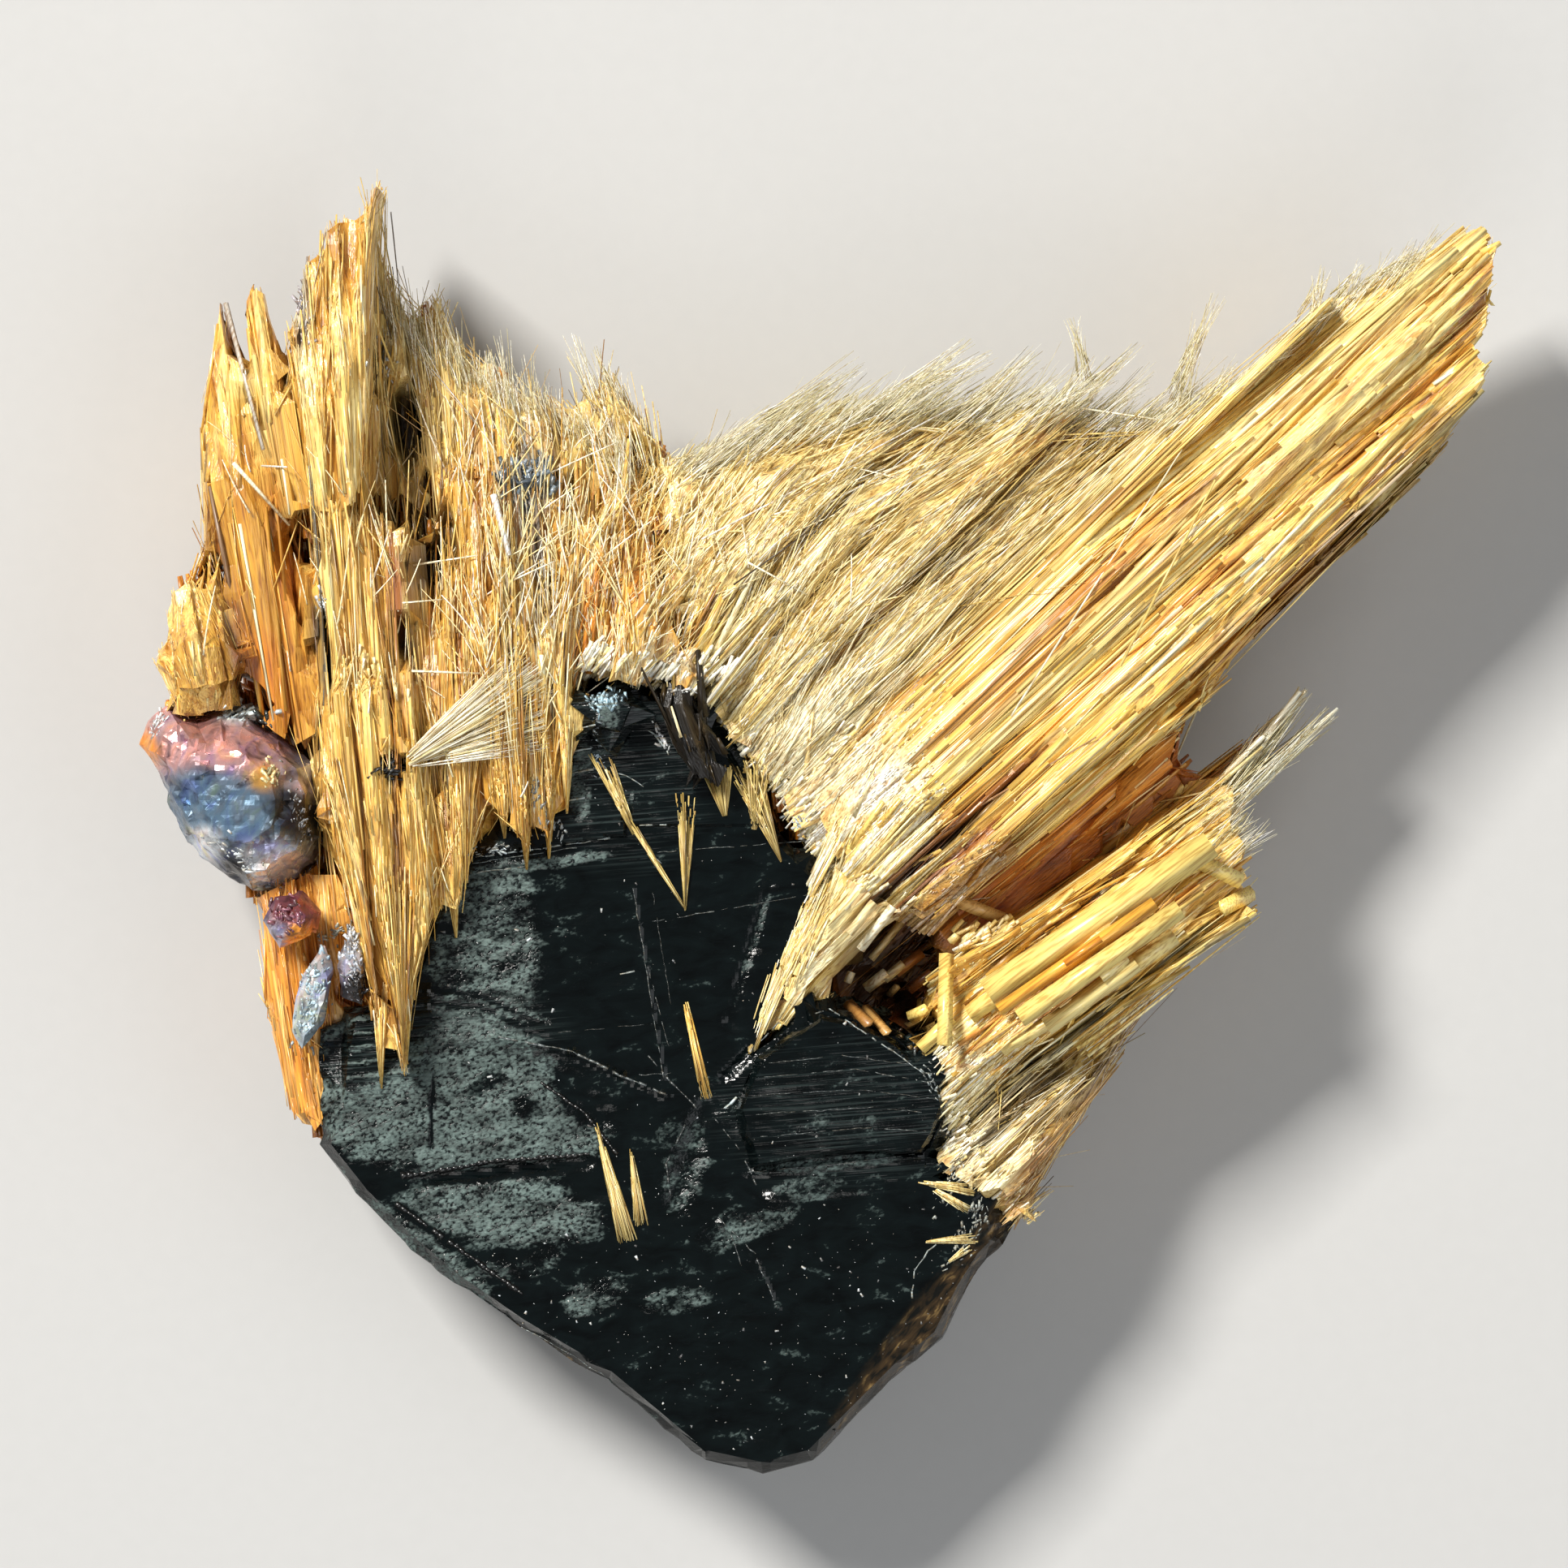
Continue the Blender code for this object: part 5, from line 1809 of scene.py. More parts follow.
@dataclass(frozen=True)
class Inlay:
    """Rutile that has grown into the hematite's face, in one or more prongs."""

    name: str
    palette: Palette
    tone: float
    prongs: tuple[Prong, ...]
    seed: int
    slot: Slot = Slot.STRAW
    stands_for_node: bool = True
    lift: float = 0.10
    turn: float = 100.0
    end_power: Flat = (0.6, 1.5)
    pointed: float = 0.7
    shortened: float = 0.55
    rim_lift: float = 0.4
    end_lift: float = 0.6
    spread: float = 0.16
    roll: float = 0.3
    width: Flat = (0.018, 0.042)

    def build(self, ground: Ground) -> None:
        """Lay the prongs' needles on the face.

        Args:
            ground: The plate that they lie on.
        """
        rng = np.random.default_rng(self.seed)
        bundle = Bundle(STRAIGHT)
        for prong in self.prongs:
            count = prong.count
            top, bottom = np.array(prong.top), np.array(prong.bottom)
            along = (bottom - top) / np.linalg.norm(bottom - top)
            across = np.array([-along[1], along[0]])
            side = rng.uniform(-0.5, 0.5, count)
            inner = 1.0 - 2.0 * np.abs(side)
            length = np.linalg.norm(bottom - top)
            first = rng.random(count) ** self.end_power[0] * prong.ragged * length
            last = rng.random(count) ** self.end_power[1] * (1.0 - inner * self.pointed)
            last = last * self.shortened * length
            starts = top + along * first[:, None]
            ends = bottom - along * last[:, None]
            for places in (starts, ends):
                reach = ((places - top) @ along / length)[:, None]
                wide = prong.top_width * (1.0 - reach) + prong.bottom_width * reach
                places += across * side[:, None] * wide
            heights = np.array([
                [ground.top(*a, 5.0), ground.top(*b, 5.0)] for a, b in zip(starts, ends)
            ])
            lift = rng.uniform(0.0, self.lift, (count, 1)) * (self.rim_lift + inner[:, None])
            starts = np.concatenate([starts, heights[:, :1] + lift], axis=1)
            ends = np.concatenate([ends, heights[:, 1:] + lift * self.end_lift], axis=1)
            colours = self.palette.at(rng.normal(self.tone, self.spread, count))
            ups = rolled(count, self.roll, rng)
            widths = rng.uniform(*self.width, count)
            bundle.add(starts, ends, widths, colours, ups, flat=0.7, tip=0.5)
        finish = NeedleFinish(self.name + "_needle", self.turn)
        nodes = ("rutile_" + self.name,) if self.stands_for_node else ()
        bundle.place(self.name, finish, self.slot, nodes)


INLAYS = (
    Inlay(
        "face_fan", OLIVE, 0.44,
        (
            Prong((-1.8, 1.7), (-0.85, -0.72), 0.85, 0.03, 190, 0.6),
            Prong((-2.3, 1.45), (-2.1, 0.3), 0.75, 0.1, 160, 0.5),
            Prong((-1.4, 1.5), (-1.45, 0.0), 0.7, 0.1, 130, 0.5),
        ),
        67,
    ),
    Inlay(
        "face_fork", OLIVE, 0.42,
        (
            Prong((-4.95, 1.85), (-4.1, -0.1), 0.5, 0.1, 130, 0.7),
            Prong((-4.35, 0.4), (-2.98, -1.75), 0.16, 0.05, 70, 0.6),
            Prong((-2.95, 0.95), (-2.98, -1.8), 0.5, 0.03, 140, 0.7),
        ),
        73,
    ),
    Inlay(
        "face_needle_upper", GOLD, 0.6,
        (Prong((-2.98, -3.8), (-2.5, -5.98), 0.1, 0.26, 90, 0.3),), 79,
    ),
    Inlay(
        "face_needle_lower", OLIVE, 0.50,
        (
            Prong((-4.98, -6.45), (-4.25, -9.15), 0.05, 0.44, 130, 0.6),
            Prong((-4.2, -7.0), (-3.95, -8.8), 0.03, 0.34, 60, 0.6),
        ),
        83,
    ),
    Inlay(
        "patch_upper", STRAW, 0.6,
        (
            Prong((2.15, -7.8), (3.45, -8.0), 0.06, 0.3, 60, 0.6),
            Prong((2.4, -7.9), (3.3, -8.45), 0.06, 0.22, 40, 0.6),
        ),
        89,
    ),
    Inlay(
        "patch_lower", STRAW, 0.6,
        (
            Prong((3.6, -9.05), (2.35, -9.15), 0.26, 0.05, 60, 0.6),
            Prong((3.4, -9.2), (2.85, -9.6), 0.22, 0.05, 40, 0.6),
        ),
        97,
    ),
)


OVERLAYS = (
    Inlay(
        "spears", GOLD, 0.6,
        (
            Prong((-9.3, -0.6), (-9.17, -5.25), 1.15, 0.04, 260, 0.55),
            Prong((-9.72, -3.3), (-9.72, -5.75), 0.4, 0.04, 70, 0.4),
            Prong((-8.3, 1.2), (-8.06, -2.4), 0.8, 0.04, 200, 0.5),
            Prong((-7.1, 1.8), (-6.98, -0.2), 0.6, 0.04, 120, 0.5),
            Prong((-6.55, 1.6), (-6.5, -0.9), 0.55, 0.04, 130, 0.5),
            Prong((-6.0, 1.8), (-6.0, -0.65), 0.5, 0.04, 120, 0.5),
            Prong((-5.6, 2.6), (-5.6, 0.35), 0.4, 0.05, 90, 0.5),
        ),
        301, Slot.GOLDEN, False, 0.12, 95.0,
    ),
    Inlay(
        "pale_fan", STRAW, 0.90,
        (
            Prong((-9.2, 1.42), (-6.2, 3.6), 0.2, 1.6, 240, 0.25),
            Prong((-9.0, 1.45), (-6.0, 2.3), 0.15, 1.2, 170, 0.3),
        ),
        303, Slot.STRAW, False, 0.3, 32.0,
    ),
)


@dataclass(frozen=True)
class Drape:
    """Long needles that run from a line of roots up over the sheaf behind it."""

    start: Flat
    end: Flat
    turn: float
    count: int
    length: Flat
    tone: float
    root: float = 5.0
    palette: Palette = STRAW
    width: Flat = (0.035, 0.11)
    jitter: float = 0.06
    stray: float = 2.5
    spread: float = 0.2
    roll: float = 0.3
    sink: Flat = (0.25, 0.1)
    lift: float = 0.03

    def needles(self, bundle: Bundle, ground: Ground, rng: np.random.Generator) -> None:
        """Add the drape's needles to a bundle.

        Args:
            bundle: The bundle that they join.
            ground: The bodies that they lie on.
            rng: The seeded random numbers.
        """
        count = self.count
        share = rng.random((count, 1))
        roots = np.array(self.start) * (1.0 - share) + np.array(self.end) * share
        roots = roots + rng.normal(0.0, self.jitter, (count, 2))
        turns = np.radians(self.turn + rng.normal(0.0, self.stray, count))
        along = np.stack([np.cos(turns), np.sin(turns)], axis=1)
        tips = roots + along * rng.uniform(*self.length, count)[:, None]
        deepest, sink = self.root - self.sink[0], self.sink[1]
        low = np.array([[max(deepest, ground.top(*p, 0.0) - sink)] for p in roots])
        high = np.array([[ground.top(*p, self.root) + self.lift] for p in tips])
        starts = np.concatenate([roots, np.minimum(low, high)], axis=1)
        ends = np.concatenate([tips, high], axis=1)
        colours = with_tints_and_painted_light(self.palette.at(rng.normal(self.tone, self.spread, count)), tips)
        widths = rng.uniform(*self.width, count)
        ups = rolled(count, self.roll, rng)
        bundle.add(starts, ends, widths, colours, ups, flat=0.6, tip=0.5)


DRAPES = table(
    Drape, 2,
    (-0.05, -0.45, 1.0, -1.7, 44.0, 300, (1.0, 3.2), 0.72),
    (0.4, -1.2, 2.4, -2.3, 43.0, 240, (0.8, 2.6), 0.55),
    (-3.2, 3.35, -0.9, 1.25, 50.0, 420, (1.2, 3.6), 0.70),
    (-0.9, 1.25, 0.0, -0.6, 44.0, 340, (1.5, 4.5), 0.76),
    (2.6, -5.2, 3.1, -7.4, 43.0, 320, (0.8, 2.8), 0.7, 4.4),
    (-0.98, -3.5, -1.56, -4.98, 68.0, 260, (0.5, 1.7), 0.62, 5.2, STRAW, (0.03, 0.07)),
    (-0.1, -1.0, -0.98, -3.5, 64.0, 300, (0.5, 1.6), 0.70, 5.1, STRAW, (0.03, 0.08)),
    (4.0, -4.2, 6.0, -4.9, 38.0, 90, (0.8, 3.0), 0.66, 5.2, SUNNY, (0.03, 0.09)),
    (4.2, -2.6, 4.4, -4.2, 38.0, 60, (1.2, 4.0), 0.72, 5.2, SUNNY, (0.03, 0.10)),
    (2.4, -3.4, 3.4, -5.4, 38.0, 200, (0.8, 2.4), 0.7, 4.4, SUNNY),
    (-5.4, 3.6, -3.2, 3.5, 84.0, 70, (0.8, 2.6), 0.50, 5.4, ORANGE, (0.08, 0.24)),
    (-6.9, 2.6, -5.5, 3.2, 92.0, 60, (1.0, 3.0), 0.55, 5.4, GOLD, (0.08, 0.24)),
    (-3.4, 3.6, -1.6, 3.4, 64.0, 60, (0.8, 3.0), 0.60, 5.4, GOLD, (0.06, 0.20)),
    (-7.6, 4.2, -6.0, 4.6, 95.0, 60, (0.8, 2.6), 0.60, 5.6, GOLD, (0.08, 0.22)),
    (-8.4, 6.8, -6.6, 7.0, 96.0, 60, (1.0, 2.8), 0.60, 5.4, GOLD, (0.08, 0.22)),
    (-6.0, 6.4, -4.4, 6.2, 88.0, 50, (0.8, 2.6), 0.52, 5.2, GOLD, (0.07, 0.20)),
)


@dataclass(frozen=True)
class StubRow:
    """Short broken needles along a line, their ends turned up and coloured pale: painted glints."""

    start: Flat
    end: Flat
    width: float
    turn: float
    count: int
    tone: float = 0.9
    height: float = 4.8
    size: Flat = (0.04, 0.12)
    length: Flat = (0.2, 0.65)
    stray: float = 8.0
    rise: Flat = (2.0, 40.0)
    sink: float = 0.12
    spread: float = 0.16
    roll: float = 0.5

    def needles(self, bundle: Bundle, ground: Ground, rng: np.random.Generator) -> None:
        """Add the row's stubs to a bundle.

        Args:
            bundle: The bundle that they join.
            ground: The bodies that they stand in.
            rng: The seeded random numbers.
        """
        count = self.count
        share = rng.random((count, 1))
        places = np.array(self.start) * (1.0 - share) + np.array(self.end) * share
        places = places + rng.normal(0.0, self.width * 0.5, (count, 2))
        clear = ~np.any([zone.holds(places) for zone in CLEAR_ZONES], axis=0)
        places = places[clear]
        count = len(places)
        turns = np.radians(self.turn + rng.normal(0.0, self.stray, count))
        rise = np.radians(rng.uniform(*self.rise, count))
        course = np.stack(
            [np.cos(turns) * np.cos(rise), np.sin(turns) * np.cos(rise), np.sin(rise)], axis=1
        )
        heights = np.array([max(self.height, ground.top(x, y, self.height)) for x, y in places])
        starts = np.concatenate([places, (heights - self.sink)[:, None]], axis=1)
        length = rng.uniform(*self.length, count)
        ends = starts + course * length[:, None]
        widths = rng.uniform(*self.size, count)
        colours = STRAW.at(rng.normal(self.tone, self.spread, count))
        ups = rolled(count, self.roll, rng)
        bundle.add(starts, ends, widths, colours, ups, flat=0.6, tip=0.8)


STUB_ROWS = table(
    StubRow, 2,
    (-5.2, 3.45, -2.4, 3.2, 0.25, 50.0, 170, 0.9, 5.2),
    (-5.3, 3.62, -2.2, 3.35, 0.2, 56.0, 150, 0.97, 5.7, (0.05, 0.13), (0.3, 0.8)),
    (-2.1, 3.0, -0.9, 1.3, 0.45, 45.0, 240, 0.92, 4.9),
    (-1.0, 1.2, 0.1, -0.6, 0.35, 44.0, 240, 0.9, 4.9),
    (0.1, -0.6, 0.5, -1.4, 0.25, 44.0, 120, 0.8, 5.0),
    (0.4, -1.1, 2.2, -2.2, 0.25, 44.0, 120, 0.66, 5.0),
    (-0.4, 2.4, 1.9, 0.6, 0.7, 44.0, 170, 0.88, 5.5, (0.03, 0.08)),
    (0.9, -1.6, 1.5, -2.6, 0.2, 40.0, 40, 0.85, 4.6, (0.08, 0.2)),
    (3.0, -2.5, 4.0, -2.4, 0.25, 40.0, 40, 0.6, 4.8, (0.08, 0.2)),
    (2.4, -5.0, 3.6, -5.9, 0.3, 42.0, 170, 0.92, 4.6),
    (2.9, -6.1, 2.9, -7.4, 0.3, 42.0, 170, 0.9, 4.3),
    (3.2, -7.4, 4.2, -8.4, 0.25, 42.0, 90, 0.8, 3.9),
    (-10.6, 3.4, -9.0, 2.9, 0.3, 95.0, 60, 0.6, 5.6),
)


@dataclass
class Infill:
    """Dark needles that close the narrow slits where the floor would show through."""

    step: float = 0.09
    reach: int = 3
    seed: int = 401
    field_x: Flat = (-15.6, 15.6)
    field_y: Flat = (-14.8, 14.8)
    nothing: float = 99.0
    highest: float = 50.0
    lowest_level: float = 0.4
    depth: Flat = (0.72, 0.92)
    half: Flat = (0.1, 0.3)
    width: Flat = (0.1, 0.2)
    tone: float = 0.3
    spread: float = 0.12
    stray: float = 0.02
    roll: float = 0.3

    def build(self, ground: Ground) -> None:
        """Find the slits and lay needles under them.

        Args:
            ground: All bodies, the plate and the small crystals.
        """
        rng = np.random.default_rng(self.seed)
        xs, ys = np.arange(*self.field_x, self.step), np.arange(*self.field_y, self.step)
        tops = np.array([[ground.top(x, y, -1.0) for y in ys] for x in xs])
        solid = tops > 0.0
        closed = ~self.grown(~self.grown(solid))
        heights = self.lowest(np.where(solid, tops, self.nothing))
        rows = np.argwhere(closed & ~solid)
        rows = rows[heights[rows[:, 0], rows[:, 1]] < self.highest]
        spots = np.stack([xs[rows[:, 0]], ys[rows[:, 1]]], axis=1)
        open_air = np.array([in_open_air(x, y) for x, y in spots])
        rows = np.repeat(rows[~open_air], 2, axis=0)
        count = len(rows)
        level = heights[rows[:, 0], rows[:, 1]] * rng.uniform(*self.depth, count)
        level = np.maximum(self.lowest_level, level)
        places = np.stack([xs[rows[:, 0]], ys[rows[:, 1]], level], axis=1)
        turns = FLOW.turns(places) + rng.normal(0.0, self.stray, count)
        course = headings(turns, np.zeros(count))
        half = rng.uniform(*self.half, (count, 1))
        bundle = Bundle(STRAIGHT)
        colours = ORANGE.at(rng.normal(self.tone, self.spread, count))
        widths = rng.uniform(*self.width, count)
        ups = rolled(count, self.roll, rng)
        bundle.add(places - course * half, places + course * half, widths, colours, ups)
        bundle.place("slit_infill", NeedleFinish("infill_needle", 70.0), Slot.ORANGE)

    def grown(self, mask: np.ndarray) -> np.ndarray:
        """Move the edge of a mask outwards by the reach.

        Args:
            mask: One truth value a cell.

        Returns:
            The wider mask.
        """
        result = mask.copy()
        for _ in range(self.reach):
            wider = result.copy()
            wider[1:] |= result[:-1]
            wider[:-1] |= result[1:]
            wider[:, 1:] |= result[:, :-1]
            wider[:, :-1] |= result[:, 1:]
            result = wider
        return result

    def lowest(self, heights: np.ndarray) -> np.ndarray:
        """Spread the lowest height near each cell over the reach.

        Args:
            heights: One height a cell.

        Returns:
            The lowest height near each cell.
        """
        result = heights.copy()
        for _ in range(self.reach):
            lower = result.copy()
            lower[1:] = np.minimum(lower[1:], result[:-1])
            lower[:-1] = np.minimum(lower[:-1], result[1:])
            lower[:, 1:] = np.minimum(lower[:, 1:], result[:, :-1])
            lower[:, :-1] = np.minimum(lower[:, :-1], result[:, 1:])
            result = lower
        return result


@dataclass
class Hairs:
    """The hair fringes, the loose needles and the tangle on the middle of the specimen."""

    seed: int = 101
    tangle: int = 900
    stray_up: Place = (0.1, 0.0, 1.0)
    tangle_middle: Flat = (-5.0, 5.6)
    tangle_spread: Flat = (2.6, 1.9)
    stray: float = 0.42
    length: Flat = (0.4, 1.9)
    climb: float = 0.06
    lowest: float = 3.0
    lift: float = 0.12
    tone: float = 0.78
    spread: float = 0.2
    width: Flat = (0.025, 0.05)
    bend: float = 0.08

    def build(self, ground: Ground) -> None:
        """Make the fringes and the loose needles.

        Args:
            ground: The bodies that they grow from or lie on.
        """
        rng = np.random.default_rng(self.seed)
        bundle = Bundle(BENT)
        for tuft in TUFTS:
            tuft.hairs(bundle, ground, rng)
        self.add_tangle(bundle, ground, rng)
        bundle.place("hair_fringe", NeedleFinish("fringe_hair", 60.0), Slot.STRAW)
        edge = Bundle(BENT)
        for fringe in FRINGES:
            fringe.hairs(edge, ground, rng)
        edge.place("edge_fringe", NeedleFinish("edge_hair", 45.0), Slot.STRAW)
        loose, blocks = Bundle(STRAIGHT), Bundle(STRAIGHT)
        for strays, bundle, flat, tip in ((LOOSE, loose, 0.8, 0.7), (BLOCKS, blocks, 0.4, 1.0)):
            for stray in strays:
                first, last = stray.heights(ground)
                bundle.add(
                    np.array([[*stray.start, first]]), np.array([[*stray.end, last]]),
                    np.array([stray.width]), np.array([stray.colour]),
                    np.array([self.stray_up]), flat=flat, tip=tip,
                )
        for row in (*DRAPES, *STUB_ROWS):
            row.needles(loose, ground, rng)
        blocks.place("broken_blocks", NeedleFinish("broken_block", 38.0), Slot.GOLDEN)
        loose.place("loose_needles", NeedleFinish("loose_needle", 60.0), Slot.STRAW)

    def add_tangle(self, bundle: Bundle, ground: Ground, rng: np.random.Generator) -> None:
        """Add crossing hairs where the two groups of sheaves meet.

        Args:
            bundle: The bundle that they join.
            ground: The bodies that they lie on.
            rng: The seeded random numbers.
        """
        count = self.tangle
        about = zip(self.tangle_middle, self.tangle_spread)
        middle = np.stack([rng.normal(*numbers, count) for numbers in about], axis=1)
        places = np.concatenate([middle, np.zeros((count, 1))], axis=1)
        turns = FLOW.turns(places) + rng.normal(0.0, self.stray, count)
        length = rng.uniform(*self.length, count)
        climb = rng.normal(0.0, self.climb, count)
        course = headings(turns, climb)
        keep = []
        for i in range(count):
            x, y = middle[i]
            far = places[i] + course[i] * length[i]
            line = np.array([middle[i], far[:2], (middle[i] + far[:2]) * 0.5])
            if any(zone.holds(line).any() for zone in CLEAR_ZONES):
                continue
            height = ground.top(x, y, -1.0)
            if height < self.lowest or ground.top(far[0], far[1], -1.0) < self.lowest:
                continue
            places[i, 2] = height + rng.random() * self.lift
            keep.append(i)
        places, course, length = places[keep], course[keep], length[keep]
        count = len(keep)
        ends = places + course * length[:, None]
        colours = STRAW.at(rng.normal(self.tone, self.spread, count))
        widths = rng.uniform(*self.width, count)
        bends = rng.normal(0.0, self.bend, (count, 3))
        bundle.add(places, ends, widths, colours, np.array([UP]), tip=0.5, bends=bends)


@dataclass(frozen=True)
class Stroke:
    """A straight line on the hematite's face: a groove, a ridge or a step's edge."""

    start: Flat
    end: Flat
    width: float
    height: float

    def push(self, x: float, y: float) -> float:
        """Tell how far the line lifts the face at a place, in millimetres."""
        gap = line_gap(x, y, self.start, self.end) / self.width
        return self.height * math.exp(-gap * gap)


@dataclass(frozen=True)
class Ledge:
    """A straight growth step on the hematite's face."""

    start: Flat
    end: Flat
    rise: float
    reach: float
    overrun: float = 0.3

    def push(self, x: float, y: float) -> float:
        """Tell how far the ledge lifts the face at a place.

        Args:
            x: Place across, in millimetres.
            y: Place up the face.

        Returns:
            The lift, in millimetres.
        """
        ax, ay = self.start
        dx, dy = self.end[0] - ax, self.end[1] - ay
        length = math.hypot(dx, dy)
        along = ((x - ax) * dx + (y - ay) * dy) / length
        off = ((x - ax) * -dy + (y - ay) * dx) / length
        if off < 0.0 or not -self.overrun < along < length + self.overrun:
            return 0.0
        return self.rise * max(0.0, 1.0 - off / self.reach)


@dataclass(frozen=True)
class Patch:
    """An oval on the hematite's face that is etched matte, or left fresh, to some degree."""

    centre: Flat
    radii: Flat
    turn: float
    value: float

    def lay(self, places: np.ndarray, values: np.ndarray) -> np.ndarray:
        """Mix the patch into the values.

        Args:
            places: Rows that start with x and y in millimetres.
            values: One value a row.

        Returns:
            The new values.
        """
        share = StainOrPaintedLight(self.centre, self.radii, self.turn, WHITE, 1.0).weight(places)
        return values * (1.0 - share) + self.value * share


def laid(patches: tuple[Patch, ...], places: np.ndarray, base: float = 0.0) -> np.ndarray:
    """Lay patches one after another on a plain value.

    Args:
        patches: The patches, the last one on top.
        places: Rows that start with x and y in millimetres.
        base: The value outside the patches.

    Returns:
        One value a row.
    """
    values = np.full(len(places), base)
    for patch in patches:
        values = patch.lay(places, values)
    return values


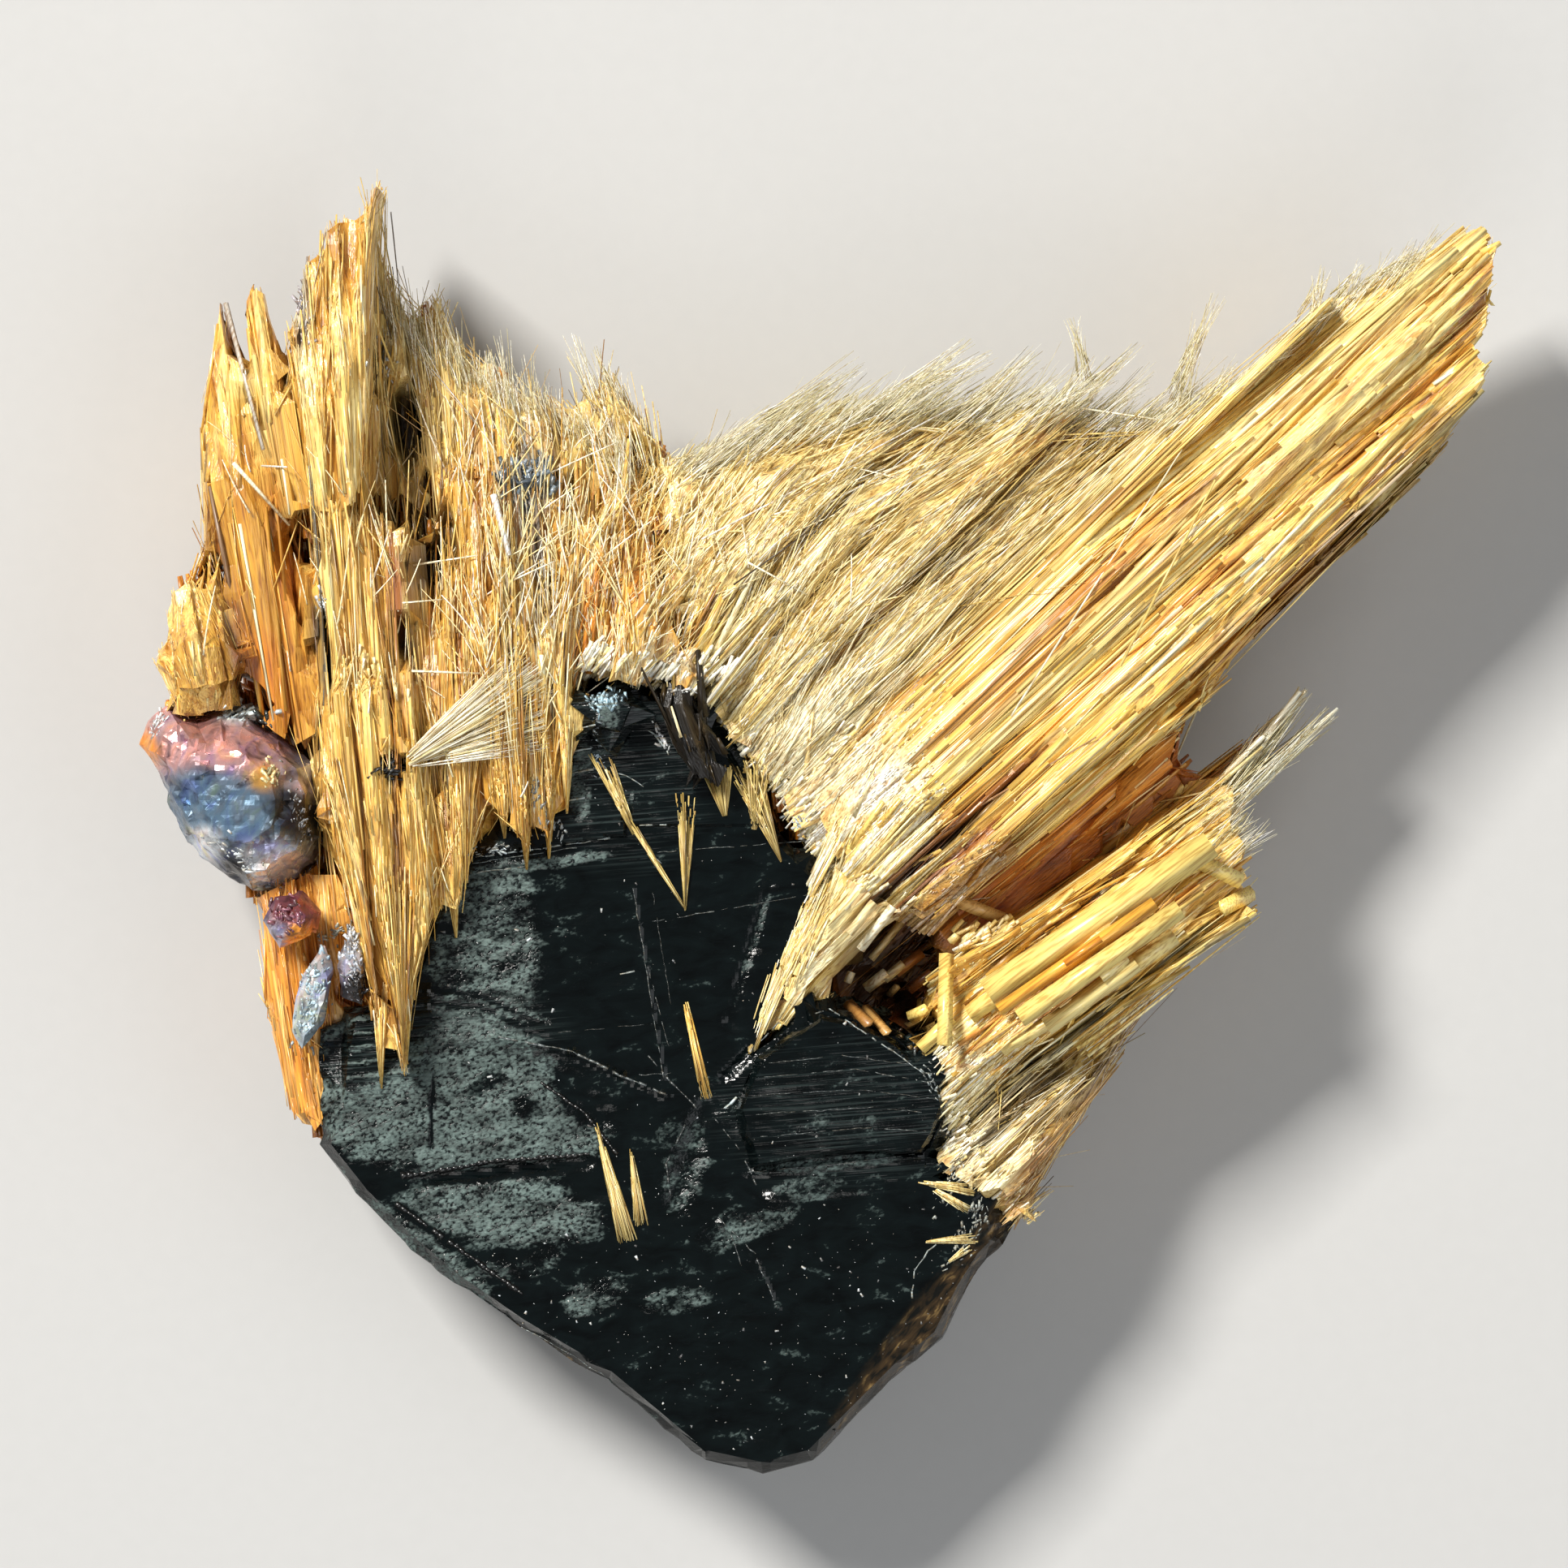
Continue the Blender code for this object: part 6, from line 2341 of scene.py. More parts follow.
@dataclass
class HematitePlate:
    """The black plate with its growth steps, grooves, etched patches and rusty rim."""

    grid: float = 0.075
    back_grid: float = 0.5
    side_grid: Place = (0.35, 0.5, 0.4)
    sliced_lean: float = 0.5
    sliced_height: float = 4.2
    face_lean: float = 0.8
    face_height: float = 4.4
    back_height: float = 0.05
    widest_gap: float = 0.8
    waves: Flat = (0.05, 0.02)
    chips: Flat = (0.06, 0.07)
    fresh: float = -0.35
    rim_height: float = 4.7
    rim_depth: float = 0.3
    rim_etch: float = 0.42
    rim_rust: float = 0.2
    rim_groove: float = 0.7
    strokes: tuple[Stroke, ...] = table(
        Stroke, 2,
        (-7.2, -4.6, -5.5, -4.95, 0.08, 0.08),
        (-5.5, -4.95, -4.4, -5.45, 0.08, 0.11),
        (-4.4, -5.45, -3.4, -5.9, 0.08, 0.09),
        (-5.9, -5.3, -4.8, -6.4, 0.25, -0.10),
        (-8.8, -7.75, -5.2, -7.35, 0.16, -0.14),
        (-4.15, -1.3, -3.45, -5.5, 0.05, 0.03),
        (-1.1, -1.2, -2.0, -4.3, 0.16, -0.05),
        (-2.5, -6.1, -3.2, -8.2, 0.30, -0.09),
        (-2.3, -6.3, -1.3, -8.0, 0.22, -0.05),
        (-2.2, -8.7, -1.45, -9.5, 0.06, 0.05),
        (-1.45, -9.5, -0.95, -10.6, 0.06, 0.05),
        (-1.6, -7.65, 2.2, -7.25, 0.07, 0.06),
        (-1.4, -8.2, 1.0, -8.0, 0.06, 0.03),
        (-2.1, -5.5, -1.5, -4.9, 0.12, -0.1),
        (-8.7, -3.6, -6.2, -4.2, 0.06, 0.04),
        (-8.7, -3.9, -6.0, -4.5, 0.06, 0.04),
    )
    ledges: tuple[Ledge, ...] = table(
        Ledge, 2,
        (-7.75, -0.65, -4.6, -0.15, 0.16, 1.4),
        (-7.85, -0.95, -6.3, -0.75, 0.08, 0.3),
        (-3.9, 0.1, -1.0, 0.05, 0.08, 0.8),
        (-11.3, -3.75, -8.9, -3.6, 0.08, 0.2),
        (-11.3, -4.05, -8.9, -3.9, 0.09, 0.2),
        (-11.3, -4.35, -8.9, -4.2, 0.10, 0.2),
        (-11.3, -4.65, -8.9, -4.5, 0.10, 0.2),
        (-11.3, -4.95, -9.0, -4.8, 0.10, 0.2),
        (-11.3, -5.3, -9.0, -5.1, 0.10, 0.22),
        (-11.3, -5.65, -9.1, -5.45, 0.10, 0.22),
    )
    etched: tuple[Patch, ...] = table(
        Patch, 2,
        (-7.4, -2.8, 1.35, 2.6, 0.0, 0.55),
        (-7.6, -6.2, 2.9, 1.6, -8.0, 0.78),
        (-10.0, -6.3, 1.2, 1.1, -20.0, 0.75),
        (-10.3, -4.4, 0.9, 1.1, 0.0, -0.6),
        (-10.4, -3.55, 0.75, 0.06, 4.0, 1.0),
        (-10.4, -3.88, 0.75, 0.05, 4.0, 0.9),
        (-10.4, -4.21, 0.75, 0.06, 5.0, 1.0),
        (-10.4, -4.53, 0.75, 0.05, 5.0, 0.9),
        (-10.4, -4.86, 0.80, 0.06, 6.0, 1.0),
        (-10.4, -5.20, 0.80, 0.05, 6.0, 1.0),
        (-10.4, -5.50, 0.80, 0.06, 6.0, 1.0),
        (-7.0, -8.5, 2.3, 0.75, -6.0, 0.66),
        (-9.2, -9.0, 2.6, 0.35, -36.0, 0.62),
        # Left fresh and black along the groove: painted shade.
        (-6.8, -7.6, 1.9, 0.16, 6.0, 0.0),
        (-9.4, -8.35, 1.7, 0.09, -34.0, 0.05),
        # Left fresh and black under the ridge: painted shade.
        (-5.3, -5.9, 0.8, 0.42, -50.0, 0.0),
        (-5.0, -10.35, 0.9, 0.42, 14.0, 0.36),
        (-5.3, -10.45, 0.35, 0.25, 60.0, 0.66),
        (-3.2, -10.45, 0.9, 0.35, 8.0, 0.36),
        (-6.2, -9.6, 0.7, 0.3, 30.0, 0.34),
        (-2.2, -8.9, 0.8, 0.5, 40.0, 0.26),
        (-0.2, -7.9, 0.9, 0.3, 5.0, 0.3),
        (-7.2, -9.75, 0.5, 0.25, 0.0, 0.45),
        (-1.2, -8.7, 0.9, 0.35, 24.0, 0.42),
        (-3.0, -7.6, 0.6, 1.2, -10.0, 0.28),
        (-1.5, -2.7, 1.5, 0.12, 73.0, 0.38),
        (0.3, -7.4, 1.9, 0.16, 6.0, 0.6),
        (0.0, -8.1, 1.3, 0.14, 4.0, 0.30),
        (-5.5, -2.6, 0.5, 2.0, 12.0, 0.12),
        (-3.1, -6.6, 0.7, 0.4, 30.0, 0.25),
        (0.4, -5.6, 1.7, 0.65, 0.0, 0.06),
        (0.8, -6.6, 1.8, 0.3, 4.0, 0.12),
        (-6.1, -0.75, 1.6, 0.12, 8.0, 0.85),
        (-5.3, 1.2, 0.3, 1.1, 0.0, 0.5),
        (-4.65, 2.55, 0.25, 0.35, 0.0, 1.0),
        (-8.1, -3.60, 0.65, 0.05, -6.0, -0.8),
        (-7.0, -3.92, 0.60, 0.06, -24.0, -0.8),
        (-6.1, -4.30, 0.50, 0.05, -20.0, -0.8),
        (-8.0, -3.90, 0.70, 0.04, -6.0, -0.8),
        (-6.8, -4.28, 0.60, 0.05, -24.0, -0.8),
        (-6.5, -4.05, 0.60, 0.05, -24.0, 1.0),
        (-8.6, -6.2, 0.80, 0.04, 88.0, -0.6),
        (-7.4, -5.6, 0.60, 0.22, 40.0, 0.30),
        (-6.6, -6.1, 0.50, 0.25, -30.0, 0.36),
        (-8.4, -2.2, 0.40, 0.10, 4.0, -0.8),
    )
    rusty: tuple[Patch, ...] = table(
        Patch, 2,
        (2.2, -11.2, 2.9, 0.42, 52.0, 1.0),
        (3.7, -9.3, 0.9, 0.32, 75.0, 0.9),
        (-5.9, -11.6, 1.2, 0.1, -32.0, 0.8),
    )
    grooved: tuple[Patch, ...] = table(
        Patch, 2,
        (0.6, -6.2, 2.5, 1.5, 0.0, 0.8),
        (-10.0, -4.8, 1.4, 1.2, 0.0, 0.8),
        (-4.4, 1.4, 1.8, 2.0, 0.0, 0.8),
        (-7.4, -4.2, 1.6, 0.6, -8.0, 0.7),
    )

    def slice_face(self, shape: bmesh.types.BMesh, axis: Vector) -> None:
        """Cut only the upper face into fine strips.

        Args:
            shape: The plate.
            axis: The normal of the cuts.
        """
        lean, height = self.sliced_lean, self.sliced_height
        reach = [v.co.dot(axis) for v in shape.verts]
        place = min(reach) + self.grid
        while place < max(reach):
            faces = [f for f in shape.faces if f.normal.z > lean]
            faces = [f for f in faces if f.calc_center_median().z > height]
            edges = {e for f in faces for e in f.edges}
            verts = {v for f in faces for v in f.verts}
            bmesh.ops.bisect_plane(
                shape, geom=[*verts, *edges, *faces], dist=MERGE_GAP,
                plane_co=axis * place, plane_no=axis,
            )
            place += self.grid

    def build(self, neighbours: Neighbours) -> bpy.types.Mesh:
        """Model the plate on its CAD solid.

        Args:
            neighbours: The solids that its edges grow towards.

        Returns:
            The plate's mesh.
        """
        shape = node_shape("hematite_crystal")
        slice_shape(shape, RIGHT, (self.back_grid,))
        slice_shape(shape, AHEAD, (self.back_grid,))
        slice_shape(shape, UP, self.side_grid)
        self.slice_face(shape, RIGHT)
        self.slice_face(shape, AHEAD)
        shape.normal_update()
        for vert in shape.verts:
            x, y, z = vert.co
            if vert.normal.z > self.face_lean and z > self.face_height:
                lift = sum(stroke.push(x, y) for stroke in self.strokes)
                lift += sum(ledge.push(x, y) for ledge in self.ledges)
                lift += self.waves[0] * noise.noise(Vector((x * 0.7, y * 1.4, 0.0)))
                lift += self.waves[1] * noise.noise(Vector((x * 2.5, y * 5.0, 3.0)))
                vert.co.z += lift
            elif z > self.back_height:
                vert.co += neighbours.closing("hematite_crystal", vert, self.widest_gap)
                layer = noise.noise(Vector((x * 0.5, y * 0.5, z * 5.0)))
                chip = noise.noise(Vector((x * 2.0, y * 2.0, z * 1.5)))
                vert.co += vert.normal * (self.chips[0] * layer + self.chips[1] * chip)
        mesh = metric_mesh(shape, "hematite_plate")
        self.paint_face(mesh)
        material = HematiteFinish().material()
        make_piece("hematite_plate", mesh, [material], ("hematite_crystal",))
        return mesh

    def paint_face(self, mesh: bpy.types.Mesh) -> None:
        """Store how etched, rusty and grooved the plate is at each corner.

        Args:
            mesh: The plate's mesh.
        """
        places = corners(mesh)
        etch = laid(self.etched, places, self.fresh)
        side = np.clip((self.rim_height - places[:, 2]) / self.rim_depth, 0.0, 1.0)
        paint(mesh, "etch", np.maximum(etch, side * self.rim_etch))
        rust = laid(self.rusty, places) + side * self.rim_rust * (places[:, 0] > 0)
        paint(mesh, "rust", np.clip(rust, 0.0, 1.0))
        groove = laid(self.grooved, places)
        paint(mesh, "groove", np.maximum(groove, side * self.rim_groove))


@dataclass
class TarnishedCrystal:
    """A small hematite crystal with cut facets and tarnish colours."""

    name: str
    node: str
    slot: Slot
    tints: tuple[tuple[float, float, float, Colour], ...]
    seed: int
    grid: float = 0.11
    rough: float = 0.12
    facet: float = 0.85
    swelling: float = 0.08
    slant: float = 2.4
    steps: float = 0.5
    grains: float = 0.22
    shade: float = 0.7
    blend: float = 0.05
    wander: Flat = (0.5, 0.2)

    @staticmethod
    def slope(centre: Vector) -> Vector:
        """Give the slope of the facet round a centre, the same for all of its corners."""
        return Vector([noise.noise(centre * 7.3 + UP * (i * 9.1)) for i in range(3)])

    def build(self) -> bpy.types.Mesh:
        """Model the crystal on its CAD solid.

        Returns:
            The crystal's mesh.
        """
        shape = node_shape(self.node)
        swell(shape, self.swelling)
        slice_shape(shape, RIGHT, (self.grid,))
        slice_shape(shape, AHEAD, (self.grid,))
        slice_shape(shape, UP, (self.grid * 2.0,))
        shape.normal_update()
        facets = []
        for vert in shape.verts:
            place = vert.co * self.facet + RIGHT * self.seed
            centre = noise.voronoi(place)[1][0]
            step = (place - centre).dot(self.slope(centre)) * self.slant
            flat, grain = noise.noise(centre * 5.1), noise.noise(vert.co * 5.0)
            step += self.steps * flat + self.grains * grain
            facets.append(1.0 + self.shade * noise.noise(centre * 9.7))
            vert.co += vert.normal * self.rough * step
        mesh = metric_mesh(shape, self.name)
        places = corners(mesh)
        marks = np.array([row[:3] for row in self.tints])
        colours = np.array([row[3] for row in self.tints])
        wander, share = self.wander
        jitter = np.array([noise.noise(Vector(p) * 1.7) * wander for p in places])
        gaps = np.linalg.norm(places[:, None, :2] - marks[None, :, :2], axis=2)
        gaps = gaps / marks[None, :, 2] + jitter[:, None] * share
        weights = 1.0 / (gaps**2 + self.blend) ** 3
        mixed = (weights[:, :, None] * colours[None]).sum(axis=1) / weights.sum(axis=1)[:, None]
        paint(mesh, "tint", np.clip(mixed * np.array(facets)[:, None], 0.0, 1.0))
        material = IridescentFinish(self.name + "_tarnish").material()
        make_piece(self.name, mesh, [material], (self.node,))
        return mesh


BLUE = (0.11, 0.18, 0.25)
PINK = (0.55, 0.31, 0.29)
LILAC = (0.36, 0.34, 0.42)
SILVER = (0.66, 0.70, 0.72)
COAL = (0.03, 0.032, 0.036)
WINE = (0.22, 0.07, 0.08)

CRYSTALS = (
    TarnishedCrystal(
        "iridescent_knob", "hematite_knob", Slot.IRIDESCENT,
        (
            # The SILVER marks are painted highlights where the knob glints; the other colours are
            # its tarnish.
            (-13.2, 1.9, 0.9, PINK), (-14.2, 2.0, 0.6, PINK), (-13.4, 0.7, 1.0, BLUE),
            (-12.6, 0.4, 0.7, BLUE), (-13.0, 2.6, 0.5, SILVER), (-12.35, 1.1, 0.3, AMBER),
            (-11.7, 0.4, 0.5, COAL), (-12.4, -0.7, 0.5, SILVER), (-13.6, -0.2, 0.4, SILVER),
            (-12.9, -0.9, 0.4, COAL), (-14.9, 1.8, 0.3, DEEP_ORANGE), (-11.4, 1.2, 0.4, LILAC),
        ),
        5,
    ),
    TarnishedCrystal(
        "wine_lump", "hematite_lump", Slot.IRIDESCENT,
        ((-11.8, -1.8, 0.5, WINE), (-11.6, -2.3, 0.3, DEEP_ORANGE), (-12.0, -2.2, 0.4, LILAC)),
        9,
    ),
    TarnishedCrystal(
        "pale_flake", "hematite_flake", Slot.SILVER,
        ((-11.2, -3.2, 0.6, SILVER), (-11.2, -4.2, 0.5, (0.42, 0.55, 0.62))),
        12, 0.12, 0.05, 1.6,
    ),
    TarnishedCrystal(
        "silver_chip", "hematite_chip", Slot.SILVER,
        ((-10.3, -2.6, 0.4, SILVER), (-10.2, -3.5, 0.4, COAL), (-10.4, -3.1, 0.3, LILAC)),
        15, 0.1, 0.06, 1.6,
    ),
)


@dataclass(frozen=True)
class Scratch:
    """A fine line on the hematite's face, through two or more points; the wide near-black ones are
    painted shade.
    """

    points: tuple[Flat, ...]
    width: float
    shade: float
    broken: float = 0.15


SCRATCHES = table(
    Scratch, 0,
    (((-4.13, -1.3), (-3.8, -3.4), (-3.46, -5.5)), 0.024, 0.13),
    (((-3.85, -2.9), (-3.35, -4.8)), 0.02, 0.10),
    (((-3.7, -1.4), (-3.3, -3.9)), 0.015, 0.06),
    (((-7.13, -4.6), (-5.5, -4.92), (-4.44, -5.44), (-3.41, -5.87)), 0.05, 0.16),
    (((-4.0, -5.45), (-3.3, -5.4)), 0.03, 0.10),
    (((-5.8, -4.5), (-3.6, -4.3)), 0.015, 0.07),
    (((-3.7, -2.05), (-0.1, -1.42)), 0.018, 0.09, 0.3),
    (((-2.9, -1.9), (-2.2, -1.8)), 0.03, 0.14, 0.4),
    (((-3.6, -0.5), (-0.2, -0.25)), 0.02, 0.12, 0.3),
    (((-4.45, -3.2), (-4.1, -3.15)), 0.035, 0.55, 0.0),
    (((-2.1, -6.2), (-1.85, -5.95)), 0.07, 0.75, 0.0),
    (((-2.25, -8.6), (-1.45, -9.4), (-0.95, -10.6)), 0.035, 0.12),
    (((-1.95, -9.0), (-1.7, -9.8)), 0.03, 0.10),
    (((-7.64, -0.6), (-6.2, -0.42), (-4.65, -0.19)), 0.05, 0.40),
    (((-7.7, -0.75), (-5.4, -0.4)), 0.02, 0.25),
    (((-7.74, -0.97), (-6.4, -0.8)), 0.04, 0.34),
    (((-5.4, 2.25), (-4.95, 2.3)), 0.05, 0.55, 0.0),
    (((-5.45, 1.75), (-5.05, 1.8)), 0.05, 0.6, 0.0),
    (((-5.5, 1.25), (-5.0, 1.35)), 0.05, 0.4, 0.0),
    (((-5.6, 0.65), (-5.2, 0.7)), 0.05, 0.45, 0.0),
    (((-3.65, 2.1), (-3.45, 1.85), (-3.35, 1.65)), 0.045, 0.7, 0.3),
    (((-3.8, 2.2), (-3.55, 2.05)), 0.04, 0.6, 0.0),
    (((-4.6, 1.3), (-4.3, 1.2), (-3.9, 0.95)), 0.03, 0.3),
    (((-4.0, 0.1), (-3.4, 0.1)), 0.04, 0.45, 0.2),
    (((-3.9, -0.35), (-3.5, -0.75)), 0.03, 0.35, 0.2),
    (((-6.9, -10.9), (-5.6, -11.6), (-4.75, -12.15)), 0.03, 0.30, 0.0),
    (((2.05, -10.4), (2.1, -9.8), (2.4, -9.35), (2.6, -9.2)), 0.035, 0.4, 0.1),
    (((-1.6, -7.6), (0.4, -7.42), (2.1, -7.2)), 0.03, 0.13, 0.2),
    (((-1.4, -5.2), (0.5, -5.0), (2.0, -5.2)), 0.02, 0.10, 0.25),
    (((-1.5, -5.5), (0.8, -5.3), (2.4, -5.6)), 0.02, 0.11, 0.25),
    (((-1.5, -5.9), (0.9, -5.75), (2.8, -6.0)), 0.015, 0.09, 0.25),
    (((-1.4, -6.3), (1.2, -6.15), (2.7, -6.3)), 0.02, 0.11, 0.25),
    (((-1.3, -6.8), (1.0, -6.6), (2.6, -6.7)), 0.02, 0.10, 0.25),
    (((-1.65, -5.04), (-0.93, -4.32), (0.21, -3.98)), 0.03, 0.2, 0.2),
    (((0.21, -3.98), (1.97, -5.15), (3.0, -5.97)), 0.04, 0.35, 0.35),
    (((-3.9, -4.9), (-3.3, -5.6), (-2.7, -6.2)), 0.05, 0.08, 0.3),
    # Near-black strip: painted shade under the ridge.
    (((-6.2, -5.6), (-5.2, -6.3), (-4.5, -7.2)), 0.10, 0.004, 0.1),
    (((-9.4, -8.3), (-8.0, -9.3), (-6.6, -10.3)), 0.12, 0.004, 0.05),
    # Near-black strip: painted shade in the groove.
    (((-9.3, -7.7), (-7.2, -7.35), (-5.1, -7.2)), 0.16, 0.004, 0.0),
    (((-2.4, -6.3), (-1.7, -7.2), (-1.4, -7.9)), 0.05, 0.07, 0.3),
    (((-2.9, -6.4), (-3.4, -7.4), (-3.3, -8.3)), 0.05, 0.07, 0.3),
)


@dataclass(frozen=True)
class Glitter:
    """A cluster of tiny flakes; some are bright crystal faces, some pale painted glints, one black
    painted shade.
    """

    centre: Flat
    radii: Flat
    turn: float
    count: int
    colour: Colour
    size: float
    stray: float = 30.0
    climb: float = 0.4
    sink: float = 0.01
    roll: float = 0.5
    sizes: Flat = (0.4, 1.3)
    long: Flat = (0.8, 2.4)
    light: Flat = (0.35, 1.25)

    def flakes(self, bundle: Bundle, ground: Ground, rng: np.random.Generator) -> None:
        """Add the cluster's faces to a bundle.

        Args:
            bundle: The bundle that they join.
            ground: The surface that they sit on.
            rng: The seeded random numbers.
        """
        count = self.count
        spread = rng.normal(0.0, 0.5, (count, 2)) * np.array(self.radii)
        angle = math.radians(self.turn)
        along = np.array([math.cos(angle), math.sin(angle)])
        across = np.array([-along[1], along[0]])
        spots = np.array(self.centre) + spread[:, :1] * along + spread[:, 1:] * across
        heights = np.array([[ground.top(*p, -1.0)] for p in spots])
        spots, heights = spots[heights[:, 0] > 1.0], heights[heights[:, 0] > 1.0]
        count = len(spots)
        starts = np.concatenate([spots, heights - self.sink], axis=1)
        turns = np.radians(rng.normal(self.turn, self.stray, count))
        climb = rng.uniform(0.0, self.climb, count)
        course = headings(turns, climb)
        sizes = self.size * rng.uniform(*self.sizes, count)
        ends = starts + course * (sizes * rng.uniform(*self.long, count))[:, None]
        shades = np.array(self.colour) * rng.uniform(*self.light, (count, 1))
        ups = rolled(count, self.roll, rng)
        bundle.add(starts, ends, sizes, np.clip(shades, 0.0, 1.0), ups, flat=0.4, tip=0.7)


GLITTERS = table(
    Glitter, 2,
    # Pale blue flakes: a painted glint on the top of the pinnacle.
    (-4.75, 2.8, 0.22, 0.34, 100.0, 110, (0.40, 0.58, 0.66), 0.08),
    (-4.95, 1.9, 0.15, 0.9, 0.0, 50, (0.16, 0.20, 0.22), 0.06),
    (-3.45, 1.9, 0.4, 0.08, 118.0, 26, (0.9, 0.92, 0.9), 0.07),
    (-0.35, 0.0, 0.5, 0.2, 130.0, 60, (0.5, 0.56, 0.55), 0.06),
    (-6.35, 0.75, 0.35, 0.25, 95.0, 70, (0.40, 0.44, 0.46), 0.07),
    (-5.95, 0.0, 0.35, 0.25, 95.0, 50, (0.36, 0.40, 0.40), 0.06),
    (-7.4, -0.45, 0.5, 0.12, 8.0, 60, (0.42, 0.48, 0.48), 0.06),
    (-11.42, 11.5, 1.0, 0.12, 95.0, 80, (0.55, 0.50, 0.50), 0.09),
    (-6.45, 7.6, 0.5, 0.7, 95.0, 150, (0.20, 0.25, 0.29), 0.14),
    (-6.6, 7.9, 0.3, 0.4, 95.0, 40, (0.55, 0.62, 0.68), 0.10),
    (-11.0, 4.95, 0.25, 0.14, 95.0, 40, (0.85, 0.90, 0.90), 0.09),
    # Black flakes: painted shade in the hole beside the pale fan.
    (-9.50, 1.38, 0.34, 0.18, 30.0, 90, (0.010, 0.010, 0.010), 0.14),
    (-9.75, 10.5, 0.5, 0.25, 95.0, 60, (0.66, 0.68, 0.64), 0.08),
    # This row and the pale rows down to (-11.5, 0.2) are painted glints on the knob.
    (-12.75, 2.6, 0.5, 0.16, 10.0, 110, (0.66, 0.76, 0.76), 0.13),
    (-12.4, 2.35, 0.35, 0.12, 150.0, 50, (0.03, 0.05, 0.05), 0.13),
    (-14.7, 2.3, 0.3, 0.12, 60.0, 40, (0.72, 0.76, 0.78), 0.07),
    (-12.6, -0.8, 0.9, 0.22, 140.0, 90, (0.60, 0.64, 0.64), 0.08),
    (-11.5, 0.2, 0.8, 0.2, 100.0, 90, (0.36, 0.38, 0.40), 0.06),
    (-12.15, 1.2, 0.3, 0.2, 100.0, 40, (0.80, 0.70, 0.36), 0.08),
    (-10.3, -2.4, 0.3, 0.15, 100.0, 40, (0.75, 0.80, 0.82), 0.07),
    (-10.9, -2.35, 0.3, 0.1, 20.0, 40, (0.60, 0.70, 0.66), 0.06),
    (2.9, -7.9, 0.7, 0.2, 60.0, 60, (0.55, 0.58, 0.50), 0.06),
    (3.3, -8.9, 0.8, 0.25, 60.0, 90, (0.30, 0.32, 0.28), 0.07),
    (-11.25, -3.7, 1.2, 0.3, 80.0, 150, (0.46, 0.60, 0.66), 0.08),
    (-10.3, -2.9, 0.9, 0.25, 95.0, 90, (0.50, 0.54, 0.60), 0.09),
    (-10.15, -3.5, 0.3, 0.2, 95.0, 50, (0.02, 0.02, 0.022), 0.12),
    (-11.7, -2.0, 0.5, 0.3, 120.0, 60, (0.30, 0.12, 0.16), 0.09),
    (2.6, -5.7, 0.8, 0.2, 120.0, 70, (0.20, 0.23, 0.22), 0.06),
    (-2.75, 3.1, 0.7, 0.06, 4.0, 60, (0.95, 0.96, 0.90), 0.06),
)


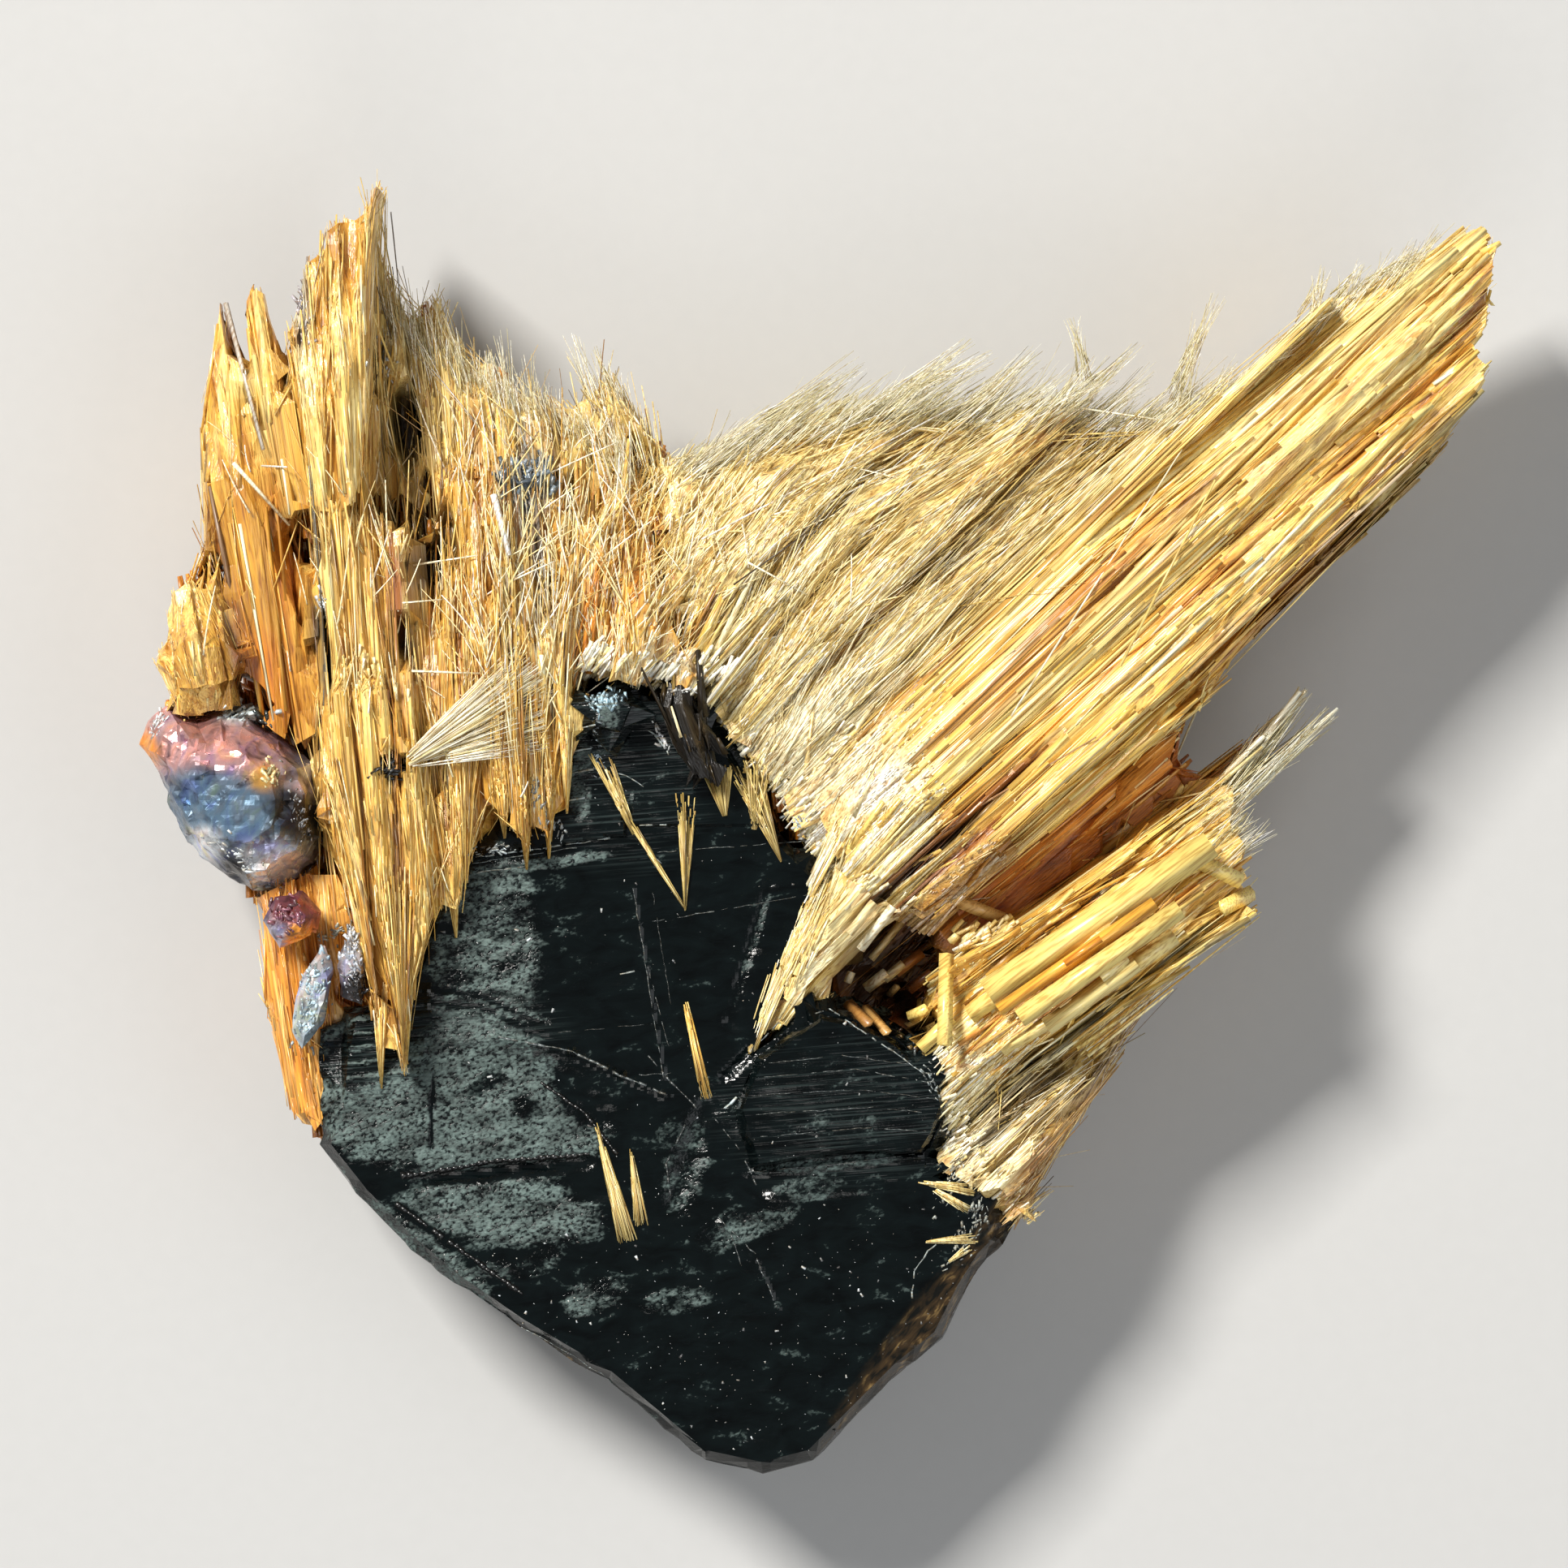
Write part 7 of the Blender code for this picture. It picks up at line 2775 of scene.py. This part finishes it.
@dataclass
class FaceMarks:
    """Scratches, bright ticks, strips of painted shade and specks of dust on the hematite's face.
    """

    seed: int = 211
    specks: int = 620
    part: float = 0.14
    wobble: float = 0.008
    lift: float = 0.004
    scratch_tint: Colour = (0.88, 1.0, 0.96)
    speck_tint: Colour = (0.95, 1.0, 0.98)
    field_x: Flat = (-10.5, 3.5)
    field_y: Flat = (-13.8, 2.0)
    lowest: float = 4.6
    smooth_top: float = -8.0
    rough_share: float = 0.3
    speck_size: Flat = (0.016, 0.06)
    speck_light: Flat = (0.06, 0.8)

    def build(self, ground: Ground, everything: Ground) -> None:
        """Lay the marks on the face, and on all bodies the crystal flakes with painted glints and
        painted shade.

        Args:
            ground: The plate that the marks lie on.
            everything: All bodies.
        """
        rng = np.random.default_rng(self.seed)
        bundle = Bundle(STRAIGHT)
        for scratch in SCRATCHES:
            self.add_scratch(bundle, scratch, ground, rng)
        self.add_specks(bundle, ground, rng)
        sparkle = Bundle(STRAIGHT)
        for glitter in GLITTERS:
            glitter.flakes(sparkle, everything, rng)
        sparkle.place("crystal_flakes_and_painted_light", NeedleFinish("crystal_flake_and_painted_light", 5.0, 0.2), Slot.SILVER)
        bundle.place("face_marks", NeedleFinish("dust_scratches_and_painted_shade", 5.0), Slot.HEMATITE)

    def add_scratch(
        self, bundle: Bundle, scratch: Scratch, ground: Ground, rng: np.random.Generator
    ) -> None:
        """Add one scratch as short flat lengths that follow the face.

        Args:
            bundle: The bundle that they join.
            scratch: The scratch.
            ground: The plate.
            rng: The seeded random numbers.
        """
        line = []
        for start, end in zip(scratch.points, scratch.points[1:]):
            parts = max(2, int(math.dist(start, end) / self.part))
            for share in np.linspace(0.0, 1.0, parts + 1)[:-1]:
                line.append(np.array(start) * (1.0 - share) + np.array(end) * share)
        line.append(np.array(scratch.points[-1]))
        line = [p + rng.normal(0.0, self.wobble, 2) for p in line]
        places = np.array([[*p, ground.top(*p, 5.0) + self.lift] for p in line])
        kept = rng.random(len(places) - 1) >= scratch.broken
        starts, ends = places[:-1][kept], places[1:][kept]
        count = len(starts)
        shades = rng.uniform(0.6, 1.1, (count, 1)) * scratch.shade * np.array(self.scratch_tint)
        widths = scratch.width * rng.uniform(0.5, 1.3, count)
        bundle.add(starts, ends, widths, shades, np.array([UP]), flat=0.3, tip=0.9)

    def add_specks(self, bundle: Bundle, ground: Ground, rng: np.random.Generator) -> None:
        """Scatter specks, most of them on the smooth lower half.

        Args:
            bundle: The bundle that they join.
            ground: The plate.
            rng: The seeded random numbers.
        """
        rows = []
        while len(rows) < self.specks:
            x, y = rng.uniform(*self.field_x), rng.uniform(*self.field_y)
            height = ground.top(x, y, -1.0)
            if height > self.lowest and (y < self.smooth_top or rng.random() < self.rough_share):
                rows.append((x, y, height))
        starts = np.array(rows)
        count = len(starts)
        sizes = self.speck_size[0] + self.speck_size[1] * rng.random(count) ** 7
        turns = rng.uniform(0.0, math.tau, count)
        course = headings(turns, np.zeros(count))
        dark, light = self.speck_light
        shades = dark + light * rng.random((count, 1)) ** 3 * np.array(self.speck_tint)
        ends = starts + course * (sizes * rng.uniform(0.8, 1.8, count))[:, None]
        bundle.add(starts, ends, sizes, shades, np.array([UP]), flat=0.5, tip=0.6)


@dataclass(frozen=True)
class Light:
    """A soft square light that faces the specimen: sizes in metres, power in watts."""

    name: str
    place: Place
    side: float
    power: float
    colour: Colour

    def hang(self) -> None:
        """Hang the light in its place."""
        lamp = bpy.data.lights.new(self.name, "AREA")
        lamp.size = self.side
        lamp.energy = self.power
        lamp.color = self.colour
        thing = bpy.data.objects.new(self.name, lamp)
        thing.location = self.place
        thing.rotation_euler = (-Vector(self.place)).to_track_quat("-Z", "Y").to_euler()
        bpy.context.scene.collection.objects.link(thing)


@dataclass
class Studio:
    """The pale floor, the soft light and the camera."""

    floor_side: float = 1.6
    distance: float = 0.25
    sensor: float = 36.0
    focus_height: float = 5.0
    nearest: float = 0.01
    room: Colour = (0.86, 0.89, 0.93)
    room_strength: float = 0.20
    lights: tuple[Light, ...] = (
        Light("key", (-0.30, 0.34, 0.48), 0.15, 6.7, (1.0, 0.97, 0.92)),
        Light("fill", (0.42, -0.10, 0.42), 0.45, 1.0, (0.94, 0.97, 1.0)),
        Light("front", (-0.08, -0.45, 0.40), 0.30, 0.8, (1.0, 0.98, 0.95)),
    )

    def build(self) -> None:
        """Make the floor, the lights and the camera."""
        self.add_floor()
        for light in self.lights:
            light.hang()
        world = bpy.data.worlds.new("soft_room")
        world.use_nodes = True
        sockets = world.node_tree.nodes["Background"].inputs
        sockets[0].default_value = (*self.room, 1.0)
        sockets[1].default_value = self.room_strength
        bpy.context.scene.world = world
        bpy.context.scene.view_settings.view_transform = "Standard"
        self.add_camera()

    def add_floor(self) -> None:
        """Make the floor, which isn't a piece of the specimen."""
        shape = bmesh.new()
        bmesh.ops.create_grid(
            shape, x_segments=1, y_segments=1, size=self.floor_side / 2.0 / METRES
        )
        floor = bpy.data.objects.new("floor", metric_mesh(shape, "floor"))
        floor.data.materials.append(FloorFinish().material())
        bpy.context.scene.collection.objects.link(floor)

    def add_camera(self) -> None:
        """Look straight down on the specimen, as wide as the frame."""
        lens = bpy.data.cameras.new("camera")
        lens.sensor_width = self.sensor
        lens.lens = self.sensor * self.distance / (FRAME_WIDTH * METRES)
        lens.clip_start = self.nearest
        camera = bpy.data.objects.new("camera", lens)
        height = self.distance + self.focus_height * METRES
        camera.location = (FRAME_CENTRE[0] * METRES, FRAME_CENTRE[1] * METRES, height)
        bpy.context.scene.collection.objects.link(camera)
        bpy.context.scene.camera = camera


def main() -> None:
    """Build the specimen and the studio."""
    logging.basicConfig(level=logging.INFO, format="%(message)s")
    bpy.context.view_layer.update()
    neighbours = Neighbours()
    plate = HematitePlate().build(neighbours)
    crystals = [crystal.build() for crystal in CRYSTALS]
    bodies = [sheaf.build_body(neighbours) for sheaf in SHEAVES]
    rutile = Ground(bodies)
    for sheaf in SHEAVES:
        sheaf.dress(rutile)
    everything = Ground([plate, *crystals, *bodies])
    Hairs().build(everything)
    face = Ground([plate])
    for inlay in INLAYS:
        inlay.build(face)
    for overlay in OVERLAYS:
        overlay.build(everything)
    Infill().build(everything)
    FaceMarks().build(face, everything)
    Studio().build()


if __name__ == "__main__":
    main()
